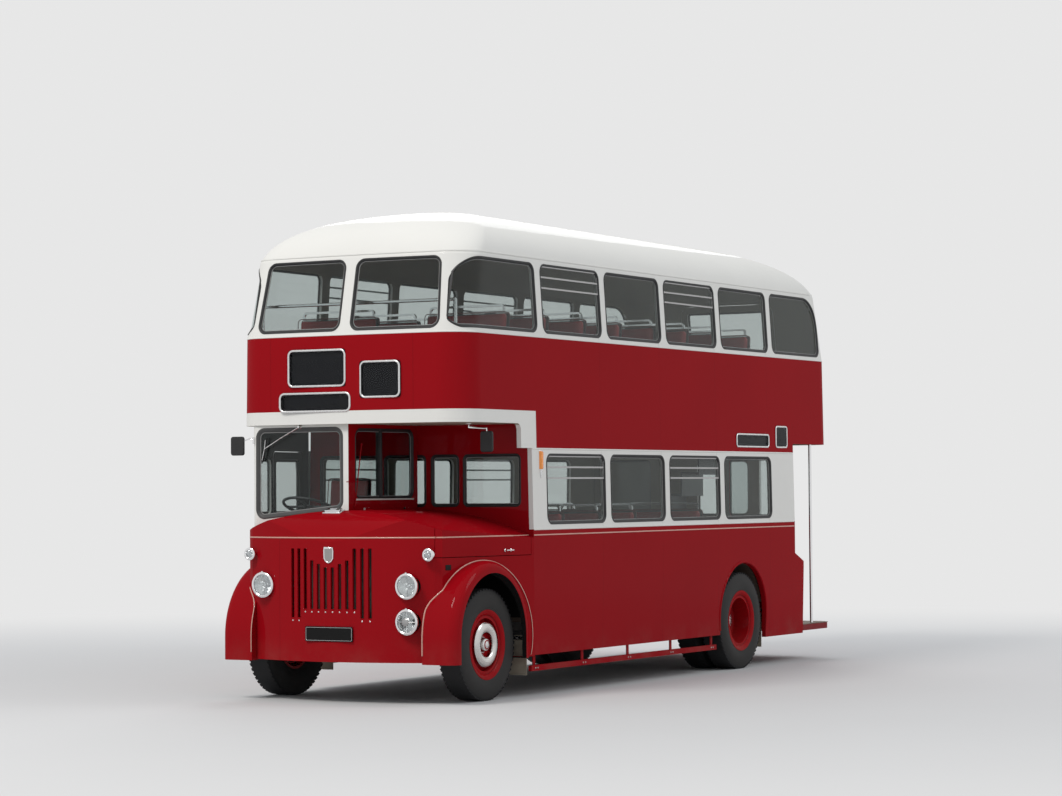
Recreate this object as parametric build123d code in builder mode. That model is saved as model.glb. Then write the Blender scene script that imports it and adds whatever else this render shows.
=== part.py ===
from build123d import *
import math
import os

# Half-cab double decker bus with an open rear platform.
# Millimetres. The front faces -Y, +X is the nearside, +Z is up.
# The origin lies on the ground, below the middle of the vehicle.

# Size of the whole vehicle
LENGTH = 8230.0
WIDTH = 2438.0
HEIGHT = 4400.0
WHEELBASE = 5004.0
FRONT_OVERHANG = 830.0

# Clearances: still pieces that seat, moving panels, and shafts in their bores
SEAT = 0.3
GAP = 6.0
RUNNING = 0.05

# Heights above the ground
SKIRT_Z = 367.0
REAR_SKIRT_Z = 295.0
WAIST_Z = 1436.0
TUCK_Z = 1000.0
LOWER_SILL_Z = 1538.0
LOWER_WINDOW_H = 616.0
DECK_BASE_Z = 2213.0
CANOPY_Z = 2430.0
SOFFIT_Z = 2305.0
UPPER_FLOOR_T = 60.0
UPPER_SILL_Z = 3260.0
UPPER_WINDOW_H = 610.0
UPPER_WAIST_Z = 3207.0
CANT_Z = 3900.0
FLOOR_Z = 700.0
FLOOR_T = 40.0
PLATFORM_Z = 380.0
PLATFORM_T = 62.0

# Walls and glass
WALL = 45.0
GLASS_T = 6.0
GLASS_SETBACK = 16.0
BULKHEAD_T = 40.0
ROOF_T = 34.0

# Half widths of the body from the skirt to the roof edge
SKIRT_HALF = 1200.0
WAIST_HALF = WIDTH / 2
DECK_BASE_HALF = 1205.0
UPPER_WAIST_HALF = 1190.0
CANT_HALF = 1146.0

# Places along the vehicle
FRONT_Y = -LENGTH / 2
REAR_Y = LENGTH / 2
FRONT_AXLE_Y = FRONT_Y + FRONT_OVERHANG
REAR_AXLE_Y = FRONT_AXLE_Y + WHEELBASE
CAB_REACH = 640.0
BULKHEAD_Y = FRONT_AXLE_Y + CAB_REACH

# Saloon windows, alike on both decks
WINDOW_START = 269.0
WINDOW_W = 1111.0
PILLAR = 126.0
WINDOW_COUNT = 4
WINDOW_R = 75.0
WINDOW_PITCH = WINDOW_W + PILLAR
FIRST_WINDOW_Y = BULKHEAD_Y + WINDOW_START
LAST_WINDOW_END = FIRST_WINDOW_Y + WINDOW_COUNT * WINDOW_PITCH - PILLAR
REAR_PANEL = 539.0
SALOON_END_Y = LAST_WINDOW_END + REAR_PANEL

# Front and rear windows of the upper deck that run into the rounded ends
FRONT_BAY_REACH = 1288.0
REAR_BAY_REACH = 1190.0
BAY_FRONT_R = 270.0
BAY_REAR_R = 330.0

# Rounded plan of the body
FRONT_BOW = 60.0
REAR_BOW = 70.0
CORNER_R = 300.0
DECK_SETBACK = 255.0
DECK_RAKE = 150.0
REAR_RAKE = 130.0

# Wheels and tyres
TYRE_R = 490.0
TYRE_W = 240.0
BEAD_R = 256.0
RIM_W = 176.0
RIM_T = 24.0
FRONT_TRACK_HALF = 995.0
TWIN_OUTER_X = 1086.0
TWIN_SPACING = 290.0

# Steering
KINGPIN_X = 880.0
KINGPIN_R = 20.0
ARM_REACH = 170.0

# Chassis
RAIL_X = 380.0
RAIL_W = 70.0
RAIL_TOP = FLOOR_Z - FLOOR_T
RAIL_LOW = 440.0

# Hood and cowl over the engine and the front wheels
COWL_CORNER_X = 942.0
COWL_CORNER_SET = 205.0
COWL_SIDE_X = 1000.0
COWL_SIDE_SET = 250.0
COWL_LOW = 360.0
COWL_T = 25.0
HOOD_TOP_Z = 1672.0
HOOD_EDGE_Z = 1400.0
NOSE_SET = 350.0
BONNET_LOW_Z = 1265.0
BONNET_INNER_X = 22.0

# Cab on the offside
CAB_FRONT_SET = 310.0
CAB_WALL = 40.0
CAB_INNER_X = 8.0
CAB_CORNER_R = 60.0
CAB_FLOOR_Z = 1080.0
CAB_FLOOR_T = 25.0
DOOR_FRONT = -150.0
DOOR_REAR = 500.0
DOOR_LOW_Z = 1250.0
DOOR_HIGH_Z = 2200.0

# Wheel arches
FRONT_ARCH_R = 565.0
FRONT_ARCH_Z = 555.0
FRONT_ARCH_SET = -60.0
WING_W = 105.0
WING_X = 1212.0
WING_FILLET = 88.0
REAR_ARCH_R = 545.0
REAR_ARCH_Z = 530.0
REAR_ARCH_SET = 35.0

# Rear panel beside the open platform
PANEL_EDGE_X = 330.0
STEP_OUT = 260.0
STEP_OUT_Z = 1060.0

os.makedirs("parts", exist_ok=True)


def across(y):
    """Plane across the vehicle at y: sketch x to the nearside, sketch y up."""
    return Plane.XZ.offset(-y)


def beside(x):
    """Plane along the vehicle at x: sketch x rearwards, sketch y up."""
    return Plane.YZ.offset(x)


def level(z):
    """Plane parallel to the ground at z."""
    return Plane.XY.offset(z)


def polygon(plane, points, radius=0.0):
    """Closed outline with one corner radius or a list of them."""
    with BuildSketch(plane) as outline:
        with BuildLine():
            FilletPolyline(*points, radius=radius, close=True)
        make_face()
    return outline.sketch


def rounded(plane, low, high, radius):
    """Rectangle between two corners with rounded corners."""
    points = (low, (high[0], low[1]), high, (low[0], high[1]))
    return polygon(plane, points, radius)


def disc(plane, centre, radius):
    """Round face on a plane."""
    with BuildSketch(plane) as face:
        with Locations(centre):
            Circle(radius)
    return face.sketch


def block(low, high, mode=Mode.ADD):
    """Box between two corners, in the current part."""
    middle = [(a + b) / 2 for a, b in zip(low, high)]
    size = [b - a for a, b in zip(low, high)]
    with Locations(tuple(middle)):
        Box(*size, mode=mode)


def rod(start, end, radius, mode=Mode.ADD):
    """Round bar between two points, in the current part."""
    along = Vector(*end) - Vector(*start)
    face = disc(Plane(origin=start, z_dir=along), (0, 0), radius)
    extrude(face, amount=along.length, mode=mode)


def finish(builder, name):
    """Labels a finished piece and writes it."""
    builder.part.label = name
    export_step(builder.part, f"parts/{name}.step")


def body_plan(z, half_width, front_y, rear_y, bow, corner, inset):
    """Level section of the body: straight sides, bowed ends and round corners."""
    w = half_width - inset
    front = front_y + inset
    rear = rear_y - inset
    with BuildSketch(level(z)) as plan:
        with BuildLine():
            Line((-w, rear - bow), (-w, front + bow))
            ThreePointArc((-w, front + bow), (0, front), (w, front + bow))
            Line((w, front + bow), (w, rear - bow))
            ThreePointArc((w, rear - bow), (0, rear), (-w, rear - bow))
        make_face()
        fillet(plan.vertices(), corner - inset)
    return plan.sketch


# Sections of the upper deck: height, half width, front setback, rear setback
DECK_ROWS = (
    (DECK_BASE_Z, DECK_BASE_HALF, DECK_SETBACK, 0.0),
    (UPPER_WAIST_Z, UPPER_WAIST_HALF, DECK_SETBACK, 0.0),
    (CANT_Z, CANT_HALF, DECK_SETBACK + DECK_RAKE, REAR_RAKE),
)

# Sections of the lower body: height, half width
LOWER_ROWS = (
    (REAR_SKIRT_Z, SKIRT_HALF),
    (TUCK_Z, WAIST_HALF),
    (WAIST_Z, WAIST_HALF),
    (DECK_BASE_Z, DECK_BASE_HALF),
)

# Roof sections: drop below the crown, half width, setback past the cant rail
# at the front and at the rear, bow of the ends, corner radius
ROOF_ROWS = (
    (HEIGHT - CANT_Z, CANT_HALF, 0.0, 0.0, FRONT_BOW, CORNER_R),
    (420.0, 1124.0, 38.0, 70.0, 74.0, 310.0),
    (320.0, 1066.0, 118.0, 190.0, 104.0, 330.0),
    (220.0, 962.0, 255.0, 390.0, 150.0, 350.0),
    (130.0, 802.0, 480.0, 690.0, 200.0, 360.0),
    (62.0, 585.0, 790.0, 1080.0, 210.0, 330.0),
    (18.0, 330.0, 1130.0, 1480.0, 150.0, 220.0),
    (0.0, 130.0, 1400.0, 1780.0, 60.0, 100.0),
)


def deck_body(inset):
    """Solid of the upper deck up to the cant rail, drawn in by an inset."""
    sections = []
    for z, half, front_set, rear_set in DECK_ROWS:
        front = FRONT_Y + front_set
        rear = REAR_Y - rear_set
        sections.append(body_plan(z, half, front, rear, FRONT_BOW, CORNER_R, inset))
    with BuildPart() as body:
        loft(sections=sections, ruled=True)
    return body.part


def lower_body(inset):
    """Solid of the lower body, drawn in by an inset."""
    sections = []
    for z, half in LOWER_ROWS:
        front = FRONT_AXLE_Y
        sections.append(body_plan(z, half, front, REAR_Y, REAR_BOW, CORNER_R, inset))
    with BuildPart() as body:
        loft(sections=sections, ruled=True)
    return body.part


def roof_body(inset, sink):
    """Domed solid of the roof above the cant rail; sink lowers its crown."""
    front_base = FRONT_Y + DECK_SETBACK + DECK_RAKE
    rear_base = REAR_Y - REAR_RAKE
    rise = HEIGHT - CANT_Z
    sections = []
    for drop, half, front_set, rear_set, bow, corner in ROOF_ROWS:
        z = HEIGHT - drop - sink * (1 - drop / rise)
        front = front_base + front_set
        rear = rear_base - rear_set
        sections.append(body_plan(z, half, front, rear, bow, corner, inset))
    with BuildPart() as body:
        loft(sections=sections)
    return body.part


def deck_layer(outer, inner):
    """Skin of the upper deck between two insets."""
    with BuildPart() as skin:
        add(deck_body(outer))
        add(deck_body(inner), mode=Mode.SUBTRACT)
    return skin.part


def lower_layer(outer, inner):
    """Skin of the lower body between two insets."""
    with BuildPart() as skin:
        add(lower_body(outer))
        add(lower_body(inner), mode=Mode.SUBTRACT)
    return skin.part


def hood_solid(inset):
    """Nose, hood and cab base in one solid, drawn in by an inset."""
    corner_y = FRONT_Y + COWL_CORNER_SET
    side_y = FRONT_Y + COWL_SIDE_SET
    cx = COWL_CORNER_X - inset
    sx = COWL_SIDE_X - inset
    wx = WAIST_HALF - inset
    with BuildSketch(level(COWL_LOW - abs(inset))) as plan:
        with BuildLine():
            ThreePointArc((-cx, corner_y + inset), (0, FRONT_Y + inset), (cx, corner_y + inset))
            Polyline((cx, corner_y + inset), (sx, side_y), (wx, BULKHEAD_Y), (-wx, BULKHEAD_Y),
                     (-sx, side_y), (-cx, corner_y + inset))
        make_face()
        fillet(plan.vertices().group_by(Axis.Y)[0], 60.0 - inset / 2)
    nose_z = HOOD_EDGE_Z - inset / 2
    top_z = HOOD_TOP_Z - inset
    front = FRONT_Y - 100.0
    with BuildSketch(beside(-WIDTH)) as side:
        with BuildLine():
            Line((front, nose_z), (FRONT_Y + inset, nose_z))
            ThreePointArc((FRONT_Y + inset, nose_z), (FRONT_Y + 130 + inset * 0.7, top_z - 72),
                          (FRONT_Y + NOSE_SET, top_z))
            Polyline((FRONT_Y + NOSE_SET, top_z), (BULKHEAD_Y, top_z), (BULKHEAD_Y, 0),
                     (front, 0), (front, nose_z))
        make_face()
    with BuildSketch(across(BULKHEAD_Y)) as crown:
        with BuildLine():
            ThreePointArc((-1250, HOOD_EDGE_Z - inset), (0, top_z), (1250, HOOD_EDGE_Z - inset))
            Polyline((1250, HOOD_EDGE_Z - inset), (1250, 0), (-1250, 0), (-1250, HOOD_EDGE_Z - inset))
        make_face()
    with BuildPart() as solid:
        extrude(plan.sketch, amount=HEIGHT)
        extrude(side.sketch, amount=2 * WIDTH, mode=Mode.INTERSECT)
        extrude(crown.sketch, amount=LENGTH, mode=Mode.INTERSECT)
    return solid.part


def side_x(y):
    """Half width of the hood and the cab at y, ahead of the bulkhead."""
    start = FRONT_Y + COWL_SIDE_SET
    share = (y - start) / (BULKHEAD_Y - start)
    return COWL_SIDE_X + (WAIST_HALF - COWL_SIDE_X) * share


def front_arch(radius, low):
    """Outline of the front wheel arch with straight legs."""
    y = FRONT_AXLE_Y + FRONT_ARCH_SET
    with BuildSketch(Plane.YZ) as arch:
        with BuildLine():
            ThreePointArc((y - radius, FRONT_ARCH_Z), (y, FRONT_ARCH_Z + radius),
                          (y + radius, FRONT_ARCH_Z))
            Polyline((y + radius, FRONT_ARCH_Z), (y + radius, low), (y - radius, low),
                     (y - radius, FRONT_ARCH_Z))
        make_face()
    return arch.sketch


def rear_arch(radius):
    """Outline of the rear wheel arch with straight legs to the ground."""
    y = REAR_AXLE_Y + REAR_ARCH_SET
    with BuildSketch(Plane.YZ) as arch:
        with BuildLine():
            ThreePointArc((y - radius, REAR_ARCH_Z), (y, REAR_ARCH_Z + radius),
                          (y + radius, REAR_ARCH_Z))
            Polyline((y + radius, REAR_ARCH_Z), (y + radius, 0), (y - radius, 0),
                     (y - radius, REAR_ARCH_Z))
        make_face()
    return arch.sketch


# Side windows: start and end at the sill, start at the top, then the corner radii
# from the low front round to the high front
LOWER_WINDOWS = []
for index in range(WINDOW_COUNT):
    start = FIRST_WINDOW_Y + index * WINDOW_PITCH
    LOWER_WINDOWS.append((start, start + WINDOW_W, start, [WINDOW_R] * 4))
UPPER_WINDOWS = list(LOWER_WINDOWS)
BAY_START = FIRST_WINDOW_Y - PILLAR - FRONT_BAY_REACH
BAY_LEAN = DECK_RAKE * UPPER_WINDOW_H / (CANT_Z - UPPER_WAIST_Z)
UPPER_WINDOWS.insert(0, (BAY_START, FIRST_WINDOW_Y - PILLAR, BAY_START + BAY_LEAN,
                         [WINDOW_R, WINDOW_R, WINDOW_R, BAY_FRONT_R]))
REAR_BAY_START = LAST_WINDOW_END + PILLAR
UPPER_WINDOWS.append((REAR_BAY_START, REAR_BAY_START + REAR_BAY_REACH, REAR_BAY_START,
                      [WINDOW_R, WINDOW_R, BAY_REAR_R, WINDOW_R]))
SIDE_CUT_X = 965.0
SIDE_CUT_REACH = 400.0


def side_openings(windows, sill, height, gap, side):
    """Faces of a row of side windows, smaller by a gap all round, on a plane inside the wall."""
    with BuildSketch(beside(side * SIDE_CUT_X)) as faces:
        for start, end, high_start, radii in windows:
            points = ((start + gap, sill + gap), (end - gap, sill + gap), (end - gap, sill + height - gap),
                      (high_start + gap, sill + height - gap))
            with BuildLine():
                FilletPolyline(*points, radius=radii, close=True)
            make_face()
    return faces.sketch


# Upper front windows: half the middle pillar, outer edge at sill and at top
FRONT_PILLAR_HALF = 62.0
FRONT_OUTER_LOW = 940.0
FRONT_OUTER_HIGH = 892.0
FRONT_CUT_Y = FRONT_Y - 200.0
FRONT_CUT_REACH = DECK_SETBACK + 700.0


def front_openings(gap):
    """Faces of the two upper front windows."""
    low = UPPER_SILL_Z - 4 + gap
    high = UPPER_SILL_Z + UPPER_WINDOW_H + 6 - gap
    with BuildSketch(across(FRONT_CUT_Y)) as faces:
        for side in (-1, 1):
            points = ((side * (FRONT_PILLAR_HALF + gap), low), (side * (FRONT_OUTER_LOW - gap), low),
                      (side * (FRONT_OUTER_HIGH - gap), high), (side * (FRONT_PILLAR_HALF + gap), high))
            with BuildLine():
                FilletPolyline(*points, radius=WINDOW_R, close=True)
            make_face()
    return faces.sketch


# Emergency window in the upper rear
EMERGENCY_HALF = 560.0
EMERGENCY_LOW = 3100.0
EMERGENCY_HIGH = 3862.0
EMERGENCY_FRAME = 70.0
EMERGENCY_R = 110.0


def emergency_outline(grow):
    """Outline of the rear emergency window, larger or smaller."""
    low = (-EMERGENCY_HALF - grow, EMERGENCY_LOW - grow)
    high = (EMERGENCY_HALF + grow, EMERGENCY_HIGH + grow)
    return rounded(across(REAR_Y + 200), low, high, EMERGENCY_R + grow)


# Destination boxes: middle, height of middle, width, height, corner radius
FRONT_BOXES = (
    (-285.0, 2925.0, 605.0, 330.0, 22.0),
    (372.0, 2815.0, 411.0, 323.0, 22.0),
    (-307.0, 2624.0, 748.0, 173.0, 60.0),
)
SIDE_BOXES = (
    (REAR_AXLE_Y + 301.0, 2330.0, 790.0, 140.0, 40.0),
    (REAR_AXLE_Y + 1011.0, 2375.0, 290.0, 230.0, 40.0),
)
BOX_PROUD = 6.0
BOX_RIM = 24.0


def box_outlines(rows, plane, grow):
    """Faces of a group of destination boxes."""
    with BuildSketch(plane) as faces:
        for middle, z, width, height, radius in rows:
            with Locations((middle, z)):
                RectangleRounded(width + 2 * grow, height + 2 * grow, max(radius + grow, 4.0))
    return faces.sketch


# Upper deck walls in one skin, then split at the real panel joints
L_FRONT_Y = BULKHEAD_Y + 85.0
DROP_FRONT_Y = BULKHEAD_Y - 190.0
BAND_STEP_R = 60.0
FRONT_SPLIT_Y = BULKHEAD_Y - 660.0
REAR_SPLIT_Y = REAR_Y - 440.0

with BuildPart() as deck_walls:
    add(deck_layer(0, WALL))
    for start_x, end_y in ((-WIDTH, L_FRONT_Y), (0, DROP_FRONT_Y)):
        front_cut = rounded(beside(start_x), (FRONT_Y - 100, DECK_BASE_Z - 100), (end_y, CANOPY_Z),
                            [0, 0, BAND_STEP_R, 0])
        extrude(front_cut, amount=WIDTH, mode=Mode.SUBTRACT)
    block((PANEL_EDGE_X, SALOON_END_Y + BULKHEAD_T, DECK_BASE_Z - 100),
          (WIDTH, REAR_Y + 100, SOFFIT_Z), mode=Mode.SUBTRACT)
    for side in (-1, 1):
        windows = side_openings(UPPER_WINDOWS, UPPER_SILL_Z, UPPER_WINDOW_H, 0, side)
        extrude(windows, amount=side * SIDE_CUT_REACH, mode=Mode.SUBTRACT)
    extrude(front_openings(0), amount=-FRONT_CUT_REACH, mode=Mode.SUBTRACT)
    extrude(box_outlines(FRONT_BOXES, across(FRONT_CUT_Y), SEAT), amount=-FRONT_CUT_REACH,
            mode=Mode.SUBTRACT)
    extrude(box_outlines(SIDE_BOXES, beside(SIDE_CUT_X), SEAT), amount=SIDE_CUT_REACH, mode=Mode.SUBTRACT)
    extrude(emergency_outline(GAP), amount=900, mode=Mode.SUBTRACT)

with BuildPart() as upper_front:
    add(deck_walls.part)
    split(bisect_by=Plane.XZ.offset(-FRONT_SPLIT_Y), keep=Keep.TOP)
finish(upper_front, "upper_front")

with BuildPart() as upper_sides:
    add(deck_walls.part)
    split(bisect_by=Plane.XZ.offset(-FRONT_SPLIT_Y), keep=Keep.BOTTOM)
    split(bisect_by=Plane.XZ.offset(-REAR_SPLIT_Y), keep=Keep.TOP)
finish(upper_sides, "upper_sides")

with BuildPart() as roof:
    add(roof_body(0, 0))
    add(roof_body(WALL, ROOF_T), mode=Mode.SUBTRACT)
finish(roof, "roof")

# Floor of the upper deck, which is also the canopy over the bonnet and the platform
STAIR_HOLE_LOW = (-1100.0, SALOON_END_Y + 75.0)
STAIR_HOLE_HIGH = (72.0, REAR_Y - 100.0)

with BuildPart() as upper_floor:
    add(deck_body(WALL + SEAT))
    block((-WIDTH, FRONT_Y - 100, CANOPY_Z), (WIDTH, REAR_Y + 100, CANOPY_Z + UPPER_FLOOR_T),
          mode=Mode.INTERSECT)
    block((*STAIR_HOLE_LOW, CANOPY_Z - 50), (*STAIR_HOLE_HIGH, CANOPY_Z + 150), mode=Mode.SUBTRACT)
finish(upper_floor, "upper_floor")

# Lower body walls in one skin, then split into the two sides and the rear corner panel
REAR_CORNER_Y = REAR_Y - 440.0

with BuildPart() as lower_walls:
    add(lower_layer(0, WALL))
    block((-WIDTH, FRONT_Y, 0), (WIDTH, BULKHEAD_Y + SEAT, HEIGHT), mode=Mode.SUBTRACT)
    for side in (-1, 1):
        windows = side_openings(LOWER_WINDOWS, LOWER_SILL_Z, LOWER_WINDOW_H, 0, side)
        extrude(windows, amount=side * SIDE_CUT_REACH, mode=Mode.SUBTRACT)
    extrude(rear_arch(REAR_ARCH_R), amount=WIDTH, both=True, mode=Mode.SUBTRACT)
    block((-WIDTH, FRONT_Y, 0), (WIDTH, REAR_AXLE_Y, SKIRT_Z), mode=Mode.SUBTRACT)

with BuildPart() as lower_nearside:
    add(lower_walls.part)
    block((-WIDTH, FRONT_Y, 0), (0, REAR_Y + 100, HEIGHT), mode=Mode.SUBTRACT)
    entrance = polygon(Plane.YZ, ((SALOON_END_Y + BULKHEAD_T, HEIGHT), (SALOON_END_Y + BULKHEAD_T, 1150),
                                  (SALOON_END_Y + STEP_OUT, STEP_OUT_Z), (SALOON_END_Y + STEP_OUT, 0),
                                  (REAR_Y + 100, 0), (REAR_Y + 100, HEIGHT)), 0)
    extrude(entrance, amount=2 * WIDTH, mode=Mode.SUBTRACT)
finish(lower_nearside, "lower_nearside")

with BuildPart() as lower_offside:
    add(lower_walls.part)
    block((0, FRONT_Y, 0), (WIDTH, REAR_Y + 100, HEIGHT), mode=Mode.SUBTRACT)
    block((-WIDTH, REAR_CORNER_Y, 0), (WIDTH, REAR_Y + 100, HEIGHT), mode=Mode.SUBTRACT)
finish(lower_offside, "lower_offside")

REAR_WINDOW_LOW = (-430.0, 1538.0)
REAR_WINDOW_HIGH = (190.0, 2154.0)

with BuildPart() as lower_rear:
    add(lower_walls.part)
    block((-WIDTH, FRONT_Y, 0), (WIDTH, REAR_CORNER_Y, HEIGHT), mode=Mode.SUBTRACT)
    block((PANEL_EDGE_X, FRONT_Y, 0), (WIDTH, REAR_Y + 100, HEIGHT), mode=Mode.SUBTRACT)
    opening = rounded(across(REAR_Y + 200), REAR_WINDOW_LOW, REAR_WINDOW_HIGH, WINDOW_R)
    extrude(opening, amount=900, mode=Mode.SUBTRACT)
finish(lower_rear, "lower_rear")

# Bulkheads between the cab and the saloon, and between the saloon and the platform
FRONT_BULKHEAD_WINDOWS = ((-1040.0, -420.0), (-340.0, 90.0), (162.0, 440.0), (500.0, 1080.0))
BULKHEAD_SILL_Z = 1700.0
BULKHEAD_HEAD_Z = 2154.0
DOORWAY_HALF = 340.0
DOORWAY_HIGH_Z = 2340.0
REAR_BULKHEAD_WINDOWS = ((-1060.0, -470.0), (470.0, 1060.0))


def bulkhead_blank(y):
    """Wall across the saloon, from the floor to the upper floor."""
    with BuildPart() as upper:
        add(deck_body(WALL + SEAT))
        block((-WIDTH, y, DECK_BASE_Z), (WIDTH, y + BULKHEAD_T, CANOPY_Z - SEAT), mode=Mode.INTERSECT)
    with BuildPart() as wall:
        add(lower_body(WALL + SEAT))
        block((-WIDTH, y, FLOOR_Z + SEAT), (WIDTH, y + BULKHEAD_T, HEIGHT), mode=Mode.INTERSECT)
        add(upper.part)
    return wall.part


with BuildPart() as front_bulkhead:
    add(bulkhead_blank(BULKHEAD_Y + SEAT))
    for low_x, high_x in FRONT_BULKHEAD_WINDOWS:
        face = rounded(across(BULKHEAD_Y - 50), (low_x, BULKHEAD_SILL_Z), (high_x, BULKHEAD_HEAD_Z), 40)
        extrude(face, amount=-(BULKHEAD_T + 100), mode=Mode.SUBTRACT)
finish(front_bulkhead, "front_bulkhead")

with BuildPart() as rear_bulkhead:
    add(bulkhead_blank(SALOON_END_Y))
    for low_x, high_x in REAR_BULKHEAD_WINDOWS:
        face = rounded(across(SALOON_END_Y - 50), (low_x, LOWER_SILL_Z), (high_x, BULKHEAD_HEAD_Z), 50)
        extrude(face, amount=-(BULKHEAD_T + 100), mode=Mode.SUBTRACT)
    block((-DOORWAY_HALF, SALOON_END_Y - 50, 0), (DOORWAY_HALF, SALOON_END_Y + 150, DOORWAY_HIGH_Z),
          mode=Mode.SUBTRACT)
finish(rear_bulkhead, "rear_bulkhead")

# Lower floor, wheel boxes, step riser and platform
BOX_R = REAR_ARCH_R + 32.0
BOX_T = 20.0
BOX_INNER_X = 640.0
PLATFORM_EDGE_X = 1197.0
TYRE_BOX_Y = REAR_AXLE_Y + REAR_ARCH_SET

with BuildPart() as lower_floor:
    add(lower_body(WALL + SEAT))
    block((-WIDTH, BULKHEAD_Y + SEAT, RAIL_TOP), (WIDTH, SALOON_END_Y + BULKHEAD_T, FLOOR_Z),
          mode=Mode.INTERSECT)
    for side in (-1, 1):
        inner = side * BOX_INNER_X
        outer = side * (SKIRT_HALF - WALL - 5)
        with BuildSketch(beside(min(inner, outer))):
            with Locations((TYRE_BOX_Y, REAR_ARCH_Z)):
                Circle(BOX_R)
            with Locations((TYRE_BOX_Y, REAR_ARCH_Z - BOX_R + (RAIL_TOP - REAR_ARCH_Z))):
                Rectangle(2.2 * BOX_R, 2 * BOX_R, mode=Mode.SUBTRACT)
        extrude(amount=abs(outer - inner))
    for side in (-1, 1):
        inner = side * (BOX_INNER_X + BOX_T)
        outer = side * WIDTH
        with BuildSketch(beside(min(inner, outer))):
            with Locations((TYRE_BOX_Y, REAR_ARCH_Z)):
                Circle(BOX_R - BOX_T)
        extrude(amount=abs(outer - inner), mode=Mode.SUBTRACT)
    riser_y = SALOON_END_Y + BULKHEAD_T - 20
    block((-SKIRT_HALF + WALL + 8, riser_y, PLATFORM_Z - PLATFORM_T),
          (SKIRT_HALF - WALL - 8, riser_y + 20, FLOOR_Z))
    with BuildSketch(level(PLATFORM_Z - PLATFORM_T)):
        with BuildLine():
            left = -SKIRT_HALF + WALL + 8
            inside = SKIRT_HALF - WALL - 8
            rear = REAR_Y - WALL - 8
            Polyline((left, riser_y), (inside, riser_y), (inside, SALOON_END_Y + STEP_OUT + 5),
                     (PLATFORM_EDGE_X, SALOON_END_Y + STEP_OUT + 5), (PLATFORM_EDGE_X, rear - 190))
            ThreePointArc((PLATFORM_EDGE_X, rear - 190), (PLATFORM_EDGE_X - 50, rear - 75),
                          (PLATFORM_EDGE_X - 190, rear - 30))
            ThreePointArc((PLATFORM_EDGE_X - 190, rear - 30), (0, rear), (left + 270, rear - 55))
            ThreePointArc((left + 270, rear - 55), (left + 85, rear - 130), (left, rear - 310))
            Line((left, rear - 310), (left, riser_y))
        make_face()
    extrude(amount=PLATFORM_T)
finish(lower_floor, "lower_floor")

# Staircase that rises rearwards on the offside and winds round towards the nearside
STAIR_INNER_X = -560.0
STAIR_TURN_Y = SALOON_END_Y + 495.0
STAIR_W = 530.0
GOING = 210.0
TREAD_T = 30.0
RISER_T = 14.0
FIRST_FLIGHT = 2
WINDERS = 3
LAST_FLIGHT = 3
RISER_COUNT = FIRST_FLIGHT + WINDERS + LAST_FLIGHT + 1
RISE = (CANOPY_Z + UPPER_FLOOR_T - PLATFORM_Z) / RISER_COUNT


def turn_point(angle):
    """Where a line from the turn meets the square outside of the stairs."""
    reach = STAIR_W / max(abs(math.cos(angle)), abs(math.sin(angle)))
    return (STAIR_INNER_X - reach * math.cos(angle), STAIR_TURN_Y + reach * math.sin(angle))


with BuildPart() as inner_space:
    add(lower_body(WALL + SEAT))
    add(deck_body(WALL + SEAT))

with BuildPart() as staircase:
    for step in range(1, RISER_COUNT):
        top = PLATFORM_Z + step * RISE
        if step <= FIRST_FLIGHT:
            y = STAIR_TURN_Y - (FIRST_FLIGHT - step + 1) * GOING
            x = STAIR_INNER_X
            block((x - STAIR_W, y, top - TREAD_T), (x, y + GOING + RISER_T, top))
            block((x - STAIR_W, y, top - RISE), (x, y + RISER_T, top))
        elif step <= FIRST_FLIGHT + WINDERS:
            turn = step - FIRST_FLIGHT - 1
            begin = math.radians(90.0 * turn / WINDERS)
            end = math.radians(90.0 * (turn + 1) / WINDERS + 2.5)
            corner = []
            if turn == WINDERS // 2:
                corner = [turn_point(math.radians(45.0))]
            points = [(STAIR_INNER_X, STAIR_TURN_Y), turn_point(begin), *corner, turn_point(end)]
            with BuildSketch(level(top - TREAD_T)):
                with BuildLine():
                    Polyline(*points, close=True)
                make_face()
            extrude(amount=TREAD_T)
            thin = [(STAIR_INNER_X, STAIR_TURN_Y), turn_point(begin),
                    turn_point(begin + math.radians(1.6)), (STAIR_INNER_X + 5, STAIR_TURN_Y + 12)]
            with BuildSketch(level(top - RISE)):
                with BuildLine():
                    Polyline(*thin, close=True)
                make_face()
            extrude(amount=RISE)
        else:
            x = STAIR_INNER_X + (step - FIRST_FLIGHT - WINDERS - 1) * GOING
            y = STAIR_TURN_Y
            block((x, y, top - TREAD_T), (x + GOING + RISER_T, y + STAIR_W, top))
            block((x, y, top - RISE), (x + RISER_T, y + STAIR_W, top))
    last_x = STAIR_INNER_X + LAST_FLIGHT * GOING
    block((last_x - RISER_T, STAIR_TURN_Y, CANOPY_Z + UPPER_FLOOR_T - RISE),
          (last_x, STAIR_TURN_Y + STAIR_W, CANOPY_Z + UPPER_FLOOR_T))
    string_low = PLATFORM_Z + SEAT
    string_end = STAIR_TURN_Y - FIRST_FLIGHT * GOING
    with BuildSketch(beside(STAIR_INNER_X)):
        with BuildLine():
            Polyline((string_end, string_low), (STAIR_TURN_Y + 25, string_low),
                     (STAIR_TURN_Y + 25, string_low + 1250), (string_end, string_low + 850), close=True)
        make_face()
    extrude(amount=25)
    add(inner_space.part, mode=Mode.INTERSECT)
finish(staircase, "staircase")

# Nose, hood sides and cab base: one shell with the grille slots cut through
GRILLE_PITCH = 72.5
SLOT_W = 34.0
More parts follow.
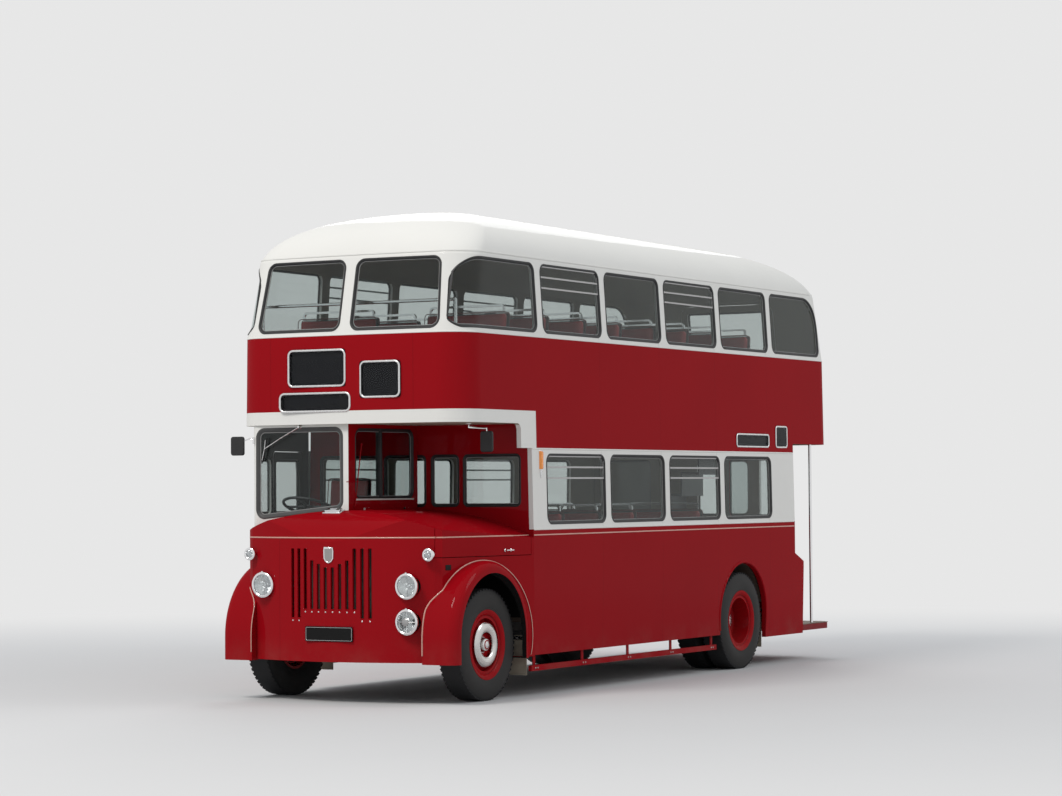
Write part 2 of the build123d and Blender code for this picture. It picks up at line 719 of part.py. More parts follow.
# Top and bottom of each slot from the outer one to the middle, the same on both sides
GRILLE_SLOTS = (
    (1343.0, 739.0),
    (1343.0, 739.0),
    (1343.0, 816.0),
    (1240.0, 816.0),
    (1210.0, 816.0),
    (1180.0, 816.0),
)
# Lamps in the cowl: x, y of the rim, z, radius
HEADLAMP_X = 744.0
HEADLAMP_Z = 1019.0
HEADLAMP_R = 108.0
FOG_Z = 712.0
SIDE_LAMP_X = 925.0
SIDE_LAMP_Z = 1289.0
SIDE_LAMP_R = 52.0
FRONT_LAMPS = (
    (HEADLAMP_X, FRONT_Y + 78.0, HEADLAMP_Z, HEADLAMP_R),
    (-HEADLAMP_X, FRONT_Y + 78.0, HEADLAMP_Z, HEADLAMP_R),
    (HEADLAMP_X, FRONT_Y + 78.0, FOG_Z, HEADLAMP_R),
    (SIDE_LAMP_X, FRONT_Y + 140.0, SIDE_LAMP_Z, SIDE_LAMP_R),
    (-SIDE_LAMP_X, FRONT_Y + 140.0, SIDE_LAMP_Z, SIDE_LAMP_R),
)
LAMP_FRONT_GAP = 16.0
CAB_FRONT_Y = FRONT_Y + CAB_FRONT_SET
CAB_REAR_Y = BULKHEAD_Y - SEAT
BONNET_FRONT_Y = FRONT_Y + 215.0
BONNET_REAR_Y = BULKHEAD_Y - 40.0


def cab_ring(outer, inner, low, high):
    """Skin of the cab between two insets: front, offside and nearside walls."""
    with BuildPart() as skin:
        for inset, rear_y, mode in ((outer, CAB_REAR_Y, Mode.ADD), (inner, CAB_REAR_Y + 50, Mode.SUBTRACT)):
            front = CAB_FRONT_Y + inset
            points = ((CAB_INNER_X - inset, front), (CAB_INNER_X - inset, rear_y),
                      (-side_x(rear_y) + inset, rear_y), (-side_x(front) + inset, front))
            radii = [0, 0, 0, max(CAB_CORNER_R - inset, 1.0)]
            extrude(polygon(level(low), points, radii), amount=high - low, mode=mode)
    return skin.part


def door_prism(grow, amount_in=WAIST_HALF - 700.0):
    """Block that holds the cab door, a little larger or smaller."""
    low = (FRONT_AXLE_Y + DOOR_FRONT - grow, DOOR_LOW_Z - grow)
    high = (FRONT_AXLE_Y + DOOR_REAR + grow, DOOR_HIGH_Z + grow)
    with BuildPart() as prism:
        extrude(rounded(beside(-WIDTH), low, high, 45.0 + grow), amount=WIDTH - amount_in)
    return prism.part


def bonnet_prism(grow):
    """Block that holds the bonnet, a little larger or smaller."""
    with BuildPart() as prism:
        block((BONNET_INNER_X - grow, BONNET_FRONT_Y - grow, BONNET_LOW_Z - grow),
              (WIDTH, BONNET_REAR_Y + grow, HEIGHT))
    return prism.part


with BuildPart() as hood_shell:
    add(hood_solid(0))
    add(hood_solid(COWL_T), mode=Mode.SUBTRACT)
    block((-WIDTH, BULKHEAD_Y - SEAT, 0), (WIDTH, BULKHEAD_Y + 100, HEIGHT), mode=Mode.SUBTRACT)

with BuildPart() as front_cowl:
    add(hood_shell.part)
    add(bonnet_prism(GAP), mode=Mode.SUBTRACT)
    add(door_prism(GAP), mode=Mode.SUBTRACT)
    extrude(front_arch(FRONT_ARCH_R, 0), amount=WIDTH, both=True, mode=Mode.SUBTRACT)
    for rank, (top, low) in enumerate(GRILLE_SLOTS):
        x = (len(GRILLE_SLOTS) - 0.5 - rank) * GRILLE_PITCH
        for side in (-1, 1):
            slot = rounded(across(FRONT_Y - 50), (side * x - SLOT_W / 2, low),
                           (side * x + SLOT_W / 2, top), 6)
            extrude(slot, amount=-300, mode=Mode.SUBTRACT)
    for x, y, z, radius in FRONT_LAMPS:
        extrude(disc(across(FRONT_Y - 50), (x, z), radius - LAMP_FRONT_GAP + SEAT), amount=-400,
                mode=Mode.SUBTRACT)
    cab_well = ((CAB_INNER_X - CAB_WALL, CAB_FRONT_Y + CAB_WALL), (CAB_INNER_X - CAB_WALL, BULKHEAD_Y + 50),
                (-side_x(BULKHEAD_Y + 50) + CAB_WALL, BULKHEAD_Y + 50),
                (-side_x(CAB_FRONT_Y + CAB_WALL) + CAB_WALL, CAB_FRONT_Y + CAB_WALL))
    extrude(polygon(level(1300), cab_well, 0), amount=500, mode=Mode.SUBTRACT)
finish(front_cowl, "front_cowl")


# Hinges: a fixed pin between two lugs, and a barrel that turns on it
HINGE_PIN_R = 5.0
HINGE_R = 9.0
HINGE_LUG = 12.0
HINGE_BARREL = 46.0
HINGE_SINK = 8.0


def hinge_fixed(axis_plane, sink=HINGE_SINK):
    """Pin and two lugs of a hinge; the plane's normal is the hinge axis, its -y faces the body."""
    half = HINGE_BARREL / 2 + 0.5
    with BuildPart() as fixed:
        with BuildSketch(axis_plane.offset(-half - HINGE_LUG / 2)):
            Circle(HINGE_PIN_R)
        extrude(amount=2 * half + HINGE_LUG)
        for offset in (-half - HINGE_LUG, half):
            with BuildSketch(axis_plane.offset(offset)):
                Circle(HINGE_R)
                with Locations((-HINGE_R * 1.5, -sink / 2)):
                    Rectangle(HINGE_R * 3, HINGE_R * 2 + sink)
            extrude(amount=HINGE_LUG)
    return fixed.part


def hinge_barrel(axis_plane, leaf):
    """Barrel of a hinge with its leaf."""
    with BuildPart() as barrel:
        with BuildSketch(axis_plane.offset(-HINGE_BARREL / 2)):
            Circle(HINGE_R)
            with Locations((leaf / 2, -(HINGE_R + HINGE_SINK + 3) / 2)):
                Rectangle(leaf, HINGE_R + HINGE_SINK - 3)
        extrude(amount=HINGE_BARREL)
        with BuildSketch(axis_plane.offset(-HINGE_BARREL / 2)):
            Circle(HINGE_PIN_R + RUNNING)
        extrude(amount=HINGE_BARREL, mode=Mode.SUBTRACT)
    return barrel.part


BONNET_HINGE_X = CAB_INNER_X + HINGE_R + 1.5
BONNET_HINGE_Z = HOOD_TOP_Z + HINGE_R + 1.0
BONNET_HINGES = []
for share in (0.25, 0.85):
    y = CAB_FRONT_Y + share * (BONNET_REAR_Y - CAB_FRONT_Y)
    spot = (BONNET_HINGE_X, y, BONNET_HINGE_Z)
    BONNET_HINGES.append(Plane(origin=spot, x_dir=(1, 0, 0), z_dir=(0, -1, 0)))

with BuildPart() as bonnet:
    add(hood_shell.part)
    add(bonnet_prism(0), mode=Mode.INTERSECT)
    for place in BONNET_HINGES:
        add(hinge_barrel(place, 60.0))
finish(bonnet, "bonnet")

# Front wings: rounded arches that stand out from the cowl sides
WING_LOW = 350.0
# Reach of a steered tyre from the kingpin, with room
STEER_ROOM = 12.0
TREAD_SHARE = 0.36
TYRE_REACH = math.hypot(FRONT_TRACK_HALF - KINGPIN_X + TREAD_SHARE * TYRE_W, TYRE_R) + STEER_ROOM

with BuildPart() as front_wings:
    extrude(front_arch(FRONT_ARCH_R + WING_W, WING_LOW), amount=WING_X)
    rim = front_wings.faces().sort_by(Axis.X)[-1].edges().filter_by(
        lambda edge: (edge.center() - Vector(WING_X, FRONT_AXLE_Y, 0)).Z > WING_LOW + 1)
    fillet(rim, WING_FILLET)
    extrude(front_arch(FRONT_ARCH_R, 0), amount=WIDTH, mode=Mode.SUBTRACT)
    with Locations((KINGPIN_X, FRONT_AXLE_Y, TYRE_R)):
        Sphere(TYRE_REACH, mode=Mode.SUBTRACT)
    add(hood_solid(-SEAT), mode=Mode.SUBTRACT)
    block((0, BULKHEAD_Y - SEAT, 0), (WIDTH, REAR_Y, HEIGHT), mode=Mode.SUBTRACT)
    block((0, FRONT_Y - 200, 0), (COWL_CORNER_X - 60, BULKHEAD_Y, HEIGHT), mode=Mode.SUBTRACT)
    mirror(about=Plane.YZ)
finish(front_wings, "front_wings")

# Cab: windscreen wall, offside wall and nearside wall above the hood, with floor and engine cover
WINDSCREEN = ((-58.0, 1690.0), (-962.0, 1600.0), (-958.0, 2395.0), (-58.0, 2395.0))
CAB_SIDE_LOW = (FRONT_AXLE_Y - 400.0, 1776.0)
CAB_SIDE_HIGH = (BULKHEAD_Y - 80.0, 2385.0)
QUARTER_LOW = (CAB_FRONT_Y + 75.0, 1640.0)
QUARTER_HIGH = (FRONT_AXLE_Y + DOOR_FRONT - 50.0, 2130.0)
DOOR_WINDOW_LOW = (FRONT_AXLE_Y + DOOR_FRONT + 60.0, 1640.0)
DOOR_WINDOW_HIGH = (FRONT_AXLE_Y + DOOR_REAR - 60.0, 2130.0)
DOOR_HINGE_Y = FRONT_AXLE_Y + DOOR_REAR + GAP / 2
DOOR_HINGE_X = -side_x(DOOR_HINGE_Y) - HINGE_R - 1.0
DOOR_HINGES = []
for z in (DOOR_LOW_Z + 320.0, DOOR_HIGH_Z - 120.0):
    DOOR_HINGES.append(Plane(origin=(DOOR_HINGE_X, DOOR_HINGE_Y, z), x_dir=(0, -1, 0), z_dir=(0, 0, -1)))
COVER_X = -330.0


def cab_panes(gap):
    """Blocks that pass through the cab's window openings, smaller by a gap."""
    with BuildPart() as panes:
        points = []
        for (x, z), dx, dz in zip(WINDSCREEN, (-gap, gap, gap, -gap), (gap, gap, -gap, -gap)):
            points.append((x + dx, z + dz))
        extrude(polygon(across(CAB_FRONT_Y - 50), points, WINDOW_R), amount=-150)
        low = (CAB_SIDE_LOW[0] + gap, CAB_SIDE_LOW[1] + gap)
        high = (CAB_SIDE_HIGH[0] - gap, CAB_SIDE_HIGH[1] - gap)
        extrude(rounded(beside(-60), low, high, WINDOW_R), amount=120)
        low = (QUARTER_LOW[0] + gap, QUARTER_LOW[1] + gap)
        high = (QUARTER_HIGH[0] - gap, QUARTER_HIGH[1] - gap)
        extrude(rounded(beside(-WIDTH), low, high, 50), amount=WIDTH - 800)
    return panes.part


def door_pane(gap):
    """Block that passes through the cab door's window."""
    low = (DOOR_WINDOW_LOW[0] + gap, DOOR_WINDOW_LOW[1] + gap)
    high = (DOOR_WINDOW_HIGH[0] - gap, DOOR_WINDOW_HIGH[1] - gap)
    with BuildPart() as pane:
        extrude(rounded(beside(-WIDTH), low, high, 50), amount=WIDTH - 800)
    return pane.part


INSIDE_FRONT = CAB_FRONT_Y + CAB_WALL + 5
INSIDE_X = CAB_INNER_X - CAB_WALL
COVER_TOP = HOOD_TOP_Z + 20
COVER_PROFILE = (
    (COVER_X - 20, CAB_FLOOR_Z - CAB_FLOOR_T),
    (COVER_X, CAB_FLOOR_Z - CAB_FLOOR_T),
    (COVER_X, HOOD_TOP_Z - 72),
    (INSIDE_X - 8, HOOD_TOP_Z - 20),
    (INSIDE_X - 8, COVER_TOP - 10),
    (INSIDE_X + 5, COVER_TOP - 10),
    (INSIDE_X + 5, COVER_TOP),
    (INSIDE_X - 28, COVER_TOP),
    (COVER_X - 20, HOOD_TOP_Z - 48),
)
CAB_FLOOR_PLAN = (
    (COVER_X - 10, INSIDE_FRONT),
    (COVER_X - 10, CAB_REAR_Y),
    (-side_x(CAB_REAR_Y) + CAB_WALL + 5, CAB_REAR_Y),
    (-side_x(INSIDE_FRONT) + CAB_WALL + 5, INSIDE_FRONT),
)
TOE_BOARD_Z = 1470.0

with BuildPart() as cab_shell:
    add(cab_ring(0, CAB_WALL, 1300.0, CANOPY_Z - SEAT))
    add(hood_solid(-SEAT), mode=Mode.SUBTRACT)
    add(door_prism(GAP), mode=Mode.SUBTRACT)
    add(cab_panes(0), mode=Mode.SUBTRACT)
    extrude(polygon(across(INSIDE_FRONT), COVER_PROFILE, 0), amount=INSIDE_FRONT - CAB_REAR_Y)
    extrude(polygon(level(CAB_FLOOR_Z - CAB_FLOOR_T), CAB_FLOOR_PLAN, 0), amount=CAB_FLOOR_T)
    block((CAB_FLOOR_PLAN[-1][0], INSIDE_FRONT, CAB_FLOOR_Z - CAB_FLOOR_T),
          (COVER_X - 10, INSIDE_FRONT + 20, TOE_BOARD_Z))
    for place in DOOR_HINGES:
        add(hinge_fixed(place))
    for place in BONNET_HINGES:
        add(hinge_fixed(place, 0.0))
finish(cab_shell, "cab_shell")

with BuildPart() as cab_door:
    add(cab_ring(0, CAB_WALL, DOOR_LOW_Z - 50, DOOR_HIGH_Z + 50))
    add(door_prism(0), mode=Mode.INTERSECT)
    add(door_pane(0), mode=Mode.SUBTRACT)
    for place in DOOR_HINGES:
        add(hinge_barrel(place, 50.0))
finish(cab_door, "cab_door")

with BuildPart() as cab_door_glass:
    add(cab_ring(GLASS_SETBACK, GLASS_SETBACK + GLASS_T, DOOR_LOW_Z - 50, DOOR_HIGH_Z + 50))
    add(door_pane(SEAT), mode=Mode.INTERSECT)
finish(cab_door_glass, "cab_door_glass")

# Emergency window at the upper rear, hinged along its top edge
EMERGENCY_HINGE_X = 380.0
rear_share = (EMERGENCY_HIGH - UPPER_WAIST_Z) / (CANT_Z - UPPER_WAIST_Z)
EMERGENCY_HINGE_Y = REAR_Y - REAR_RAKE * rear_share + 4.0
EMERGENCY_HINGE_Z = EMERGENCY_HIGH + GAP / 2
EMERGENCY_HINGES = []
for x in (-EMERGENCY_HINGE_X, EMERGENCY_HINGE_X):
    EMERGENCY_HINGES.append(Plane(origin=(x, EMERGENCY_HINGE_Y, EMERGENCY_HINGE_Z),
                                  x_dir=(0, 0, -1), z_dir=(1, 0, 0)))

with BuildPart() as emergency_window:
    extrude(emergency_outline(0), amount=900)
    add(deck_layer(0, WALL), mode=Mode.INTERSECT)
    extrude(emergency_outline(-EMERGENCY_FRAME), amount=900, mode=Mode.SUBTRACT)
    for place in EMERGENCY_HINGES:
        add(hinge_barrel(place, 45.0))
finish(emergency_window, "emergency_window")

with BuildPart() as emergency_glass:
    extrude(emergency_outline(-EMERGENCY_FRAME - SEAT), amount=900)
    add(deck_layer(GLASS_SETBACK, GLASS_SETBACK + GLASS_T), mode=Mode.INTERSECT)
finish(emergency_glass, "emergency_glass")

with BuildPart() as upper_rear:
    add(deck_walls.part)
    split(bisect_by=Plane.XZ.offset(-REAR_SPLIT_Y), keep=Keep.BOTTOM)
    for place in EMERGENCY_HINGES:
        add(hinge_fixed(place))
finish(upper_rear, "upper_rear")

# Fixed glass of both decks, the cab, the bulkheads and the rear panel
with BuildPart() as lower_panes:
    for side in (-1, 1):
        windows = side_openings(LOWER_WINDOWS, LOWER_SILL_Z, LOWER_WINDOW_H, SEAT, side)
        extrude(windows, amount=side * SIDE_CUT_REACH)
    low = (REAR_WINDOW_LOW[0] + SEAT, REAR_WINDOW_LOW[1] + SEAT)
    high = (REAR_WINDOW_HIGH[0] - SEAT, REAR_WINDOW_HIGH[1] - SEAT)
    extrude(rounded(across(REAR_Y + 200), low, high, WINDOW_R), amount=900)
    add(lower_layer(GLASS_SETBACK, GLASS_SETBACK + GLASS_T), mode=Mode.INTERSECT)

with BuildPart() as cab_glass:
    add(cab_panes(SEAT))
    add(cab_ring(GLASS_SETBACK, GLASS_SETBACK + GLASS_T, 1300.0, CANOPY_Z), mode=Mode.INTERSECT)

with BuildPart() as glazing:
    for side in (-1, 1):
        windows = side_openings(UPPER_WINDOWS, UPPER_SILL_Z, UPPER_WINDOW_H, SEAT, side)
        extrude(windows, amount=side * SIDE_CUT_REACH)
    extrude(front_openings(SEAT), amount=-FRONT_CUT_REACH)
    add(deck_layer(GLASS_SETBACK, GLASS_SETBACK + GLASS_T), mode=Mode.INTERSECT)
    add(lower_panes.part)
    add(cab_glass.part)
    bulkhead_panes = []
    for low_x, high_x in FRONT_BULKHEAD_WINDOWS:
        bulkhead_panes.append((BULKHEAD_Y, low_x, high_x, BULKHEAD_SILL_Z, 40))
    for low_x, high_x in REAR_BULKHEAD_WINDOWS:
        bulkhead_panes.append((SALOON_END_Y, low_x, high_x, LOWER_SILL_Z, 50))
    for y, low_x, high_x, sill, radius in bulkhead_panes:
        face = rounded(across(y + GLASS_SETBACK), (low_x + SEAT, sill + SEAT),
                       (high_x - SEAT, BULKHEAD_HEAD_Z - SEAT), radius)
        extrude(face, amount=-GLASS_T)
finish(glazing, "glazing")

# Bright vent frames in the tops of some side windows
VENT_BARS = (0.66, 0.82, 0.985)
VENT_BAR_H = 16.0
UPPER_VENTS = (1, 3)
LOWER_VENTS = (0, 2)


def vent_frames(windows, chosen, sill, height, skin):
    """Bars and stiles of the vents in the chosen windows of a row."""
    with BuildPart() as frames:
        for index in chosen:
            start, end, high_start, radii = windows[index]
            with BuildSketch(Plane.YZ):
                for share in VENT_BARS:
                    with Locations(((start + end) / 2, sill + share * height)):
                        Rectangle(end - start, VENT_BAR_H)
                middle = sill + (VENT_BARS[0] + VENT_BARS[-1]) / 2 * height
                for y in (start + VENT_BAR_H / 2, end - VENT_BAR_H / 2):
                    with Locations((y, middle)):
                        Rectangle(VENT_BAR_H, (VENT_BARS[-1] - VENT_BARS[0]) * height)
                with Locations(((start + end) / 2, sill + height / 2)):
                    RectangleRounded(end - start - 2 * SEAT, height - 2 * SEAT, WINDOW_R,
                                     mode=Mode.INTERSECT)
            extrude(amount=WIDTH, both=True)
        add(skin, mode=Mode.INTERSECT)
    return frames.part


with BuildPart() as window_vents:
    add(vent_frames(UPPER_WINDOWS, UPPER_VENTS, UPPER_SILL_Z, UPPER_WINDOW_H,
                    deck_layer(4.0, GLASS_SETBACK - SEAT)))
    add(vent_frames(LOWER_WINDOWS, LOWER_VENTS, LOWER_SILL_Z, LOWER_WINDOW_H,
                    lower_layer(4.0, GLASS_SETBACK - SEAT)))
finish(window_vents, "window_vents")

# Destination boxes: rims that stand a little proud with a sunk face
with BuildPart() as box_recesses:
    extrude(box_outlines(FRONT_BOXES, across(FRONT_CUT_Y), -BOX_RIM), amount=-FRONT_CUT_REACH)
    extrude(box_outlines(SIDE_BOXES, beside(SIDE_CUT_X), -BOX_RIM), amount=SIDE_CUT_REACH)
    add(deck_layer(-BOX_PROUD - 2, BOX_PROUD), mode=Mode.INTERSECT)

with BuildPart() as destination_boxes:
    extrude(box_outlines(FRONT_BOXES, across(FRONT_CUT_Y), 0), amount=-FRONT_CUT_REACH)
    extrude(box_outlines(SIDE_BOXES, beside(SIDE_CUT_X), 0), amount=SIDE_CUT_REACH)
    add(deck_layer(-BOX_PROUD, WALL), mode=Mode.INTERSECT)
    add(box_recesses.part, mode=Mode.SUBTRACT)
finish(destination_boxes, "destination_boxes")

# Seats: width, depth and heights above the floor
SEAT_W = 860.0
SEAT_DEPTH = 410.0
SEAT_H = 440.0
CUSHION_T = 105.0
BACK_T = 75.0
BACK_H = 560.0
SEAT_PITCH = 720.0
SEAT_WALL_GAP = 12.0
SEAT_X = DECK_BASE_HALF - WALL - SEAT_WALL_GAP - SEAT_W / 2 - 14.0
UPPER_DECK_Z = CANOPY_Z + UPPER_FLOOR_T
LOWER_ROWS_COUNT = 5
UPPER_ROWS_COUNT = 8
LOWER_ROW_START = BULKHEAD_Y + 210.0
UPPER_ROW_START = FRONT_Y + DECK_SETBACK + 470.0
DRIVER_X = -665.0
DRIVER_Y = FRONT_AXLE_Y + 40.0
DRIVER_W = 440.0
# Bench along each side over the wheel boxes
BENCH_START = TYRE_BOX_Y - BOX_R
BENCH_END = SALOON_END_Y - 60.0
BENCH_Z = REAR_ARCH_Z + BOX_R + 24.0
BENCH_DEPTH = 420.0
BENCH_X = WAIST_HALF - WALL - SEAT_WALL_GAP - 12
BENCH_BOARD = 22.0
BENCH_BACK_H = 330.0

# Double seats: x, y of the front edge, floor
SEAT_PLACES = []
for side in (-1, 1):
    for row in range(LOWER_ROWS_COUNT):
        SEAT_PLACES.append((side * SEAT_X, LOWER_ROW_START + row * SEAT_PITCH, FLOOR_Z))
    for row in range(UPPER_ROWS_COUNT):
        SEAT_PLACES.append((side * (SEAT_X - 20), UPPER_ROW_START + row * SEAT_PITCH, UPPER_DECK_Z))
DRIVER_PLACE = (DRIVER_X, DRIVER_Y, CAB_FLOOR_Z - 60)
BACK_Y = SEAT_DEPTH + 5.0
BACK_LEAN = 60.0
SEAT_TOP_Z = SEAT_H + BACK_H - 60.0
PANEL_T = 10.0


def seat_pads(width):
    """Cushion and back of one seat, its front edge on the X axis and the floor at zero."""
    with BuildPart() as pads:
        extrude(rounded(beside(-width / 2), (0, SEAT_H - CUSHION_T), (SEAT_DEPTH, SEAT_H), [25, 15, 25, 45]),
                amount=width)
        rear = BACK_Y + BACK_T
        back = ((BACK_Y, SEAT_H - 60), (rear, SEAT_H - 60), (rear + BACK_LEAN, SEAT_TOP_Z),
                (BACK_Y + BACK_LEAN, SEAT_TOP_Z))
        extrude(polygon(beside(-width / 2), back, [15, 10, 30, 30]), amount=width)
    return pads.part


def seat_frame(width, ground):
    """Legs, base and back panel of one seat."""
    low = SEAT_H - CUSHION_T
    back = BACK_Y + BACK_T
    half = width / 2 - 20
    with BuildPart() as frame:
        block((-half, 40, low - 30), (half, back + 8, low - SEAT))
        slope = BACK_LEAN / BACK_H
        foot = back + SEAT + (low + 40 - SEAT_H) * slope
        head = back + SEAT + (BACK_H - 15) * slope
        top = SEAT_TOP_Z - 15
        panel = ((foot, low - 20), (foot + PANEL_T, low - 20), (head + PANEL_T, top), (head, top))
        extrude(polygon(beside(-half), panel, 0), amount=2 * half)
        for leg_x in (-half + 40, half - 40):
            for foot, head in ((90, 110), (350, 330)):
                leg = ((foot, ground), (foot + 40, ground), (head + 40, low - 20), (head, low - 20))
                extrude(polygon(beside(leg_x - 14), leg, 0), amount=28)
    return frame.part


with BuildPart() as seat_cushions:
    with Locations(*SEAT_PLACES):
        add(seat_pads(SEAT_W))
    with Locations(DRIVER_PLACE):
        add(seat_pads(DRIVER_W))
    for side in (-1, 1):
        bench = (min(side * BENCH_X, side * (BENCH_X - BENCH_DEPTH)), BENCH_START, BENCH_Z)
        block(bench, (bench[0] + BENCH_DEPTH, BENCH_END, BENCH_Z + 90))
        rest_x = min(side * BENCH_X, side * (BENCH_X - BACK_T))
        rest_z = BENCH_Z + 90 + SEAT
        block((rest_x, BENCH_START, rest_z), (rest_x + BACK_T, BENCH_END, rest_z + BENCH_BACK_H))
finish(seat_cushions, "seat_cushions")

with BuildPart() as seat_frames:
    with Locations(*SEAT_PLACES):
        add(seat_frame(SEAT_W, SEAT))
    with Locations(DRIVER_PLACE):
        add(seat_frame(DRIVER_W, CAB_FLOOR_Z - DRIVER_PLACE[2] + SEAT))
    for side in (-1, 1):
        board_x = min(side * BENCH_X, side * (BENCH_X - BENCH_DEPTH))
        block((board_x, BENCH_START, BENCH_Z - BENCH_BOARD),
              (board_x + BENCH_DEPTH, BENCH_END, BENCH_Z - SEAT))
        front_x = side * (BENCH_X - BENCH_DEPTH + 15)
        for y in (BENCH_START - 50, BENCH_END - 60):
            block((front_x - 15, y, FLOOR_Z + SEAT), (front_x + 15, y + 40, BENCH_Z - SEAT))
finish(seat_frames, "seat_frames")

# Grab rails on the seat backs, as flat loops with round corners
GRAB_H = 62.0
GRAB_T = 20.0
GRAB_R = 40.0


def grab_loop(width):
    """Flat rail with round corners that stands on a seat back."""
    y = BACK_Y + BACK_LEAN + BACK_T / 2 - GRAB_T / 2
    low = SEAT_TOP_Z + SEAT
    with BuildPart() as loop:
        outer = rounded(across(y), (-width / 2, low), (width / 2, low + GRAB_H), [0, 0, GRAB_R, GRAB_R])
        extrude(outer, amount=-GRAB_T)
        reach = width / 2 - GRAB_T
        inner = rounded(across(y), (-reach, low - GRAB_T), (reach, low + GRAB_H - GRAB_T),
                        [0, 0, GRAB_R - GRAB_T, GRAB_R - GRAB_T])
        extrude(inner, amount=-GRAB_T, mode=Mode.SUBTRACT)
    return loop.part


# Poles and rails: platform pole, bulkhead rail, upper front window rails, stair rail
POLE_R = 17.0
POLE_X = 1136.0
EDGE_RAIL_X = 1134.0
POLE_Y = SALOON_END_Y + 634.0
RAIL_R = 14.0

with BuildPart() as handrails:
    with Locations(*SEAT_PLACES):
        add(grab_loop(SEAT_W - 80))
    rod((POLE_X, POLE_Y, PLATFORM_Z + SEAT), (POLE_X, POLE_Y, CANOPY_Z - SEAT), POLE_R)
    edge_y = SALOON_END_Y + BULKHEAD_T + 45
    rod((EDGE_RAIL_X, edge_y, STEP_OUT_Z + 125), (EDGE_RAIL_X, edge_y, CANOPY_Z - SEAT), RAIL_R)
    rod((EDGE_RAIL_X, SALOON_END_Y + BULKHEAD_T + SEAT, STEP_OUT_Z + 160),
        (EDGE_RAIL_X, edge_y, STEP_OUT_Z + 160), RAIL_R)
    front_rail_y = FRONT_Y + DECK_SETBACK + FRONT_BOW + 170
    rod((-1010, front_rail_y, UPPER_SILL_Z + 240), (1010, front_rail_y, UPPER_SILL_Z + 240), RAIL_R)
    for x in (-1010, 1010):
        rod((x, front_rail_y, UPPER_SILL_Z + 240), (x, front_rail_y, UPPER_DECK_Z + SEAT), RAIL_R)
    guard_x = STAIR_HOLE_HIGH[0] - 40
    guard_low = STAIR_HOLE_LOW[1] - 30
    for x in (STAIR_HOLE_LOW[0] + 30, STAIR_INNER_X, guard_x):
        rod((x, guard_low, UPPER_DECK_Z + SEAT), (x, guard_low, UPPER_DECK_Z + 900), RAIL_R)
    rod((STAIR_HOLE_LOW[0] + 30 - RAIL_R - 6, guard_low, UPPER_DECK_Z + 890),
        (guard_x + RAIL_R + 6, guard_low, UPPER_DECK_Z + 890), RAIL_R + 2)
    door_pole = (DOORWAY_HALF + 60, SALOON_END_Y + BULKHEAD_T + 60)
    rod((*door_pole, PLATFORM_Z + SEAT), (*door_pole, CANOPY_Z - SEAT), POLE_R)
finish(handrails, "handrails")

# Lamps
LAMP_DEPTH = 95.0
INDICATOR_Y = BULKHEAD_Y + 150.0
INDICATOR_HALF_W = 32.0
INDICATOR_HALF_H = 90.0
INDICATOR_Z = 2105.0
LENS_PROUD = 24.0
# Tail lamps: x, set of the panel ahead of the rearmost point, z, radius
TAIL_LAMPS = (
    (-1010.0, 56.0, 760.0, 48.0),
    (-1010.0, 56.0, 890.0, 48.0),
    (230.0, 3.0, 760.0, 48.0),
)

with BuildPart() as lamps:
    for x, y, z, radius in FRONT_LAMPS:
        inner = radius - LAMP_FRONT_GAP
        depth = min(LAMP_DEPTH, radius)
        dome = 0.19 * radius
        sphere = (inner ** 2 + dome ** 2) / (2 * dome)
        halfway = sphere - math.sqrt(sphere ** 2 - inner ** 2 / 4)
        with BuildSketch(Plane(origin=(x, y, z), x_dir=(1, 0, 0), z_dir=(0, 0, 1))):
            with BuildLine():
                Polyline((0, depth), (inner, depth), (inner, 4), (radius, 4), (radius, -8),
                         (inner, -16))
                ThreePointArc((inner, -16), (inner / 2, -16 - dome + halfway), (0, -16 - dome))
                Line((0, -16 - dome), (0, depth))
            make_face()
        revolve(axis=Axis((x, y, z), (0, 1, 0)))
    for side in (-1, 1):
        low = side * (DECK_BASE_HALF - 5)
        high = side * (DECK_BASE_HALF + 30)
        block((min(low, high), INDICATOR_Y - INDICATOR_HALF_W, INDICATOR_Z - INDICATOR_HALF_H),
              (max(low, high), INDICATOR_Y + INDICATOR_HALF_W, INDICATOR_Z + INDICATOR_HALF_H))
    for x, set_back, z, radius in TAIL_LAMPS:
        lens_y = REAR_Y - set_back + LENS_PROUD
        extrude(disc(across(lens_y), (x, z), radius), amount=2 * LENS_PROUD)
    add(lower_body(-SEAT), mode=Mode.SUBTRACT)
finish(lamps, "lamps")

# Mirrors on their arms
MIRROR_R = 22.0
MIRROR_ARM_R = 8.0
NEAR_MIRROR = (1112.0, FRONT_AXLE_Y, 2265.0)
NEAR_ARM_X = 930.0
FAR_MIRROR = (-side_x(CAB_FRONT_Y) - 150, CAB_FRONT_Y - 15, 2250.0)

with BuildPart() as offside_mirror:
    block((FAR_MIRROR[0] - 70, FAR_MIRROR[1] - 14, FAR_MIRROR[2] - 85),
          (FAR_MIRROR[0] + 70, FAR_MIRROR[1] + 14, FAR_MIRROR[2] + 85))
    fillet(offside_mirror.edges().filter_by(Axis.Y), MIRROR_R)
    rod((FAR_MIRROR[0] + 40, FAR_MIRROR[1] + 8, FAR_MIRROR[2] + 40),
        (-side_x(CAB_FRONT_Y) + 25, CAB_FRONT_Y + 12, FAR_MIRROR[2] + 75), MIRROR_ARM_R)
    add(cab_ring(-SEAT, CAB_WALL, 1300.0, CANOPY_Z), mode=Mode.SUBTRACT)

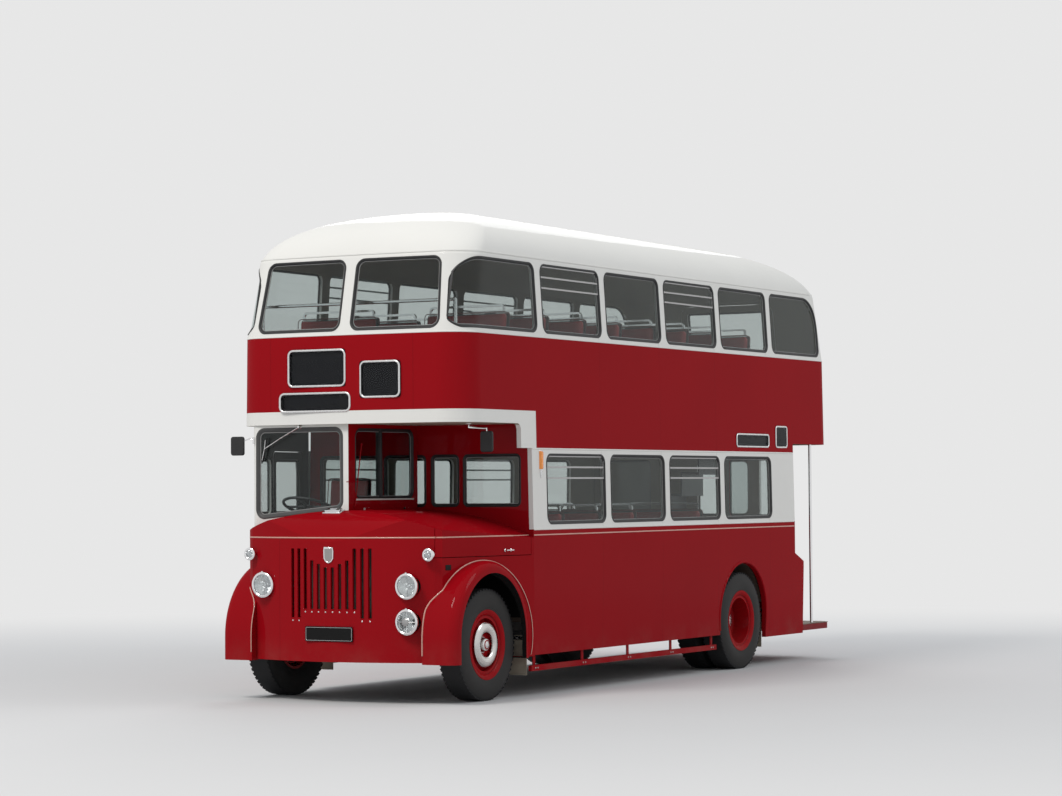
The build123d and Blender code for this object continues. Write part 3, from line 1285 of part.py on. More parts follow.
with BuildPart() as mirrors:
    block((NEAR_MIRROR[0] - 62, NEAR_MIRROR[1] - 14, NEAR_MIRROR[2] - 92),
          (NEAR_MIRROR[0] + 62, NEAR_MIRROR[1] + 14, NEAR_MIRROR[2] + 92))
    fillet(mirrors.edges().filter_by(Axis.Y), MIRROR_R)
    arm_z = NEAR_MIRROR[2] + 50
    rod((NEAR_ARM_X, NEAR_MIRROR[1], CANOPY_Z - SEAT), (NEAR_ARM_X, NEAR_MIRROR[1], arm_z), MIRROR_ARM_R)
    rod((NEAR_ARM_X - MIRROR_ARM_R, NEAR_MIRROR[1], arm_z), (NEAR_MIRROR[0] - 40, NEAR_MIRROR[1], arm_z),
        MIRROR_ARM_R)
    add(offside_mirror.part)
finish(mirrors, "mirrors")

# Rails between the wheels on both sides, on brackets below the skirt
LIFE_RAIL_Z = 225.0
LIFE_RAIL_H = 50.0
LIFE_RAIL_X = 1160.0
LIFE_RAIL_T = 32.0
LIFE_START = FRONT_AXLE_Y + 630.0
LIFE_END = REAR_AXLE_Y + REAR_ARCH_SET - REAR_ARCH_R - 70.0
LIFE_BRACKETS = 5

with BuildPart() as side_rails:
    block((LIFE_RAIL_X, LIFE_START, LIFE_RAIL_Z),
          (LIFE_RAIL_X + LIFE_RAIL_T, LIFE_END, LIFE_RAIL_Z + LIFE_RAIL_H))
    for index in range(LIFE_BRACKETS):
        y = LIFE_START + 60 + index * (LIFE_END - LIFE_START - 160) / (LIFE_BRACKETS - 1)
        block((LIFE_RAIL_X + 4, y, LIFE_RAIL_Z), (LIFE_RAIL_X + 14, y + 40, SKIRT_Z - SEAT))
    mirror(about=Plane.YZ)
finish(side_rails, "side_rails")

# Chassis side rails, cross members and flap bars
FRAME_FRONT_Y = FRONT_Y + 150.0
FRAME_REAR_Y = SALOON_END_Y + 10.0
AXLE_KICK = 575.0
FRAME_T = 9.0
CROSS_MEMBERS = (FRAME_FRONT_Y + 40, FRONT_AXLE_Y + 560, FRONT_AXLE_Y + 1500, FRONT_AXLE_Y + 2500,
                 REAR_AXLE_Y - 700, REAR_AXLE_Y + 700, FRAME_REAR_Y - 60)
CROSS_LOW = 590.0
FLAP_T = 8.0
FRONT_FLAP_Y = FRONT_AXLE_Y + FRONT_ARCH_SET + FRONT_ARCH_R + WING_W + 3.0
REAR_FLAP_Y = REAR_AXLE_Y + REAR_ARCH_SET + REAR_ARCH_R + 40.0
FLAP_BAR_R = 11.0
FLAP_TOP = 545.0
# Flaps: y, inner x, outer x, bottom
FLAPS = (
    (FRONT_FLAP_Y, 905.0, 1150.0, 190.0),
    (REAR_FLAP_Y, 700.0, 1130.0, 190.0),
)
RAIL_PROFILE = (
    (FRAME_FRONT_Y, RAIL_TOP), (FRAME_FRONT_Y, AXLE_KICK), (FRONT_AXLE_Y + 650, AXLE_KICK),
    (FRONT_AXLE_Y + 900, RAIL_LOW), (REAR_AXLE_Y - 900, RAIL_LOW), (REAR_AXLE_Y - 600, AXLE_KICK),
    (REAR_AXLE_Y + 600, AXLE_KICK), (REAR_AXLE_Y + 800, 500.0), (FRAME_REAR_Y, 500.0), (FRAME_REAR_Y, RAIL_TOP),
)

# Spring hangers below the rails: start and end along the vehicle
HANGER_LOW = 542.0
HANGERS = (
    (REAR_AXLE_Y - 655.0, REAR_AXLE_Y - 615.0),
    (REAR_AXLE_Y + 615.0, REAR_AXLE_Y + 655.0),
)

with BuildPart() as chassis_frame:
    extrude(polygon(beside(RAIL_X), RAIL_PROFILE, 0), amount=RAIL_W)
    with BuildSketch(beside(RAIL_X)) as pocket:
        add(polygon(Plane.XY, RAIL_PROFILE, 0))
        offset(amount=-FRAME_T, kind=Kind.INTERSECTION, mode=Mode.REPLACE)
    extrude(pocket.sketch, amount=RAIL_W - FRAME_T, mode=Mode.SUBTRACT)
    for start, end in HANGERS:
        block((RAIL_X + 4, start, HANGER_LOW), (RAIL_X + RAIL_W - 4, end, AXLE_KICK + 5))
    for y, inner_x, outer_x, low in FLAPS:
        rod((RAIL_X + RAIL_W - FRAME_T + 1, y + FLAP_T / 2, FLAP_TOP + FLAP_BAR_R + 20),
            (outer_x + 10, y + FLAP_T / 2, FLAP_TOP + FLAP_BAR_R + 20), FLAP_BAR_R)
        block((inner_x + 20, y, FLAP_TOP + SEAT), (outer_x - 20, y + FLAP_T, FLAP_TOP + FLAP_BAR_R + 12))
    mirror(about=Plane.YZ)
    for y in CROSS_MEMBERS:
        block((-RAIL_X - RAIL_W + FRAME_T, y, CROSS_LOW), (RAIL_X + RAIL_W - FRAME_T, y + 50, RAIL_TOP))
finish(chassis_frame, "chassis_frame")

with BuildPart() as mudflaps:
    for y, inner_x, outer_x, low in FLAPS:
        block((inner_x, y, low), (outer_x, y + FLAP_T, FLAP_TOP))
    mirror(about=Plane.YZ)
finish(mudflaps, "mudflaps")

# Front axle beam with kingpin eyes
BEAM_LOW = 385.0
BEAM_T = 85.0
BEAM_DEPTH = 90.0
EYE_R = 45.0
EYE_H = 120.0

with BuildPart() as front_axle:
    beam = ((-KINGPIN_X, 440), (-720, 440), (-620, BEAM_LOW), (620, BEAM_LOW), (720, 440), (KINGPIN_X, 440),
            (KINGPIN_X, 520), (700, 520), (600, BEAM_LOW + BEAM_T), (-600, BEAM_LOW + BEAM_T), (-700, 520),
            (-KINGPIN_X, 520))
    extrude(polygon(across(FRONT_AXLE_Y - BEAM_DEPTH / 2), beam, 0), amount=-BEAM_DEPTH)
    web_low = BEAM_LOW + 16
    web_high = BEAM_LOW + BEAM_T - 16
    web = ((-560, web_low), (560, web_low), (560, web_high), (-560, web_high))
    for y in (FRONT_AXLE_Y - BEAM_DEPTH / 2 - 1, FRONT_AXLE_Y + 12):
        extrude(polygon(across(y), web, 0), amount=-(BEAM_DEPTH / 2 - 11), mode=Mode.SUBTRACT)
    for side in (-1, 1):
        eye = disc(level(TYRE_R - EYE_H / 2), (side * KINGPIN_X, FRONT_AXLE_Y), EYE_R)
        extrude(eye, amount=EYE_H)
    for side in (-1, 1):
        bore = disc(level(TYRE_R - EYE_H), (side * KINGPIN_X, FRONT_AXLE_Y), KINGPIN_R + RUNNING)
        extrude(bore, amount=2 * EYE_H, mode=Mode.SUBTRACT)
finish(front_axle, "front_axle")

# Knuckles: fork, kingpin, spindle, back plate and steering arm
FORK_T = 34.0
SPINDLE_R = 36.0
SPINDLE_END = FRONT_TRACK_HALF + 92.0
BACKPLATE_R = 184.0
DRUM_IN_X = KINGPIN_X + 66.0
ARM_W = 36.0
ARM_T = 22.0
ARM_PIN_R = 11.0
ROD_EYE_T = 24.0


def knuckle(side):
    """One steering knuckle; side is 1 on the nearside and -1 on the offside."""
    x = side * KINGPIN_X
    low = TYRE_R - EYE_H / 2 - 0.3 - FORK_T
    high = TYRE_R + EYE_H / 2 + 0.3
    with BuildPart() as piece:
        for z in (low, high):
            with BuildSketch(level(z)):
                with Locations((x, FRONT_AXLE_Y)):
                    Circle(EYE_R - 4)
                with Locations((x + side * 35, FRONT_AXLE_Y)):
                    Rectangle(70, 2 * EYE_R - 8)
            extrude(amount=FORK_T)
        wall_in = x + side * (EYE_R + 3)
        wall_out = x + side * 70
        block((min(wall_in, wall_out), FRONT_AXLE_Y - EYE_R + 4, low),
              (max(wall_in, wall_out), FRONT_AXLE_Y + EYE_R - 4, high + FORK_T))
        extrude(disc(level(low), (x, FRONT_AXLE_Y), KINGPIN_R), amount=high + FORK_T - low)
        rod((x + side * 50, FRONT_AXLE_Y, TYRE_R), (side * SPINDLE_END, FRONT_AXLE_Y, TYRE_R), SPINDLE_R)
        rod((x + side * 52, FRONT_AXLE_Y, TYRE_R), (x + side * 59, FRONT_AXLE_Y, TYRE_R), BACKPLATE_R)
        block((x - ARM_W / 2, FRONT_AXLE_Y, low), (x + ARM_W / 2, FRONT_AXLE_Y + ARM_REACH, low + ARM_T))
        extrude(disc(level(low), (x, FRONT_AXLE_Y + ARM_REACH), ARM_W / 2 + 3), amount=ARM_T)
        extrude(disc(level(low), (x, FRONT_AXLE_Y + ARM_REACH), ARM_PIN_R), amount=ARM_T + ROD_EYE_T + 8)
    return piece.part


with BuildPart() as knuckle_nearside:
    add(knuckle(1))
finish(knuckle_nearside, "knuckle_nearside")

with BuildPart() as knuckle_offside:
    add(knuckle(-1))
finish(knuckle_offside, "knuckle_offside")

# Track rod between the two steering arms
ROD_EYE_Z = TYRE_R - EYE_H / 2 - 0.3 - FORK_T + ARM_T + 1.0
TRACK_ROD_R = 11.0

with BuildPart() as track_rod:
    rod_y = FRONT_AXLE_Y + ARM_REACH
    rod_z = ROD_EYE_Z + ROD_EYE_T / 2
    rod((-KINGPIN_X + 15, rod_y, rod_z), (KINGPIN_X - 15, rod_y, rod_z), TRACK_ROD_R)
    for side in (-1, 1):
        extrude(disc(level(ROD_EYE_Z), (side * KINGPIN_X, rod_y), 21), amount=ROD_EYE_T)
    for side in (-1, 1):
        bore = disc(level(ROD_EYE_Z - 5), (side * KINGPIN_X, rod_y), ARM_PIN_R + RUNNING)
        extrude(bore, amount=ROD_EYE_T + 10,
                mode=Mode.SUBTRACT)
finish(track_rod, "track_rod")

# Rear axle with its final drive and spindles
TUBE_R = 58.0
HUB_BORE_R = 45.0
TUBE_END = TWIN_OUTER_X - TWIN_SPACING - 106.0
REAR_SPINDLE_END = TWIN_OUTER_X - 40.0
DRIVE_R = 158.0

with BuildPart() as rear_axle:
    rod((-TUBE_END, REAR_AXLE_Y, TYRE_R), (TUBE_END, REAR_AXLE_Y, TYRE_R), TUBE_R)
    rod((-REAR_SPINDLE_END, REAR_AXLE_Y, TYRE_R), (REAR_SPINDLE_END, REAR_AXLE_Y, TYRE_R), HUB_BORE_R)
    rod((0, REAR_AXLE_Y - 90, TYRE_R), (0, REAR_AXLE_Y + 90, TYRE_R), DRIVE_R)
    rod((0, REAR_AXLE_Y - 210, TYRE_R), (0, REAR_AXLE_Y - 80, TYRE_R), 70)
    for side in (-1, 1):
        rod((side * (TUBE_END - 9), REAR_AXLE_Y, TYRE_R),
            (side * (TUBE_END - 2), REAR_AXLE_Y, TYRE_R), BACKPLATE_R)
    fillet(rear_axle.edges().filter_by(GeomType.CIRCLE).filter_by(lambda e: abs(e.radius - DRIVE_R) < 1), 40)
finish(rear_axle, "rear_axle")

# Leaf springs: y of the axle, underside at the middle, half length, rise at the ends, thickness of the pack
SPRINGS = (
    (FRONT_AXLE_Y, BEAM_LOW + BEAM_T + SEAT, 560.0, AXLE_KICK - BEAM_LOW - BEAM_T - 2 * SEAT - 54.0, 18.0, 3),
    (REAR_AXLE_Y, TYRE_R - TUBE_R - SEAT - 72.0, 640.0, 110.0, 24.0, 3),
)
SPRING_W = RAIL_W

with BuildPart() as leaf_springs:
    for y, low, half, rise, leaf, count in SPRINGS:
        for index in range(count):
            share = 1 - 0.26 * (count - 1 - index)
            reach = half * share
            lift = rise * share ** 2
            base = low + index * leaf
            with BuildSketch(beside(RAIL_X)):
                with BuildLine():
                    ThreePointArc((y - reach, base + lift), (y, base), (y + reach, base + lift))
                    Line((y + reach, base + lift), (y + reach, base + lift + leaf))
                    ThreePointArc((y + reach, base + lift + leaf), (y, base + leaf),
                                  (y - reach, base + lift + leaf))
                    Line((y - reach, base + lift + leaf), (y - reach, base + lift))
                make_face()
            extrude(amount=SPRING_W)
    mirror(about=Plane.YZ)
finish(leaf_springs, "leaf_springs")

# Engine with its gearbox, radiator, shaft and tank
with BuildPart() as engine:
    block((-250, FRONT_Y + 330, 520), (290, FRONT_AXLE_Y + 430, 1240))
    fillet(engine.edges().filter_by(Axis.Y), 50)
    block((-190, FRONT_Y + 430, 480), (190, FRONT_AXLE_Y + 380, 540))
    block((-150, FRONT_AXLE_Y + 400, 440), (150, FRONT_AXLE_Y + 1040, CROSS_LOW - 5))
    for y in (FRONT_Y + 420, FRONT_AXLE_Y + 300):
        block((-RAIL_X - 50, y, AXLE_KICK + FRAME_T + SEAT), (RAIL_X + 50, y + 80, AXLE_KICK + 40))
finish(engine, "engine")

with BuildPart() as radiator:
    block((-360, FRONT_Y + 200, RAIL_TOP + SEAT), (360, FRONT_Y + 290, 1400))
    block((-300, FRONT_Y + 250, 560), (300, FRONT_Y + 285, RAIL_TOP + SEAT))
    for y in (FRONT_Y + 190, FRONT_Y + 282):
        block((-370, y, 1330), (370, y + 18, 1410))
finish(radiator, "radiator")

SHAFT_START = FRONT_AXLE_Y + 1040 + SEAT
SHAFT_END = REAR_AXLE_Y - 210 - SEAT

with BuildPart() as propeller_shaft:
    rod((0, SHAFT_START, 545), (0, SHAFT_START + 60, 545), 62)
    rod((0, SHAFT_START + 50, 545), (0, SHAFT_END - 50, TYRE_R), 38)
    rod((0, SHAFT_END - 60, TYRE_R), (0, SHAFT_END, TYRE_R), 62)
finish(propeller_shaft, "propeller_shaft")

with BuildPart() as fuel_tank:
    block((-1080, FRONT_AXLE_Y + 1500, 385), (-RAIL_X - RAIL_W - SEAT, FRONT_AXLE_Y + 2500, RAIL_TOP - SEAT))
    fillet(fuel_tank.edges().filter_by(Axis.Y), 60)
finish(fuel_tank, "fuel_tank")

# Steering column and wheel in the cab
COLUMN_LOW = (DRIVER_X, CAB_FRONT_Y + 150.0, CAB_FLOOR_Z + SEAT)
COLUMN_HIGH = (DRIVER_X, FRONT_AXLE_Y - 130.0, 1700.0)
STEERING_WHEEL_R = 235.0
STEERING_RIM_R = 13.0

with BuildPart() as steering_column:
    rod((COLUMN_LOW[0], COLUMN_LOW[1], COLUMN_LOW[2] + 20), COLUMN_HIGH, 22)
    block((COLUMN_LOW[0] - 45, COLUMN_LOW[1] - 60, COLUMN_LOW[2]),
          (COLUMN_LOW[0] + 45, COLUMN_LOW[1] + 60, COLUMN_LOW[2] + 50))
    lean = Vector(*COLUMN_HIGH) - Vector(*COLUMN_LOW)
    wheel_plane = Plane(origin=COLUMN_HIGH, x_dir=(1, 0, 0), z_dir=lean)
    with Locations(wheel_plane.location):
        Torus(STEERING_WHEEL_R, STEERING_RIM_R)
    with BuildSketch(wheel_plane.offset(-6)):
        with Locations((0, 0)):
            Rectangle(2 * STEERING_WHEEL_R, 26)
        with Locations((0, -STEERING_WHEEL_R / 2)):
            Rectangle(26, STEERING_WHEEL_R)
        Circle(46)
    extrude(amount=14)
finish(steering_column, "steering_column")

# Wheels: rims and tyres turned about the axle line
def wheel_plane_at(x, y):
    """Plane through the axle line, sketch x outwards along X and sketch y the radius."""
    return Plane(origin=(x, y, TYRE_R), x_dir=(1, 0, 0), z_dir=(0, -1, 0))


def turned(x, y, points, mode=Mode.ADD):
    """Ring turned from a profile of offsets along X and radii."""
    with BuildSketch(wheel_plane_at(x, y)) as profile:
        with BuildLine():
            Polyline(*points, close=True)
        make_face()
    revolve(profile.sketch, axis=Axis((x, y, TYRE_R), (1, 0, 0)), mode=mode)


# Shares of the tyre's width at its bead, shoulder and tread, and of its height at the bulge
BEAD_SHARE = 0.37
SHOULDER_SHARE = 0.42
SHOULDER_DROP = 14.0
BULGE_SHARE = 0.52


def tyre(x, y):
    """One tyre with rounded side walls."""
    half = TYRE_W / 2
    bead = BEAD_SHARE * TYRE_W
    shoulder = SHOULDER_SHARE * TYRE_W
    tread = TREAD_SHARE * TYRE_W
    shoulder_r = TYRE_R - SHOULDER_DROP
    bulge_r = BEAD_R + BULGE_SHARE * (TYRE_R - BEAD_R)
    with BuildSketch(wheel_plane_at(x, y)) as profile:
        with BuildLine():
            Line((-bead, BEAD_R), (bead, BEAD_R))
            ThreePointArc((bead, BEAD_R), (half, bulge_r), (shoulder, shoulder_r))
            Polyline((shoulder, shoulder_r), (tread, TYRE_R), (-tread, TYRE_R), (-shoulder, shoulder_r))
            ThreePointArc((-shoulder, shoulder_r), (-half, bulge_r), (-bead, BEAD_R))
        make_face()
    with BuildPart() as piece:
        revolve(profile.sketch, axis=Axis((x, y, TYRE_R), (1, 0, 0)))
    return piece.part


RIM_OUT = BEAD_R - SEAT
RIM_IN = RIM_OUT - RIM_T
NUT_RING_R = 128.0
NUT_R = 11.0
NUT_FOOT = 60.0
NUT_HEAD = 86.0
FRONT_HUB_R = 66.0
# Front wheel profiles: offset outwards from the tyre's middle, radius
FRONT_DISC = ((30, RIM_IN + 4), (62, 165), (62, 60), (50, 60), (50, 160), (14, RIM_IN + 4))
FRONT_HUB = ((-42, 0), (108, 0), (108, 34), (100, 50), (62, FRONT_HUB_R), (-42, FRONT_HUB_R))
FRONT_DRUM = ((190, 204), (58, 178), (54, 160), (44, 160))
# Bright ring that guards the nuts, and the posts that carry it
GUARD_RING = ((94, 108), (103, 110), (110, 120), (114, 134), (115, 150), (113, 168), (107, 184), (94, 197),
              (89, 194), (99, 181), (104, 166), (106, 150), (105, 136), (101, 124), (94, 115))
GUARD_POST_R = 8.0
GUARD_POST_RING = 152.0
GUARD_POST_HEAD = 110.0
GUARD_POSTS = 5
# Rear wheel profiles: offset outwards from the middle of the pair, radius
REAR_HUB = ((-60, 0), (122, 0), (122, 50), (112, 64), (96, 64), (90, 84), (16, 100), (-60, 100))
REAR_DRUM = ((190, 204), (-10, 176), (-10, 140), (-22, 140), (-22, 170))
REAR_NUT_RING_R = 122.0
REAR_NUT_R = 13.0
REAR_NUT_FOOT = 14.0
REAR_NUT_HEAD = 36.0
REAR_DISC_FACE = 16.0
REAR_DISC_BACK = 3.0
NUT_STEP = 36


def sided(points, side):
    """The same profile with its offsets turned to one side."""
    return tuple((side * along, radius) for along, radius in points)


def rim_barrel(x, y):
    """Plain barrel that carries a tyre."""
    half = RIM_W / 2
    turned(x, y, ((-half, RIM_IN), (half, RIM_IN), (half, RIM_OUT), (-half, RIM_OUT)))


def nuts_round(x, y, ring_r, foot, head, radius):
    """Wheel nuts in a ring, from one offset to another."""
    for angle in range(0, 360, NUT_STEP):
        a = math.radians(angle)
        spot = (y + ring_r * math.cos(a), TYRE_R + ring_r * math.sin(a))
        rod((x + foot, *spot), (x + head, *spot), radius)


def front_rim(side):
    """Front rim with its dished disc, drum, hub and nut guard ring."""
    x = side * FRONT_TRACK_HALF
    y = FRONT_AXLE_Y
    with BuildPart() as piece:
        rim_barrel(x, y)
        turned(x, y, sided(FRONT_DISC, side))
        turned(x, y, sided(FRONT_HUB, side))
        turned(x, y, sided(GUARD_RING, side))
        for post in range(GUARD_POSTS):
            a = 2 * math.pi * (post + 0.5) / GUARD_POSTS
            spot = (y + GUARD_POST_RING * math.cos(a), TYRE_R + GUARD_POST_RING * math.sin(a))
            rod((x + side * (NUT_FOOT - 5), *spot), (x + side * GUARD_POST_HEAD, *spot), GUARD_POST_R)
        drum_in = abs(DRUM_IN_X) - FRONT_TRACK_HALF
        mouth, wide = FRONT_DRUM[0]
        turned(x, y, sided(((drum_in, mouth), (drum_in, wide)) + FRONT_DRUM[1:], side))
        bore_end = SPINDLE_END - FRONT_TRACK_HALF + 1
        bore_r = SPINDLE_R + RUNNING
        turned(x, y, sided(((-60, 0), (bore_end, 0), (bore_end, bore_r), (-60, bore_r)), side),
               mode=Mode.SUBTRACT)
        nuts_round(x, y, NUT_RING_R, side * NUT_FOOT, side * NUT_HEAD, NUT_R)
    return piece.part


def rear_disc(way):
    """Profile of one of the two dished discs, the way it faces."""
    gap = TWIN_SPACING / 2 - RIM_W / 2
    face, back = REAR_DISC_FACE, REAR_DISC_BACK
    return ((way * (gap + 10), RIM_IN + 4), (way * face, 150), (way * face, 80), (back + 0.5 - way * 0.5, 80),
            (back + 0.5 - way * 0.5, 152), (way * (gap - 2), RIM_IN + 4))


def rear_rim(side):
    """Pair of rear rims back to back on one hub with its drum."""
    outer = side * TWIN_OUTER_X
    inner = side * (TWIN_OUTER_X - TWIN_SPACING)
    middle = (outer + inner) / 2
    y = REAR_AXLE_Y
    with BuildPart() as piece:
        for x in (outer, inner):
            rim_barrel(x, y)
        turned(middle, y, sided(rear_disc(1), side))
        turned(middle, y, sided(rear_disc(-1), side))
        turned(middle, y, sided(REAR_HUB, side))
        drum_in = TUBE_END + 6 - abs(middle)
        mouth, wide = REAR_DRUM[0]
        turned(middle, y, sided(((drum_in, mouth), (drum_in, wide)) + REAR_DRUM[1:], side))
        bore_end = REAR_SPINDLE_END - abs(middle) + 1
        bore_r = HUB_BORE_R + RUNNING
        turned(middle, y, sided(((-70, 0), (bore_end, 0), (bore_end, bore_r), (-70, bore_r)), side),
               mode=Mode.SUBTRACT)
        nuts_round(middle, y, REAR_NUT_RING_R, side * REAR_NUT_FOOT, side * REAR_NUT_HEAD, REAR_NUT_R)
    return piece.part


for side, place in ((1, "nearside"), (-1, "offside")):
    with BuildPart() as front_tyre:
        add(tyre(side * FRONT_TRACK_HALF, FRONT_AXLE_Y))
    finish(front_tyre, f"front_tyre_{place}")
    with BuildPart() as rim:
        add(front_rim(side))
    finish(rim, f"front_rim_{place}")
    with BuildPart() as rear_tyres:
        add(tyre(side * TWIN_OUTER_X, REAR_AXLE_Y))
        add(tyre(side * (TWIN_OUTER_X - TWIN_SPACING), REAR_AXLE_Y))
    finish(rear_tyres, f"rear_tyres_{place}")
    with BuildPart() as rims:
        add(rear_rim(side))
    finish(rims, f"rear_rims_{place}")
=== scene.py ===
import math

import bmesh
import bpy
from bpy.props import FloatProperty, FloatVectorProperty, IntProperty, PointerProperty
from bpy.types import Operator, Panel, PropertyGroup
from mathutils import Matrix, Vector
from mathutils.bvhtree import BVHTree


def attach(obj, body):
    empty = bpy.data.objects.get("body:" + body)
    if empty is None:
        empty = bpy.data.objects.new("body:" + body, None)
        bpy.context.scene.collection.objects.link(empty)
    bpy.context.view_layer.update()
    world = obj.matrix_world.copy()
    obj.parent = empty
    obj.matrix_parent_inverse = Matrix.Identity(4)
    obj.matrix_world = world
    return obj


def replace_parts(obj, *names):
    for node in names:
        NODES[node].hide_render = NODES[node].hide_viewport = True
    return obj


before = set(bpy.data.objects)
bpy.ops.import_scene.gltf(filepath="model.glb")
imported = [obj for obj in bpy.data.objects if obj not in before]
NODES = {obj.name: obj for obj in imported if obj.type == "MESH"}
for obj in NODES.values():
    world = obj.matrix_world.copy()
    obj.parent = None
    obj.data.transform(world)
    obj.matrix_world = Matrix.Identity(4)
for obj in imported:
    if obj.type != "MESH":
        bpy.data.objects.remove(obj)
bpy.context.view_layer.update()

bl_info = {
    "name": "Double Decker Bus",
    "version": (1, 0, 0),
    "blender": (4, 5, 0),
    "location": "3D View > Sidebar > Bus",
    "description": "Finishes and trim of a half-cab double decker bus",
    "category": "Object",
}

# Row frame in metres: the front faces -Y, +X is the nearside, +Z is up
FRONT_AXLE = -3.285
REAR_AXLE = 1.719
WHEEL_Z = 0.490
TYRE_R = 0.490
BEAD_R = 0.256
WAIST_Z = 1.436
LOWER_BAND = (1.487, 2.213)
CANOPY_TOP = 2.545
UPPER_WAIST = 3.207
BULKHEAD_Y = -2.645
BAND_DROP_Y = -2.560
SALOON_END = 2.985
NOSE_Y = -4.115
GUTTER_Z = 3.925
PLATFORM_Z = 0.380
MIDDLE = (0.0, 0.1)
BACKDROP = (0.80, 0.80, 0.80)
BLACK = (0.012, 0.012, 0.012)
# Arches: y and z of the middle, and radius of the line that the bead follows
FRONT_ARCH = (-3.345, 0.555, 0.672)
REAR_ARCH = (1.754, 0.530, 0.560)
WING_INNER_X = 0.8845
# Half of the thickness of a paint edge
EDGE = 0.0008
# Directions
FORWARD = Vector((0, -1, 0))
UP = Vector((0, 0, 1))
NEARSIDE = Vector((1, 0, 0))
CENTRE = (0, 0, 0)

# Front lamps: x, y of the rim, z, radius
FOG_LAMP = (0.744, -4.037, 0.712, 0.108)
FRONT_LAMPS = (
    (0.744, -4.037, 1.019, 0.108),
    (-0.744, -4.037, 1.019, 0.108),
    FOG_LAMP,
    (0.925, -3.975, 1.289, 0.052),
    (-0.925, -3.975, 1.289, 0.052),
)
# Indicators: y and z of the middle
INDICATOR = (-2.495, 2.105)
# Tail lamps: x, y of the panel, z, radius
TAIL_LAMPS = (
    (-1.010, 4.059, 0.760, 0.048),
    (-1.010, 4.059, 0.890, 0.048),
    (0.230, 4.112, 0.760, 0.048),
)
# Grille slots from the outer one to the middle: top, bottom
GRILLE_SLOTS = ((1.343, 0.739), (1.343, 0.739), (1.343, 0.816), (1.240, 0.816), (1.210, 0.816), (1.180, 0.816))
GRILLE_PITCH = 0.0725
SLOT_W = 0.034
# Destination boxes: x or y of the middle, z of the middle, width, height
FRONT_BOXES = ((-0.285, 2.925, 0.605, 0.330), (0.372, 2.815, 0.411, 0.323), (-0.307, 2.624, 0.748, 0.173))
SIDE_BOXES = ((2.020, 2.330, 0.790, 0.140), (2.730, 2.375, 0.290, 0.230))
# Wheels: body, side, x of the tyre, y
WHEELS = (
    ("front_wheel_nearside", 1, 0.995, FRONT_AXLE),
    ("front_wheel_offside", -1, -0.995, FRONT_AXLE),
    ("rear_wheels_nearside", 1, 1.086, REAR_AXLE),
    ("rear_wheels_offside", -1, -1.086, REAR_AXLE),
)
INNER_TWIN = 0.290
# Mudflaps: y of the middle, distances of both edges from the middle of the vehicle
MUDFLAPS = ((-2.672, 0.905, 1.150), (2.339, 0.700, 1.130))
# Mirrors: middle, width, height, points of the arm
MIRRORS = (
    ((1.112, -3.285, 2.265), 0.124, 0.184, (
        (0.930, -3.285, 2.428), (0.932, -3.285, 2.395), (1.020, -3.285, 2.385), (1.112, -3.285, 2.380),
        (1.112, -3.285, 2.350))),
    ((-1.161, -3.820, 2.250), 0.140, 0.170, (
        (-0.990, -3.795, 2.300), (-1.040, -3.812, 2.315), (-1.120, -3.812, 2.290), (-1.161, -3.812, 2.250))),
)
# Tread rows: place from the middle, width, share of the pitch, lean in degrees, offset in pitches
TREAD_ROWS = (
    (-0.083, 0.038, 0.58, 14, 0.0), (-0.040, 0.032, 0.80, -12, 0.5), (0.0, 0.030, 0.84, 12, 0.0),
    (0.040, 0.032, 0.80, -12, 0.5), (0.083, 0.038, 0.58, 14, 0.0),
)
# Hub caps, front and rear: rings of (outwards, radius) pairs
HUB_CAPS = {
    True: (((0.112, 0.0), (0.1115, 0.018), (0.109, 0.0305), (0.1035, 0.036), (0.1010, 0.049), (0.094, 0.0545),
            (0.090, 0.0555), (0.088, 0.0545), (0.088, 0.0)),),
    False: (((0.127, 0.0), (0.127, 0.030), (0.1235, 0.044), (0.1225, 0.0515), (0.116, 0.0555), (0.116, 0.0)),
            ((0.0985, 0.066), (0.104, 0.070), (0.104, 0.078), (0.0985, 0.0845), (0.094, 0.0845), (0.094, 0.066))),
}
# Side ring of a rim: radius, height over the tyre's wall
SIDE_RING = ((0.256, -0.004), (0.2590, 0.004), (0.264, 0.0075), (0.282, 0.0070), (0.300, 0.0055), (0.3065, 0.0025),
             (0.3085, -0.003), (0.290, -0.003), (0.270, -0.003))
# Lamps of the stage: name, place, aim, size, share of the key lamp's strength, colour
STAGE_LAMPS = (
    ("key_lamp", (-3.0, -17.0, 18.0), (0.2, -1.5, 2.2), 6.0, 1.8, (1.0, 0.975, 0.94)),
    ("side_lamp", (15.0, 4.0, 15.0), (0.8, 0.3, 2.0), 8.0, 0.6, (0.97, 0.985, 1.0)),
    ("rear_lamp", (-9.0, 16.0, 12.0), (0.0, 2.0, 2.4), 9.0, 0.8, (0.96, 0.98, 1.0)),
)
CAMERA_PLACE = (13.984, -25.457, 1.846)
CAMERA_FORWARD = Vector((-0.48862, 0.87194, 0.03108)).normalized()
CAMERA_UP = Vector((0.02150, -0.02357, 0.99949))
# Seats: places of their front edges on the floor, and of the middles of cushion and back from there
SEAT_PITCH = 0.72
DOUBLE_SEATS = [(side * 0.704, -2.435 + SEAT_PITCH * n, 0.700) for n in range(5) for side in (1, -1)]
DOUBLE_SEATS += [(side * 0.684, -3.390 + SEAT_PITCH * n, 2.490) for n in range(8) for side in (1, -1)]
DRIVER_SEAT = [(-0.665, -3.245, 1.020)]
CUSHION = (0.205, 0.3875)
BACK = (0.482, 0.660)
BACK_LEAN = -5.6
PAD_VOXEL = 0.022


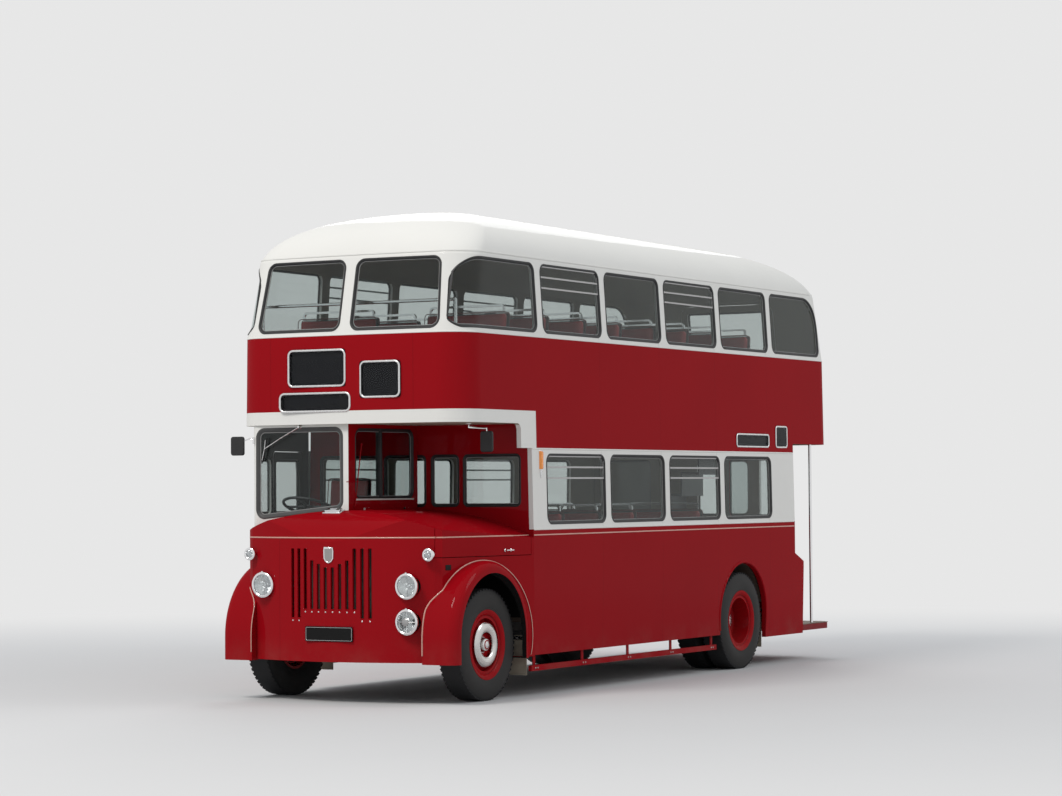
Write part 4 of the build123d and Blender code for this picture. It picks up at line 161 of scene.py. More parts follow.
def beside(seats, offset):
    """Middles of the pads that lie at an offset in y and z from their seats."""
    return [(x, y + offset[0], z + offset[1]) for x, y, z in seats]


# Padded blocks: name, size, parts that the seams make, places of its middle, lean in degrees
PADS = (
    ("seat_cushions", (0.860, 0.410, 0.105), 2, beside(DOUBLE_SEATS, CUSHION), 0.0),
    ("seat_backs", (0.860, 0.075, 0.560), 2, beside(DOUBLE_SEATS, BACK), BACK_LEAN),
    ("driver_cushion", (0.440, 0.410, 0.105), 1, beside(DRIVER_SEAT, CUSHION), 0.0),
    ("driver_back", (0.440, 0.075, 0.560), 1, beside(DRIVER_SEAT, BACK), BACK_LEAN),
    ("bench_cushions", (0.420, 1.748, 0.090), 4, [(side * 0.940, 2.051, 1.176) for side in (1, -1)], 0.0),
    ("bench_backs", (0.075, 1.748, 0.330), 4, [(side * 1.1125, 2.051, 1.386) for side in (1, -1)], 0.0),
)


# Settings that a user would change

class PaintSettings(PropertyGroup):
    crimson: FloatVectorProperty(
        name="Crimson", description="Body colour", subtype="COLOR", size=3, min=0, max=1, default=(0.285, 0.003, 0.007))
    cream: FloatVectorProperty(
        name="Cream White", description="Window bands and roof", subtype="COLOR", size=3, min=0, max=1,
        default=(0.740, 0.732, 0.700))
    lining: FloatVectorProperty(
        name="Lining", description="Cream panels inside", subtype="COLOR", size=3, min=0, max=1,
        default=(0.340, 0.315, 0.250))
    seat: FloatVectorProperty(
        name="Seat Red", description="Leathercloth of the seats", subtype="COLOR", size=3, min=0, max=1,
        default=(0.330, 0.012, 0.014))
    dust: FloatVectorProperty(
        name="Road Dust", description="Film on the lower panels", subtype="COLOR", size=3, min=0, max=1,
        default=(0.230, 0.190, 0.150))


class TrimSettings(PropertyGroup):
    gasket: FloatProperty(
        name="Gasket Width", description="Rubber round the windows", unit="LENGTH", default=0.028, min=0.01, max=0.06)
    moulding: FloatProperty(
        name="Moulding Height", description="Half-round beads on the panels", unit="LENGTH", default=0.016,
        min=0.004, max=0.04)
    piping: FloatProperty(
        name="Wing Piping", description="Radius of the bead between wing and cowl", unit="LENGTH", default=0.0065,
        min=0.002, max=0.02)


class WheelSettings(PropertyGroup):
    tread_blocks: IntProperty(name="Tread Blocks", description="Blocks round each tyre", default=60, min=20, max=120)
    tread_depth: FloatProperty(
        name="Tread Depth", description="Height of the blocks", unit="LENGTH", default=0.011, min=0.002, max=0.02)
    nuts: IntProperty(name="Wheel Nuts", description="Nuts on each wheel", default=10, min=4, max=16)


class StageSettings(PropertyGroup):
    lens: FloatProperty(name="Lens", description="Focal length in millimetres", default=99.31, min=20, max=300)
    key: FloatProperty(name="Key Lamp", description="Strength of the key lamp in watts", default=1350, min=0, max=20000)
    sky: FloatProperty(name="Sky", description="Strength of the even light", default=0.62, min=0, max=5)


# Shader helpers

class Value:
    """A shader number that takes part in sums, so that a mask reads as plain arithmetic."""

    def __init__(self, nodes, socket):
        self.nodes = nodes
        self.socket = socket

    def __add__(self, other):
        return self.nodes.math("ADD", self, other)

    def __sub__(self, other):
        return self.nodes.math("SUBTRACT", self, other)

    def __rsub__(self, other):
        return self.nodes.math("SUBTRACT", other, self)

    def __mul__(self, other):
        return self.nodes.math("MULTIPLY", self, other)

    def __truediv__(self, other):
        return self.nodes.math("DIVIDE", self, other)

    def __pow__(self, other):
        return self.nodes.math("POWER", self, other)

    def __abs__(self):
        return self.nodes.math("ABSOLUTE", self)


class Nodes:
    """A node tree being built."""

    def __init__(self, tree):
        self.tree = tree

    def node(self, kind, settings=None, values=None):
        """A node of any type, its settings first, then the values or links of its sockets."""
        made = self.tree.nodes.new(kind)
        for key, value in (settings or {}).items():
            setattr(made, key, value)
        for key, value in (values or {}).items():
            socket = made.inputs[key if isinstance(key, int) else key.replace("_", " ")]
            if isinstance(value, Value):
                value = value.socket
            if isinstance(value, bpy.types.NodeSocket):
                self.tree.links.new(value, socket)
            else:
                if socket.type == "RGBA" and len(value) == 3:
                    value = (*value, 1.0)
                socket.default_value = value
        return made

    def math(self, operation, *values):
        made = self.node("ShaderNodeMath", {"operation": operation}, dict(enumerate(values)))
        return Value(self, made.outputs[0])

    def backdrop_rays(self):
        """1 for the rays that see the backdrop: camera, glossy and transmission rays."""
        rays = self.node("ShaderNodeLightPath").outputs
        seen = self.math("MAXIMUM", rays["Is Camera Ray"], rays["Is Glossy Ray"])
        return self.math("MAXIMUM", seen, rays["Is Transmission Ray"])

    def mixed_shader(self, factor, first, second):
        made = self.node("ShaderNodeMixShader", {}, {0: factor, 1: first.outputs[0], 2: second.outputs[0]})
        return made.outputs[0]


class Finish(Nodes):
    """A material being built: its nodes, the places on the piece that it reads, and its shader."""

    def __init__(self, name, **sockets):
        self.material = bpy.data.materials.new(name)
        self.material.use_nodes = True
        super().__init__(self.material.node_tree)
        self.tree.nodes.clear()
        self.shader = self.node("ShaderNodeBsdfPrincipled", {}, sockets)
        self.end = self.node("ShaderNodeOutputMaterial", {}, {"Surface": self.shader.outputs[0]})
        coordinates = self.node("ShaderNodeTexCoord")
        self.place = coordinates.outputs["Object"]
        self.x, self.y, self.z = self.split(self.place)
        self.nx, self.ny, self.nz = self.split(coordinates.outputs["Normal"])

    def split(self, vector):
        """The three numbers of a vector."""
        made = self.node("ShaderNodeSeparateXYZ", {}, {0: vector})
        return [Value(self, out) for out in made.outputs]

    def length(self, a, b):
        return self.math("SQRT", a * a + b * b)

    def ramp(self, value, low, high, start=0.0, end=1.0):
        """A number that runs smoothly from start to end while value goes from low to high."""
        made = self.node("ShaderNodeMapRange", {"interpolation_type": "SMOOTHSTEP"},
                         {"Value": value, "From_Min": low, "From_Max": high, "To_Min": start, "To_Max": end})
        return Value(self, made.outputs[0])

    def drop(self, value, low, high):
        """1 below low, 0 above high."""
        return self.ramp(value, low, high, 1.0, 0.0)

    def below(self, value, edge):
        """1 below a sharp edge, 0 above it."""
        return self.drop(value, edge - EDGE, edge + EDGE)

    def between(self, value, low, high, soft=EDGE):
        """1 inside a band, 0 outside."""
        return self.ramp(value, low - soft, low + soft) * self.drop(value, high - soft, high + soft)

    def noise(self, scale, detail=2.0, rough=0.5):
        """Noise from 0 to 1 in the piece's own coordinates."""
        made = self.node("ShaderNodeTexNoise", {},
                         {"Vector": self.place, "Scale": scale, "Detail": detail, "Roughness": rough})
        return Value(self, made.outputs["Fac"])

    def cells(self, scale):
        """Distance to the edges of small cells."""
        made = self.node("ShaderNodeTexVoronoi", {"feature": "DISTANCE_TO_EDGE"},
                         {"Vector": self.place, "Scale": scale})
        return Value(self, made.outputs["Distance"])

    def mix(self, factor, first, second):
        """Colour between two colours."""
        made = self.node("ShaderNodeMix", {"data_type": "RGBA"}, {0: factor, 6: first, 7: second})
        return made.outputs[2]

    def tinted(self, colour, value, amount):
        """A colour made lighter and darker by a number from 0 to 1."""
        low = [c * (1 - amount) for c in colour]
        high = [min(c * (1 + amount), 1.0) for c in colour]
        return self.mix(value, low, high)

    def feed(self, **links):
        """Links numbers or colours to the shader's sockets."""
        for key, value in links.items():
            value = value.socket if isinstance(value, Value) else value
            self.tree.links.new(value, self.shader.inputs[key.replace("_", " ")])

    def bump(self, height, distance, strength):
        made = self.node("ShaderNodeBump", {}, {"Height": height, "Distance": distance, "Strength": strength})
        self.feed(Normal=made.outputs[0])


# Finishes

def paint(name):
    """One of the colours that a user sets."""
    return tuple(getattr(bpy.context.scene.bus_paint, name))


FINISHES = {}


def under_arch(f):
    """1 on the inner faces of the front wheel arches."""
    dy = f.y - FRONT_ARCH[0]
    dz = f.z - FRONT_ARCH[1]
    radius = f.length(dy, dz)
    inward = (f.ny * dy + f.nz * dz) / radius
    return f.drop(inward, -0.5, -0.4) * f.drop(radius, 0.660, 0.664)


def from_axle(f):
    """Distance from the nearer axle's line, and a mask that is 1 at the front axle."""
    front = f.drop(f.y, -0.5, 0.5)
    axle = front * (FRONT_AXLE - REAR_AXLE) + REAR_AXLE
    return f.length(f.y - axle, f.z - WHEEL_Z), front


def inside_mask(f):
    """1 on the faces that look into the vehicle, 0 outside and on the window reveals."""
    ends = f.math("POWER", abs(f.y) * 0.25, 8.0) * f.math("SIGN", f.y)
    across = f.x * abs(f.x)
    facing = f.nx * across + f.ny * ends * 1.1
    low = f.drop(facing, -0.46, -0.40)
    under = f.drop(f.nz, -0.80, -0.72) * f.ramp(f.z, 2.40, 2.42)
    return f.math("MAXIMUM", low, under)


def dusty(f, colour, top=0.62, amount=0.14):
    """Road film that thickens towards the ground, as a colour and its mask."""
    film = f.drop(f.z, 0.20, top) * f.ramp(f.noise(3.2, 5.0, 0.62), 0.35, 0.75)
    return f.mix(film * amount, colour, paint("dust")), film


def seams(f, places, along, width=0.0011):
    """Fine joints between panels where a coordinate crosses each of some places."""
    total = None
    for place in places:
        line = f.between(along, place - width, place + width, 0.0006)
        total = line if total is None else f.math("MAXIMUM", total, line)
    return total


def livery(name, red_mask=None, inside=None, joints=None):
    """Gloss coach paint with road film low down: crimson, cream white, or crimson where a mask is 1.

    inside gives the mask, colour and roughness of the lining, joints the mask of the panel joints.
    """
    f = Finish(name, Roughness=0.22, Coat_Weight=0.13, Coat_Roughness=0.03, Specular_IOR_Level=0.0)
    drift = f.noise(0.9, 3.0, 0.55)
    crimson = f.tinted(paint("crimson"), drift, 0.08)
    cream = f.tinted(paint("cream"), f.noise(1.4, 4.0, 0.6), 0.03)
    if red_mask is None:
        colour = crimson
    elif red_mask == "cream":
        colour = cream
    else:
        colour = f.mix(red_mask(f), cream, crimson)
    colour, film = dusty(f, colour)
    rough = f.noise(14.0, 4.0, 0.6) * 0.08 + 0.13 + film * 0.25
    height = f.noise(2.1, 2.0, 0.5) * 0.8 + f.noise(260.0, 1.0, 0.4) * 0.02
    if joints:
        lines = joints(f)
        colour = f.mix(lines * 0.62, colour, (0.020, 0.003, 0.004))
        height = height - lines * 0.9
    if inside:
        mask, shade, matt = inside(f)
        colour = f.mix(mask, colour, shade)
        rough = rough * (1 - mask) + mask * matt
    f.feed(Base_Color=colour, Roughness=rough)
    f.bump(height, 0.0016, 0.5)
    return f.material


def lined(f):
    """Saloon lining: cream enamel above, red leathercloth boards below each row of windows."""
    panel = f.tinted(paint("lining"), f.noise(2.2, 4.0, 0.6), 0.06)
    grain = f.tinted((0.095, 0.012, 0.012), f.noise(46.0, 3.0, 0.6), 0.22)
    low_panel = f.math("MAXIMUM", f.between(f.z, 0.5, 1.47), f.between(f.z, 2.45, 3.19))
    return inside_mask(f), f.mix(low_panel, panel, grain), 0.5


def undersealed(f):
    """Black underseal inside the cowl and the arches."""
    shade = f.tinted(BLACK, f.noise(30.0), 0.4)
    return f.math("MAXIMUM", inside_mask(f), under_arch(f)), shade, 0.75


def wing_undersealed(f):
    """Black underseal under the wings, which leaves their inner ends in body paint."""
    mask, colour, rough = undersealed(f)
    return mask * f.ramp(abs(f.x), 0.8825, 0.8835), colour, rough


def cab_lined(f):
    """Dark green-grey paint inside the cab."""
    facing = f.nx * (f.x + 0.60) + f.ny * (f.y + 3.25)
    shade = f.tinted((0.040, 0.046, 0.042), f.noise(9.0, 4.0, 0.6), 0.2)
    return f.drop(facing, -0.12, -0.08), shade, 0.5


def bulkhead_lined(f):
    """Cream enamel on the saloon side of the bulkheads, black below the bonnet."""
    facing = f.ny * f.math("SIGN", f.y)
    low = f.drop(f.z, 1.24, 1.26) * f.drop(f.y, 0.0, 0.1)
    shade = f.mix(low, f.tinted(paint("lining"), f.noise(2.2, 4.0, 0.6), 0.06), BLACK)
    return f.math("MAXIMUM", low, f.drop(facing, -0.5, -0.4)), shade, 0.5


def side_joints(f):
    """Upright joints between the side panels, where the panel ends are."""
    return seams(f, (-1.320, -0.083, 1.154, 2.391), f.y) * f.ramp(abs(f.nx), 0.8, 0.9)


def front_joints(f):
    """Joints on the upper front: one on each side of the destination boxes."""
    facing = f.drop(f.ny, -0.6, -0.5)
    level = f.between(f.z, 2.55, 3.2, 0.001)
    return seams(f, (-0.790, 0.700), f.x) * facing * level


def cowl_joints(f):
    """The upright joint of the nose, below the waist."""
    return seams(f, (-0.560,), f.x) * f.drop(f.ny, -0.5, -0.4) * f.drop(f.z, WAIST_Z - 0.01, WAIST_Z)


def upper_red(f):
    """Crimson of the upper deck: below its windows, apart from the canopy band and its drop."""
    return f.below(f.z, UPPER_WAIST) * (1 - f.below(f.y, BAND_DROP_Y) * f.below(f.z, CANOPY_TOP))


def lower_red(f):
    """Crimson of the lower deck: everything below the window band."""
    return f.below(f.z, LOWER_BAND[0])


def cab_red(f):
    """Crimson of the cab: below the waist, and its wall beside the bonnet."""
    beside = f.ramp(f.nx, 0.5, 0.6) * f.ramp(f.x, -0.08, -0.05)
    return f.math("MAXIMUM", lower_red(f), beside)


def enamel(name, colour, rough=0.3, dust_top=0.7, coat=0.3):
    """Plain painted metal with fine unevenness and road film."""
    f = Finish(name, Coat_Weight=coat, Coat_Roughness=0.08)
    shade, film = dusty(f, f.tinted(colour, f.noise(3.0, 4.0, 0.6), 0.14), dust_top)
    f.feed(Base_Color=shade, Roughness=f.noise(22.0, 4.0, 0.6) * 0.16 + rough - 0.06 + film * 0.2)
    f.bump(f.noise(90.0, 3.0, 0.6), 0.0006, 0.5)
    return f.material


def wheel_enamel(name):
    """Red enamel of the rims, with a ring of the front ones and the hub ends in bright metal."""
    f = Finish(name, Coat_Weight=0.13, Coat_Roughness=0.06, Specular_IOR_Level=0.0)
    radius, front = from_axle(f)
    ring = f.between(radius, 0.104, 0.199) * f.ramp(abs(f.x), 1.078, 1.082) * front
    hub = f.ramp(radius, 0.040, 0.044) * f.drop(radius, 0.068, 0.070) * f.ramp(abs(f.x), 1.050, 1.054)
    metal = f.math("MAXIMUM", ring, hub)
    red, film = dusty(f, f.tinted((0.300, 0.005, 0.008), f.noise(5.0, 4.0, 0.6), 0.22), 0.5, 0.12)
    f.feed(Base_Color=f.mix(metal, red, f.tinted((0.66, 0.65, 0.63), f.noise(12.0), 0.1)), Metallic=metal,
           Roughness=f.noise(22.0, 4.0, 0.6) * 0.14 + 0.20 + film * 0.2)
    f.bump(f.noise(90.0, 3.0, 0.6), 0.0005, 0.4)
    return f.material


def bright(name, colour=(0.78, 0.78, 0.79), rough=0.10):
    """Polished or satin metal with faint smears."""
    f = Finish(name, Metallic=1.0)
    f.feed(Base_Color=f.tinted(colour, f.noise(9.0, 4.0, 0.6), 0.07),
           Roughness=f.noise(30.0, 4.0, 0.65) * 0.14 + rough)
    f.bump(f.noise(160.0, 2.0, 0.5), 0.0002, 0.35)
    return f.material


def rubber(name, colour, rough=0.55, grain=120.0, dust_top=0.5):
    f = Finish(name, Specular_IOR_Level=0.35)
    shade, film = dusty(f, f.tinted(colour, f.noise(7.0, 5.0, 0.65), 0.30), dust_top)
    f.feed(Base_Color=shade, Roughness=f.noise(18.0, 3.0, 0.6) * 0.18 + rough + film * 0.1)
    f.bump(f.noise(grain, 4.0, 0.7), 0.0008, 0.6)
    return f.material


def window_glass(name, tint=(0.81, 0.835, 0.83), film=0.008, mirror=0.5):
    """Clear panes: they show what lies behind and mirror more at a glancing angle."""
    f = Finish(name, Metallic=1.0, Base_Color=(0.92, 0.95, 0.95), Roughness=0.02)
    clear = f.node("ShaderNodeBsdfTransparent", {}, {"Color": tint})
    glance = Value(f, f.node("ShaderNodeLayerWeight", {}, {"Blend": 0.5}).outputs["Facing"])
    factor = (glance ** 5.0 * 0.96 + 0.04) * mirror + f.noise(2.6, 4.0, 0.6) * film
    f.tree.links.new(f.mixed_shader(factor, clear, f.shader), f.end.inputs[0])
    return f.material


def lens(name, colour, rough, ribs=0.0):
    """Moulded lens of a small lamp: coloured, glossy, with pressed ribs, and a faint painted glow in its own colour."""
    # Emission Strength 0.12 paints a faint glow in the lens's own colour, as if lit from inside
    f = Finish(name, Coat_Weight=1.0, Coat_Roughness=0.03, Roughness=rough, Emission_Strength=0.12)
    shade = f.tinted(colour, f.noise(60.0, 2.0, 0.5), 0.10)
    f.feed(Base_Color=shade, Emission_Color=shade)
    if ribs:
        f.bump(f.math("SINE", f.z * (2 * math.pi / ribs)), 0.0012, 0.8)
    return f.material


def leathercloth(name):
    """Grained red leathercloth, patchy in tone, its darker patches also shinier."""
    f = Finish(name, Specular_IOR_Level=0.45, Sheen_Weight=0.08)
    hide = f.cells(260.0)
    wear = f.noise(5.0, 5.0, 0.65)
    f.feed(Base_Color=f.tinted(paint("seat"), wear, 0.22), Roughness=wear * 0.22 + 0.32)
    f.bump(hide + f.noise(420.0, 2.0, 0.5) * 0.3 + f.noise(12.0, 3.0, 0.5) * 2.0, 0.0010, 0.6)
    return f.material


def lino(name):
    """Brown floor covering with scuffs, rubbed paler along the gangway."""
    f = Finish(name, Specular_IOR_Level=0.2)
    speck = f.noise(90.0, 3.0, 0.7)
    path = f.drop(abs(f.x), 0.12, 0.34) * f.noise(4.0, 5.0, 0.6)
    colour = f.mix(path * 0.45, f.tinted((0.085, 0.062, 0.048), speck, 0.30), (0.20, 0.17, 0.14))
    edge = f.drop(f.nz, 0.4, 0.5) * f.ramp(f.y, 2.90, 2.92)
    colour = f.mix(edge, colour, (0.190, 0.003, 0.006))
    f.feed(Base_Color=colour, Roughness=f.noise(12.0, 5.0, 0.65) * 0.25 + 0.42)
    f.bump(speck + f.noise(6.0, 4.0, 0.6) * 2.0, 0.0008, 0.4)
    return f.material


def tyre_finish(name):
    """Black rubber, greyed by road dust on the side walls, with moulded rings."""
    f = Finish(name, Specular_IOR_Level=0.3)
    radius, _ = from_axle(f)
    side = f.between(radius, BEAD_R, 0.468, 0.01) * abs(f.nx)
    grime = f.noise(9.0, 6.0, 0.66)
    colour = f.mix(side * (grime * 0.30 + 0.04), f.tinted((0.013, 0.013, 0.014), grime, 0.30), (0.060, 0.055, 0.048))
    rings = f.math("SINE", radius * (2 * math.pi / 0.012)) * f.between(radius, 0.292, 0.330, 0.002)
    f.feed(Base_Color=colour, Roughness=grime * 0.14 + 0.62)
    f.bump(rings * 0.9 + f.noise(140.0, 4.0, 0.7) * 0.5, 0.0012, 0.7)
    return f.material


def plain_board(name, colour, rough):
    """Flat enamelled board with the softest unevenness."""
    f = Finish(name, Coat_Weight=0.04, Coat_Roughness=0.06, Specular_IOR_Level=0.12)
    f.feed(Base_Color=f.tinted(colour, f.noise(8.0, 4.0, 0.6), 0.18), Roughness=f.noise(20.0, 4.0, 0.6) * 0.12 + rough)
    f.bump(f.noise(40.0, 3.0, 0.5), 0.0004, 0.3)
    return f.material


def cast(name, colour):
    """Sandy cast metal with oily patches."""
    f = Finish(name, Metallic=0.15)
    oil = f.ramp(f.noise(6.0, 5.0, 0.65), 0.46, 0.66)
    f.feed(Base_Color=f.mix(oil * 0.7, f.tinted(colour, f.noise(20.0, 4.0, 0.6), 0.2), (0.018, 0.016, 0.013)),
           Roughness=0.62 - oil * 0.28)
    f.bump(f.noise(220.0, 4.0, 0.7), 0.0012, 0.6)
    return f.material


def make_finishes():
    """Every material of the vehicle, by a short name."""
    FINISHES.update(
        upper=livery("Upper Deck Paint", upper_red, lined,
                     lambda f: f.math("MAXIMUM", side_joints(f), front_joints(f))),
        lower=livery("Lower Deck Paint", lower_red, lined, side_joints),
        cab=livery("Cab Paint", cab_red, cab_lined),
        crimson=livery("Crimson Gloss"),
        cowl=livery("Cowl Paint", None, undersealed, cowl_joints),
        wings=livery("Wing Paint", None, wing_undersealed),
        bulkhead=livery("Bulkhead Paint", None, bulkhead_lined),
        cream=livery("Cream White Gloss", "cream"),
        roof=livery("Roof Paint", "cream", lined),
        lining=enamel("Lining Enamel", paint("lining"), 0.45, 0.1, 0.1),
        dark=enamel("Dark Steel Enamel", (0.030, 0.030, 0.033), 0.40, 0.4, 0.2),
        chassis=enamel("Chassis Black", (0.018, 0.018, 0.018), 0.50, 0.9, 0.1),
        wheel=wheel_enamel("Wheel Red Enamel"),
        chrome=bright("Chrome Plate", (0.82, 0.82, 0.83), 0.04),
        alloy=bright("Polished Alloy", (0.72, 0.72, 0.72), 0.20),
        steel=bright("Dull Steel", (0.36, 0.35, 0.34), 0.32),
        vent=bright("Vent Alloy", (0.40, 0.40, 0.40), 0.26),
        gasket=rubber("Window Rubber", (0.020, 0.020, 0.021), 0.42),
        screen_rubber=rubber("Windscreen Rubber", (0.060, 0.060, 0.060), 0.42),
        filler=rubber("Gasket Filler Strip", (0.240, 0.240, 0.235), 0.35),
        canvas=rubber("Mudflap Canvas Rubber", (0.300, 0.262, 0.205), 0.72, 300.0, 0.7),
        tyre=tyre_finish("Tyre Rubber"),
        glass=window_glass("Window Glass"),
        lamp_glass=window_glass("Lamp Glass", (0.94, 0.95, 0.95), 0.02, 0.7),
        blind_glass=window_glass("Blind Glass", (0.94, 0.95, 0.95), 0.0, 0.12),
        amber=lens("Amber Lens", (0.80, 0.24, 0.010), 0.14, 0.012),
        ruby=lens("Ruby Lens", (0.42, 0.004, 0.004), 0.14, 0.010),
        milk=lens("Milk Glass", (0.78, 0.77, 0.70), 0.24),
        seat=leathercloth("Seat Leathercloth"),
        piping=enamel("Seat Piping", (0.090, 0.004, 0.005), 0.45, 0.1, 0.0),
        slat=enamel("Platform Slats", (0.150, 0.110, 0.075), 0.60, 0.5, 0.0),
        lino=lino("Floor Lino"),
        blind=plain_board("Blind Black", (0.007, 0.007, 0.009), 0.45),
        plate=plain_board("Blank Plate Black", (0.006, 0.006, 0.006), 0.30),
        engine=cast("Engine Enamel", (0.060, 0.085, 0.070)),
        moulding=enamel("Moulding Line Enamel", (0.60, 0.30, 0.24), 0.28, 0.1, 0.5),
    )


NODE_FINISH = {
    "upper": ("upper_front", "upper_sides", "upper_rear", "emergency_window"),
    "lower": ("lower_nearside", "lower_offside", "lower_rear"),
    "roof": ("roof",),
    "cowl": ("front_cowl", "bonnet"),
    "wings": ("front_wings",),
    "cab": ("cab_shell", "cab_door"),
    "bulkhead": ("front_bulkhead", "rear_bulkhead"),
    "crimson": ("side_rails",),
    "glass": ("cab_door_glass", "emergency_glass", "glazing"),
    "vent": ("window_vents",),
    "blind": ("destination_boxes",),
    "chrome": ("handrails", "lamps"),
    "gasket": ("mirrors",),
    "canvas": ("mudflaps",),
    "seat": ("seat_cushions",),
    "lining": ("upper_floor",),
    "lino": ("lower_floor",),
    "dark": ("staircase", "seat_frames", "steering_column"),
    "chassis": ("chassis_frame", "front_axle", "knuckle_nearside", "knuckle_offside", "track_rod", "rear_axle",
                "leaf_springs", "propeller_shaft", "fuel_tank"),
    "engine": ("engine", "radiator"),
    "tyre": ("front_tyre_nearside", "front_tyre_offside", "rear_tyres_nearside", "rear_tyres_offside"),
    "wheel": ("front_rim_nearside", "front_rim_offside", "rear_rims_nearside", "rear_rims_offside"),
}
# Slot of the plain model listed for the pieces of each finish, unless a piece names its own; placed() looks it up but
# sets none
FINISH_SLOT = {
    "chrome": "bright_trim", "alloy": "bright_trim", "steel": "bright_trim", "vent": "bright_trim",
    "crimson": "body_red", "moulding": "body_red", "cream": "roof", "plate": "display_black",
    "gasket": "flap_rubber", "screen_rubber": "flap_rubber", "canvas": "flap_rubber", "seat": "seat_red",
    "piping": "seat_red", "lamp_glass": "glass", "blind_glass": "glass", "amber": "lamp_bright",
    "ruby": "lamp_bright", "milk": "lamp_bright", "slat": "floor", "wheel": "wheel_red", "tyre": "tyre",
}


# Mesh helpers: each returns (points, faces), and piece() joins several of them

def slab(low, high, chamfer=0.002, steps=1):
    """Box between two corners with rounded edges."""
    low, high = Vector(map(min, low, high)), Vector(map(max, low, high))
    bm = bmesh.new()
    bmesh.ops.create_cube(bm, size=1.0, matrix=Matrix.Translation((low + high) / 2)
                          @ Matrix.Diagonal((*(high - low), 1.0)))
    bmesh.ops.bevel(bm, geom=bm.edges[:], offset=chamfer, segments=steps, profile=0.5, affect="EDGES")
    bm.verts.index_update()
    part = ([v.co.copy() for v in bm.verts], [[v.index for v in f.verts] for f in bm.faces])
    bm.free()
    return part


def frame_of(axis):
    """Two directions square to an axis."""
    axis = Vector(axis).normalized()
    side = axis.cross(Vector((0, 0, 1)) if abs(axis.z) < 0.9 else Vector((1, 0, 0))).normalized()
    return side, side.cross(axis).normalized()


def lathe(origin, axis, profile, steps=32):
    """Ring or dome turned round an axis from (along, radius) pairs; radius 0 closes it."""
    origin, axis = Vector(origin), Vector(axis).normalized()
    u, v = frame_of(axis)
    points, faces, rows = [], [], []
    for along, radius in profile:
        if radius < 1e-6:
            rows.append([len(points)])
            points.append(origin + axis * along)
        else:
            rows.append(list(range(len(points), len(points) + steps)))
            for k in range(steps):
                a = 2 * math.pi * k / steps
                points.append(origin + axis * along + (u * math.cos(a) + v * math.sin(a)) * radius)
    for a, b in zip(rows, rows[1:]):
        for k in range(steps):
            n = (k + 1) % steps
            if len(a) == 1 and len(b) > 1:
                faces.append((a[0], b[k], b[n]))
            elif len(b) == 1 and len(a) > 1:
                faces.append((a[k], b[0], a[n]))
            elif len(a) > 1:
                faces.append((a[k], b[k], b[n], a[n]))
    return points, faces


def skin(rings, closed=False):
    """Skin over a stack of rings of equal length, capped at both ends unless the stack closes on itself."""
    points = [p for ring in rings for p in ring]
    faces = []
    n = len(rings[0])
    for row in range(len(rings) if closed else len(rings) - 1):
        a, b = row * n, (row + 1) % len(rings) * n
        faces += [(a + k, a + (k + 1) % n, b + (k + 1) % n, b + k) for k in range(n)]
    if not closed:
        faces += [tuple(range(n)), tuple(range(len(points) - n, len(points)))]
    return points, faces


def sweep(path, outs, profile, closed=False):
    """A profile of (sideways, outwards) pairs carried along a path with an outward direction at each point."""
    count = len(path)
    rings = []
    for k in range(count):
        before = path[(k - 1) % count] if closed or k else path[k]
        after = path[(k + 1) % count] if closed or k < count - 1 else path[k]
        along = (after - before).normalized()
        out = (outs[k] - along * outs[k].dot(along)).normalized()
        side = along.cross(out)
        stretch = 1.0
        if before is not path[k] and after is not path[k]:
            bend = (path[k] - before).normalized().dot(along)
            stretch = 1.0 / max(bend, 0.5)
        rings.append([path[k] + side * s * stretch + out * o for s, o in profile])
    return skin(rings, closed)


def bead(path, out, height, proud, closed=True):
    """Half-round bead along points that all face one way."""
    path = [Vector(p) for p in path]
    return sweep(path, [Vector(out)] * len(path), half_round(height, proud), closed)


def tube(path, radius, sides=8, closed=False):
    """Round bar along points."""
    path = [Vector(p) for p in path]
    outs = []
    guide = frame_of(path[1] - path[0])[0]
    for k in range(len(path)):
        along = (path[min(k + 1, len(path) - 1)] - path[max(k - 1, 0)]).normalized()
        guide = (guide - along * guide.dot(along)).normalized()
        outs.append(guide.copy())
    angles = [2 * math.pi * k / sides for k in range(sides)]
    return sweep(path, outs, [(radius * math.cos(a), radius * math.sin(a)) for a in angles], closed)


def half_round(height, proud, steps=6):
    """Profile of a half-round bead."""
    angles = [math.pi * k / steps for k in range(steps + 1)]
    return [(-height / 2 * math.cos(a), proud * math.sin(a)) for a in angles]


def rounded_outline(u, v, w, h, radius, steps=5):
    """Points round a rectangle with rounded corners, about its middle."""
    points = []
    for cx, cy, start in ((w / 2 - radius, h / 2 - radius, 0), (-w / 2 + radius, h / 2 - radius, 90),
                          (-w / 2 + radius, -h / 2 + radius, 180), (w / 2 - radius, -h / 2 + radius, 270)):
        for k in range(steps + 1):
            a = math.radians(start + 90 * k / steps)
            points.append((u + cx + radius * math.cos(a), v + cy + radius * math.sin(a)))
    return points


def sheet_of(outline, place, thickness, chamfer=0.0):
    """Plate with a flat outline; place(u, v, out) puts a point in the row frame."""
    levels = [(0.0, 0.0), (thickness - chamfer, 0.0)]
    if chamfer:
        levels.append((thickness, chamfer))
    mu, mv = (sum(p[i] for p in outline) / len(outline) for i in (0, 1))
    rings = []
    for out, inset in levels:
        ring = []
        for u, v in outline:
            k = 1 - inset / max(math.hypot(u - mu, v - mv), 1e-6)
            ring.append(Vector(place(mu + (u - mu) * k, mv + (v - mv) * k, out)))
        rings.append(ring)
    return skin(rings)


def pan_head(spot, axis, radius=0.0055):
    """Domed head of a small screw that stands on a plate."""
    profile = ((0.25, 0.92), (0.42, 0.5), (0.45, 0.0))
    return lathe(spot, axis, [(-0.001, 0.0), (-0.001, radius)] + [(radius * a, radius * r) for a, r in profile], 14)


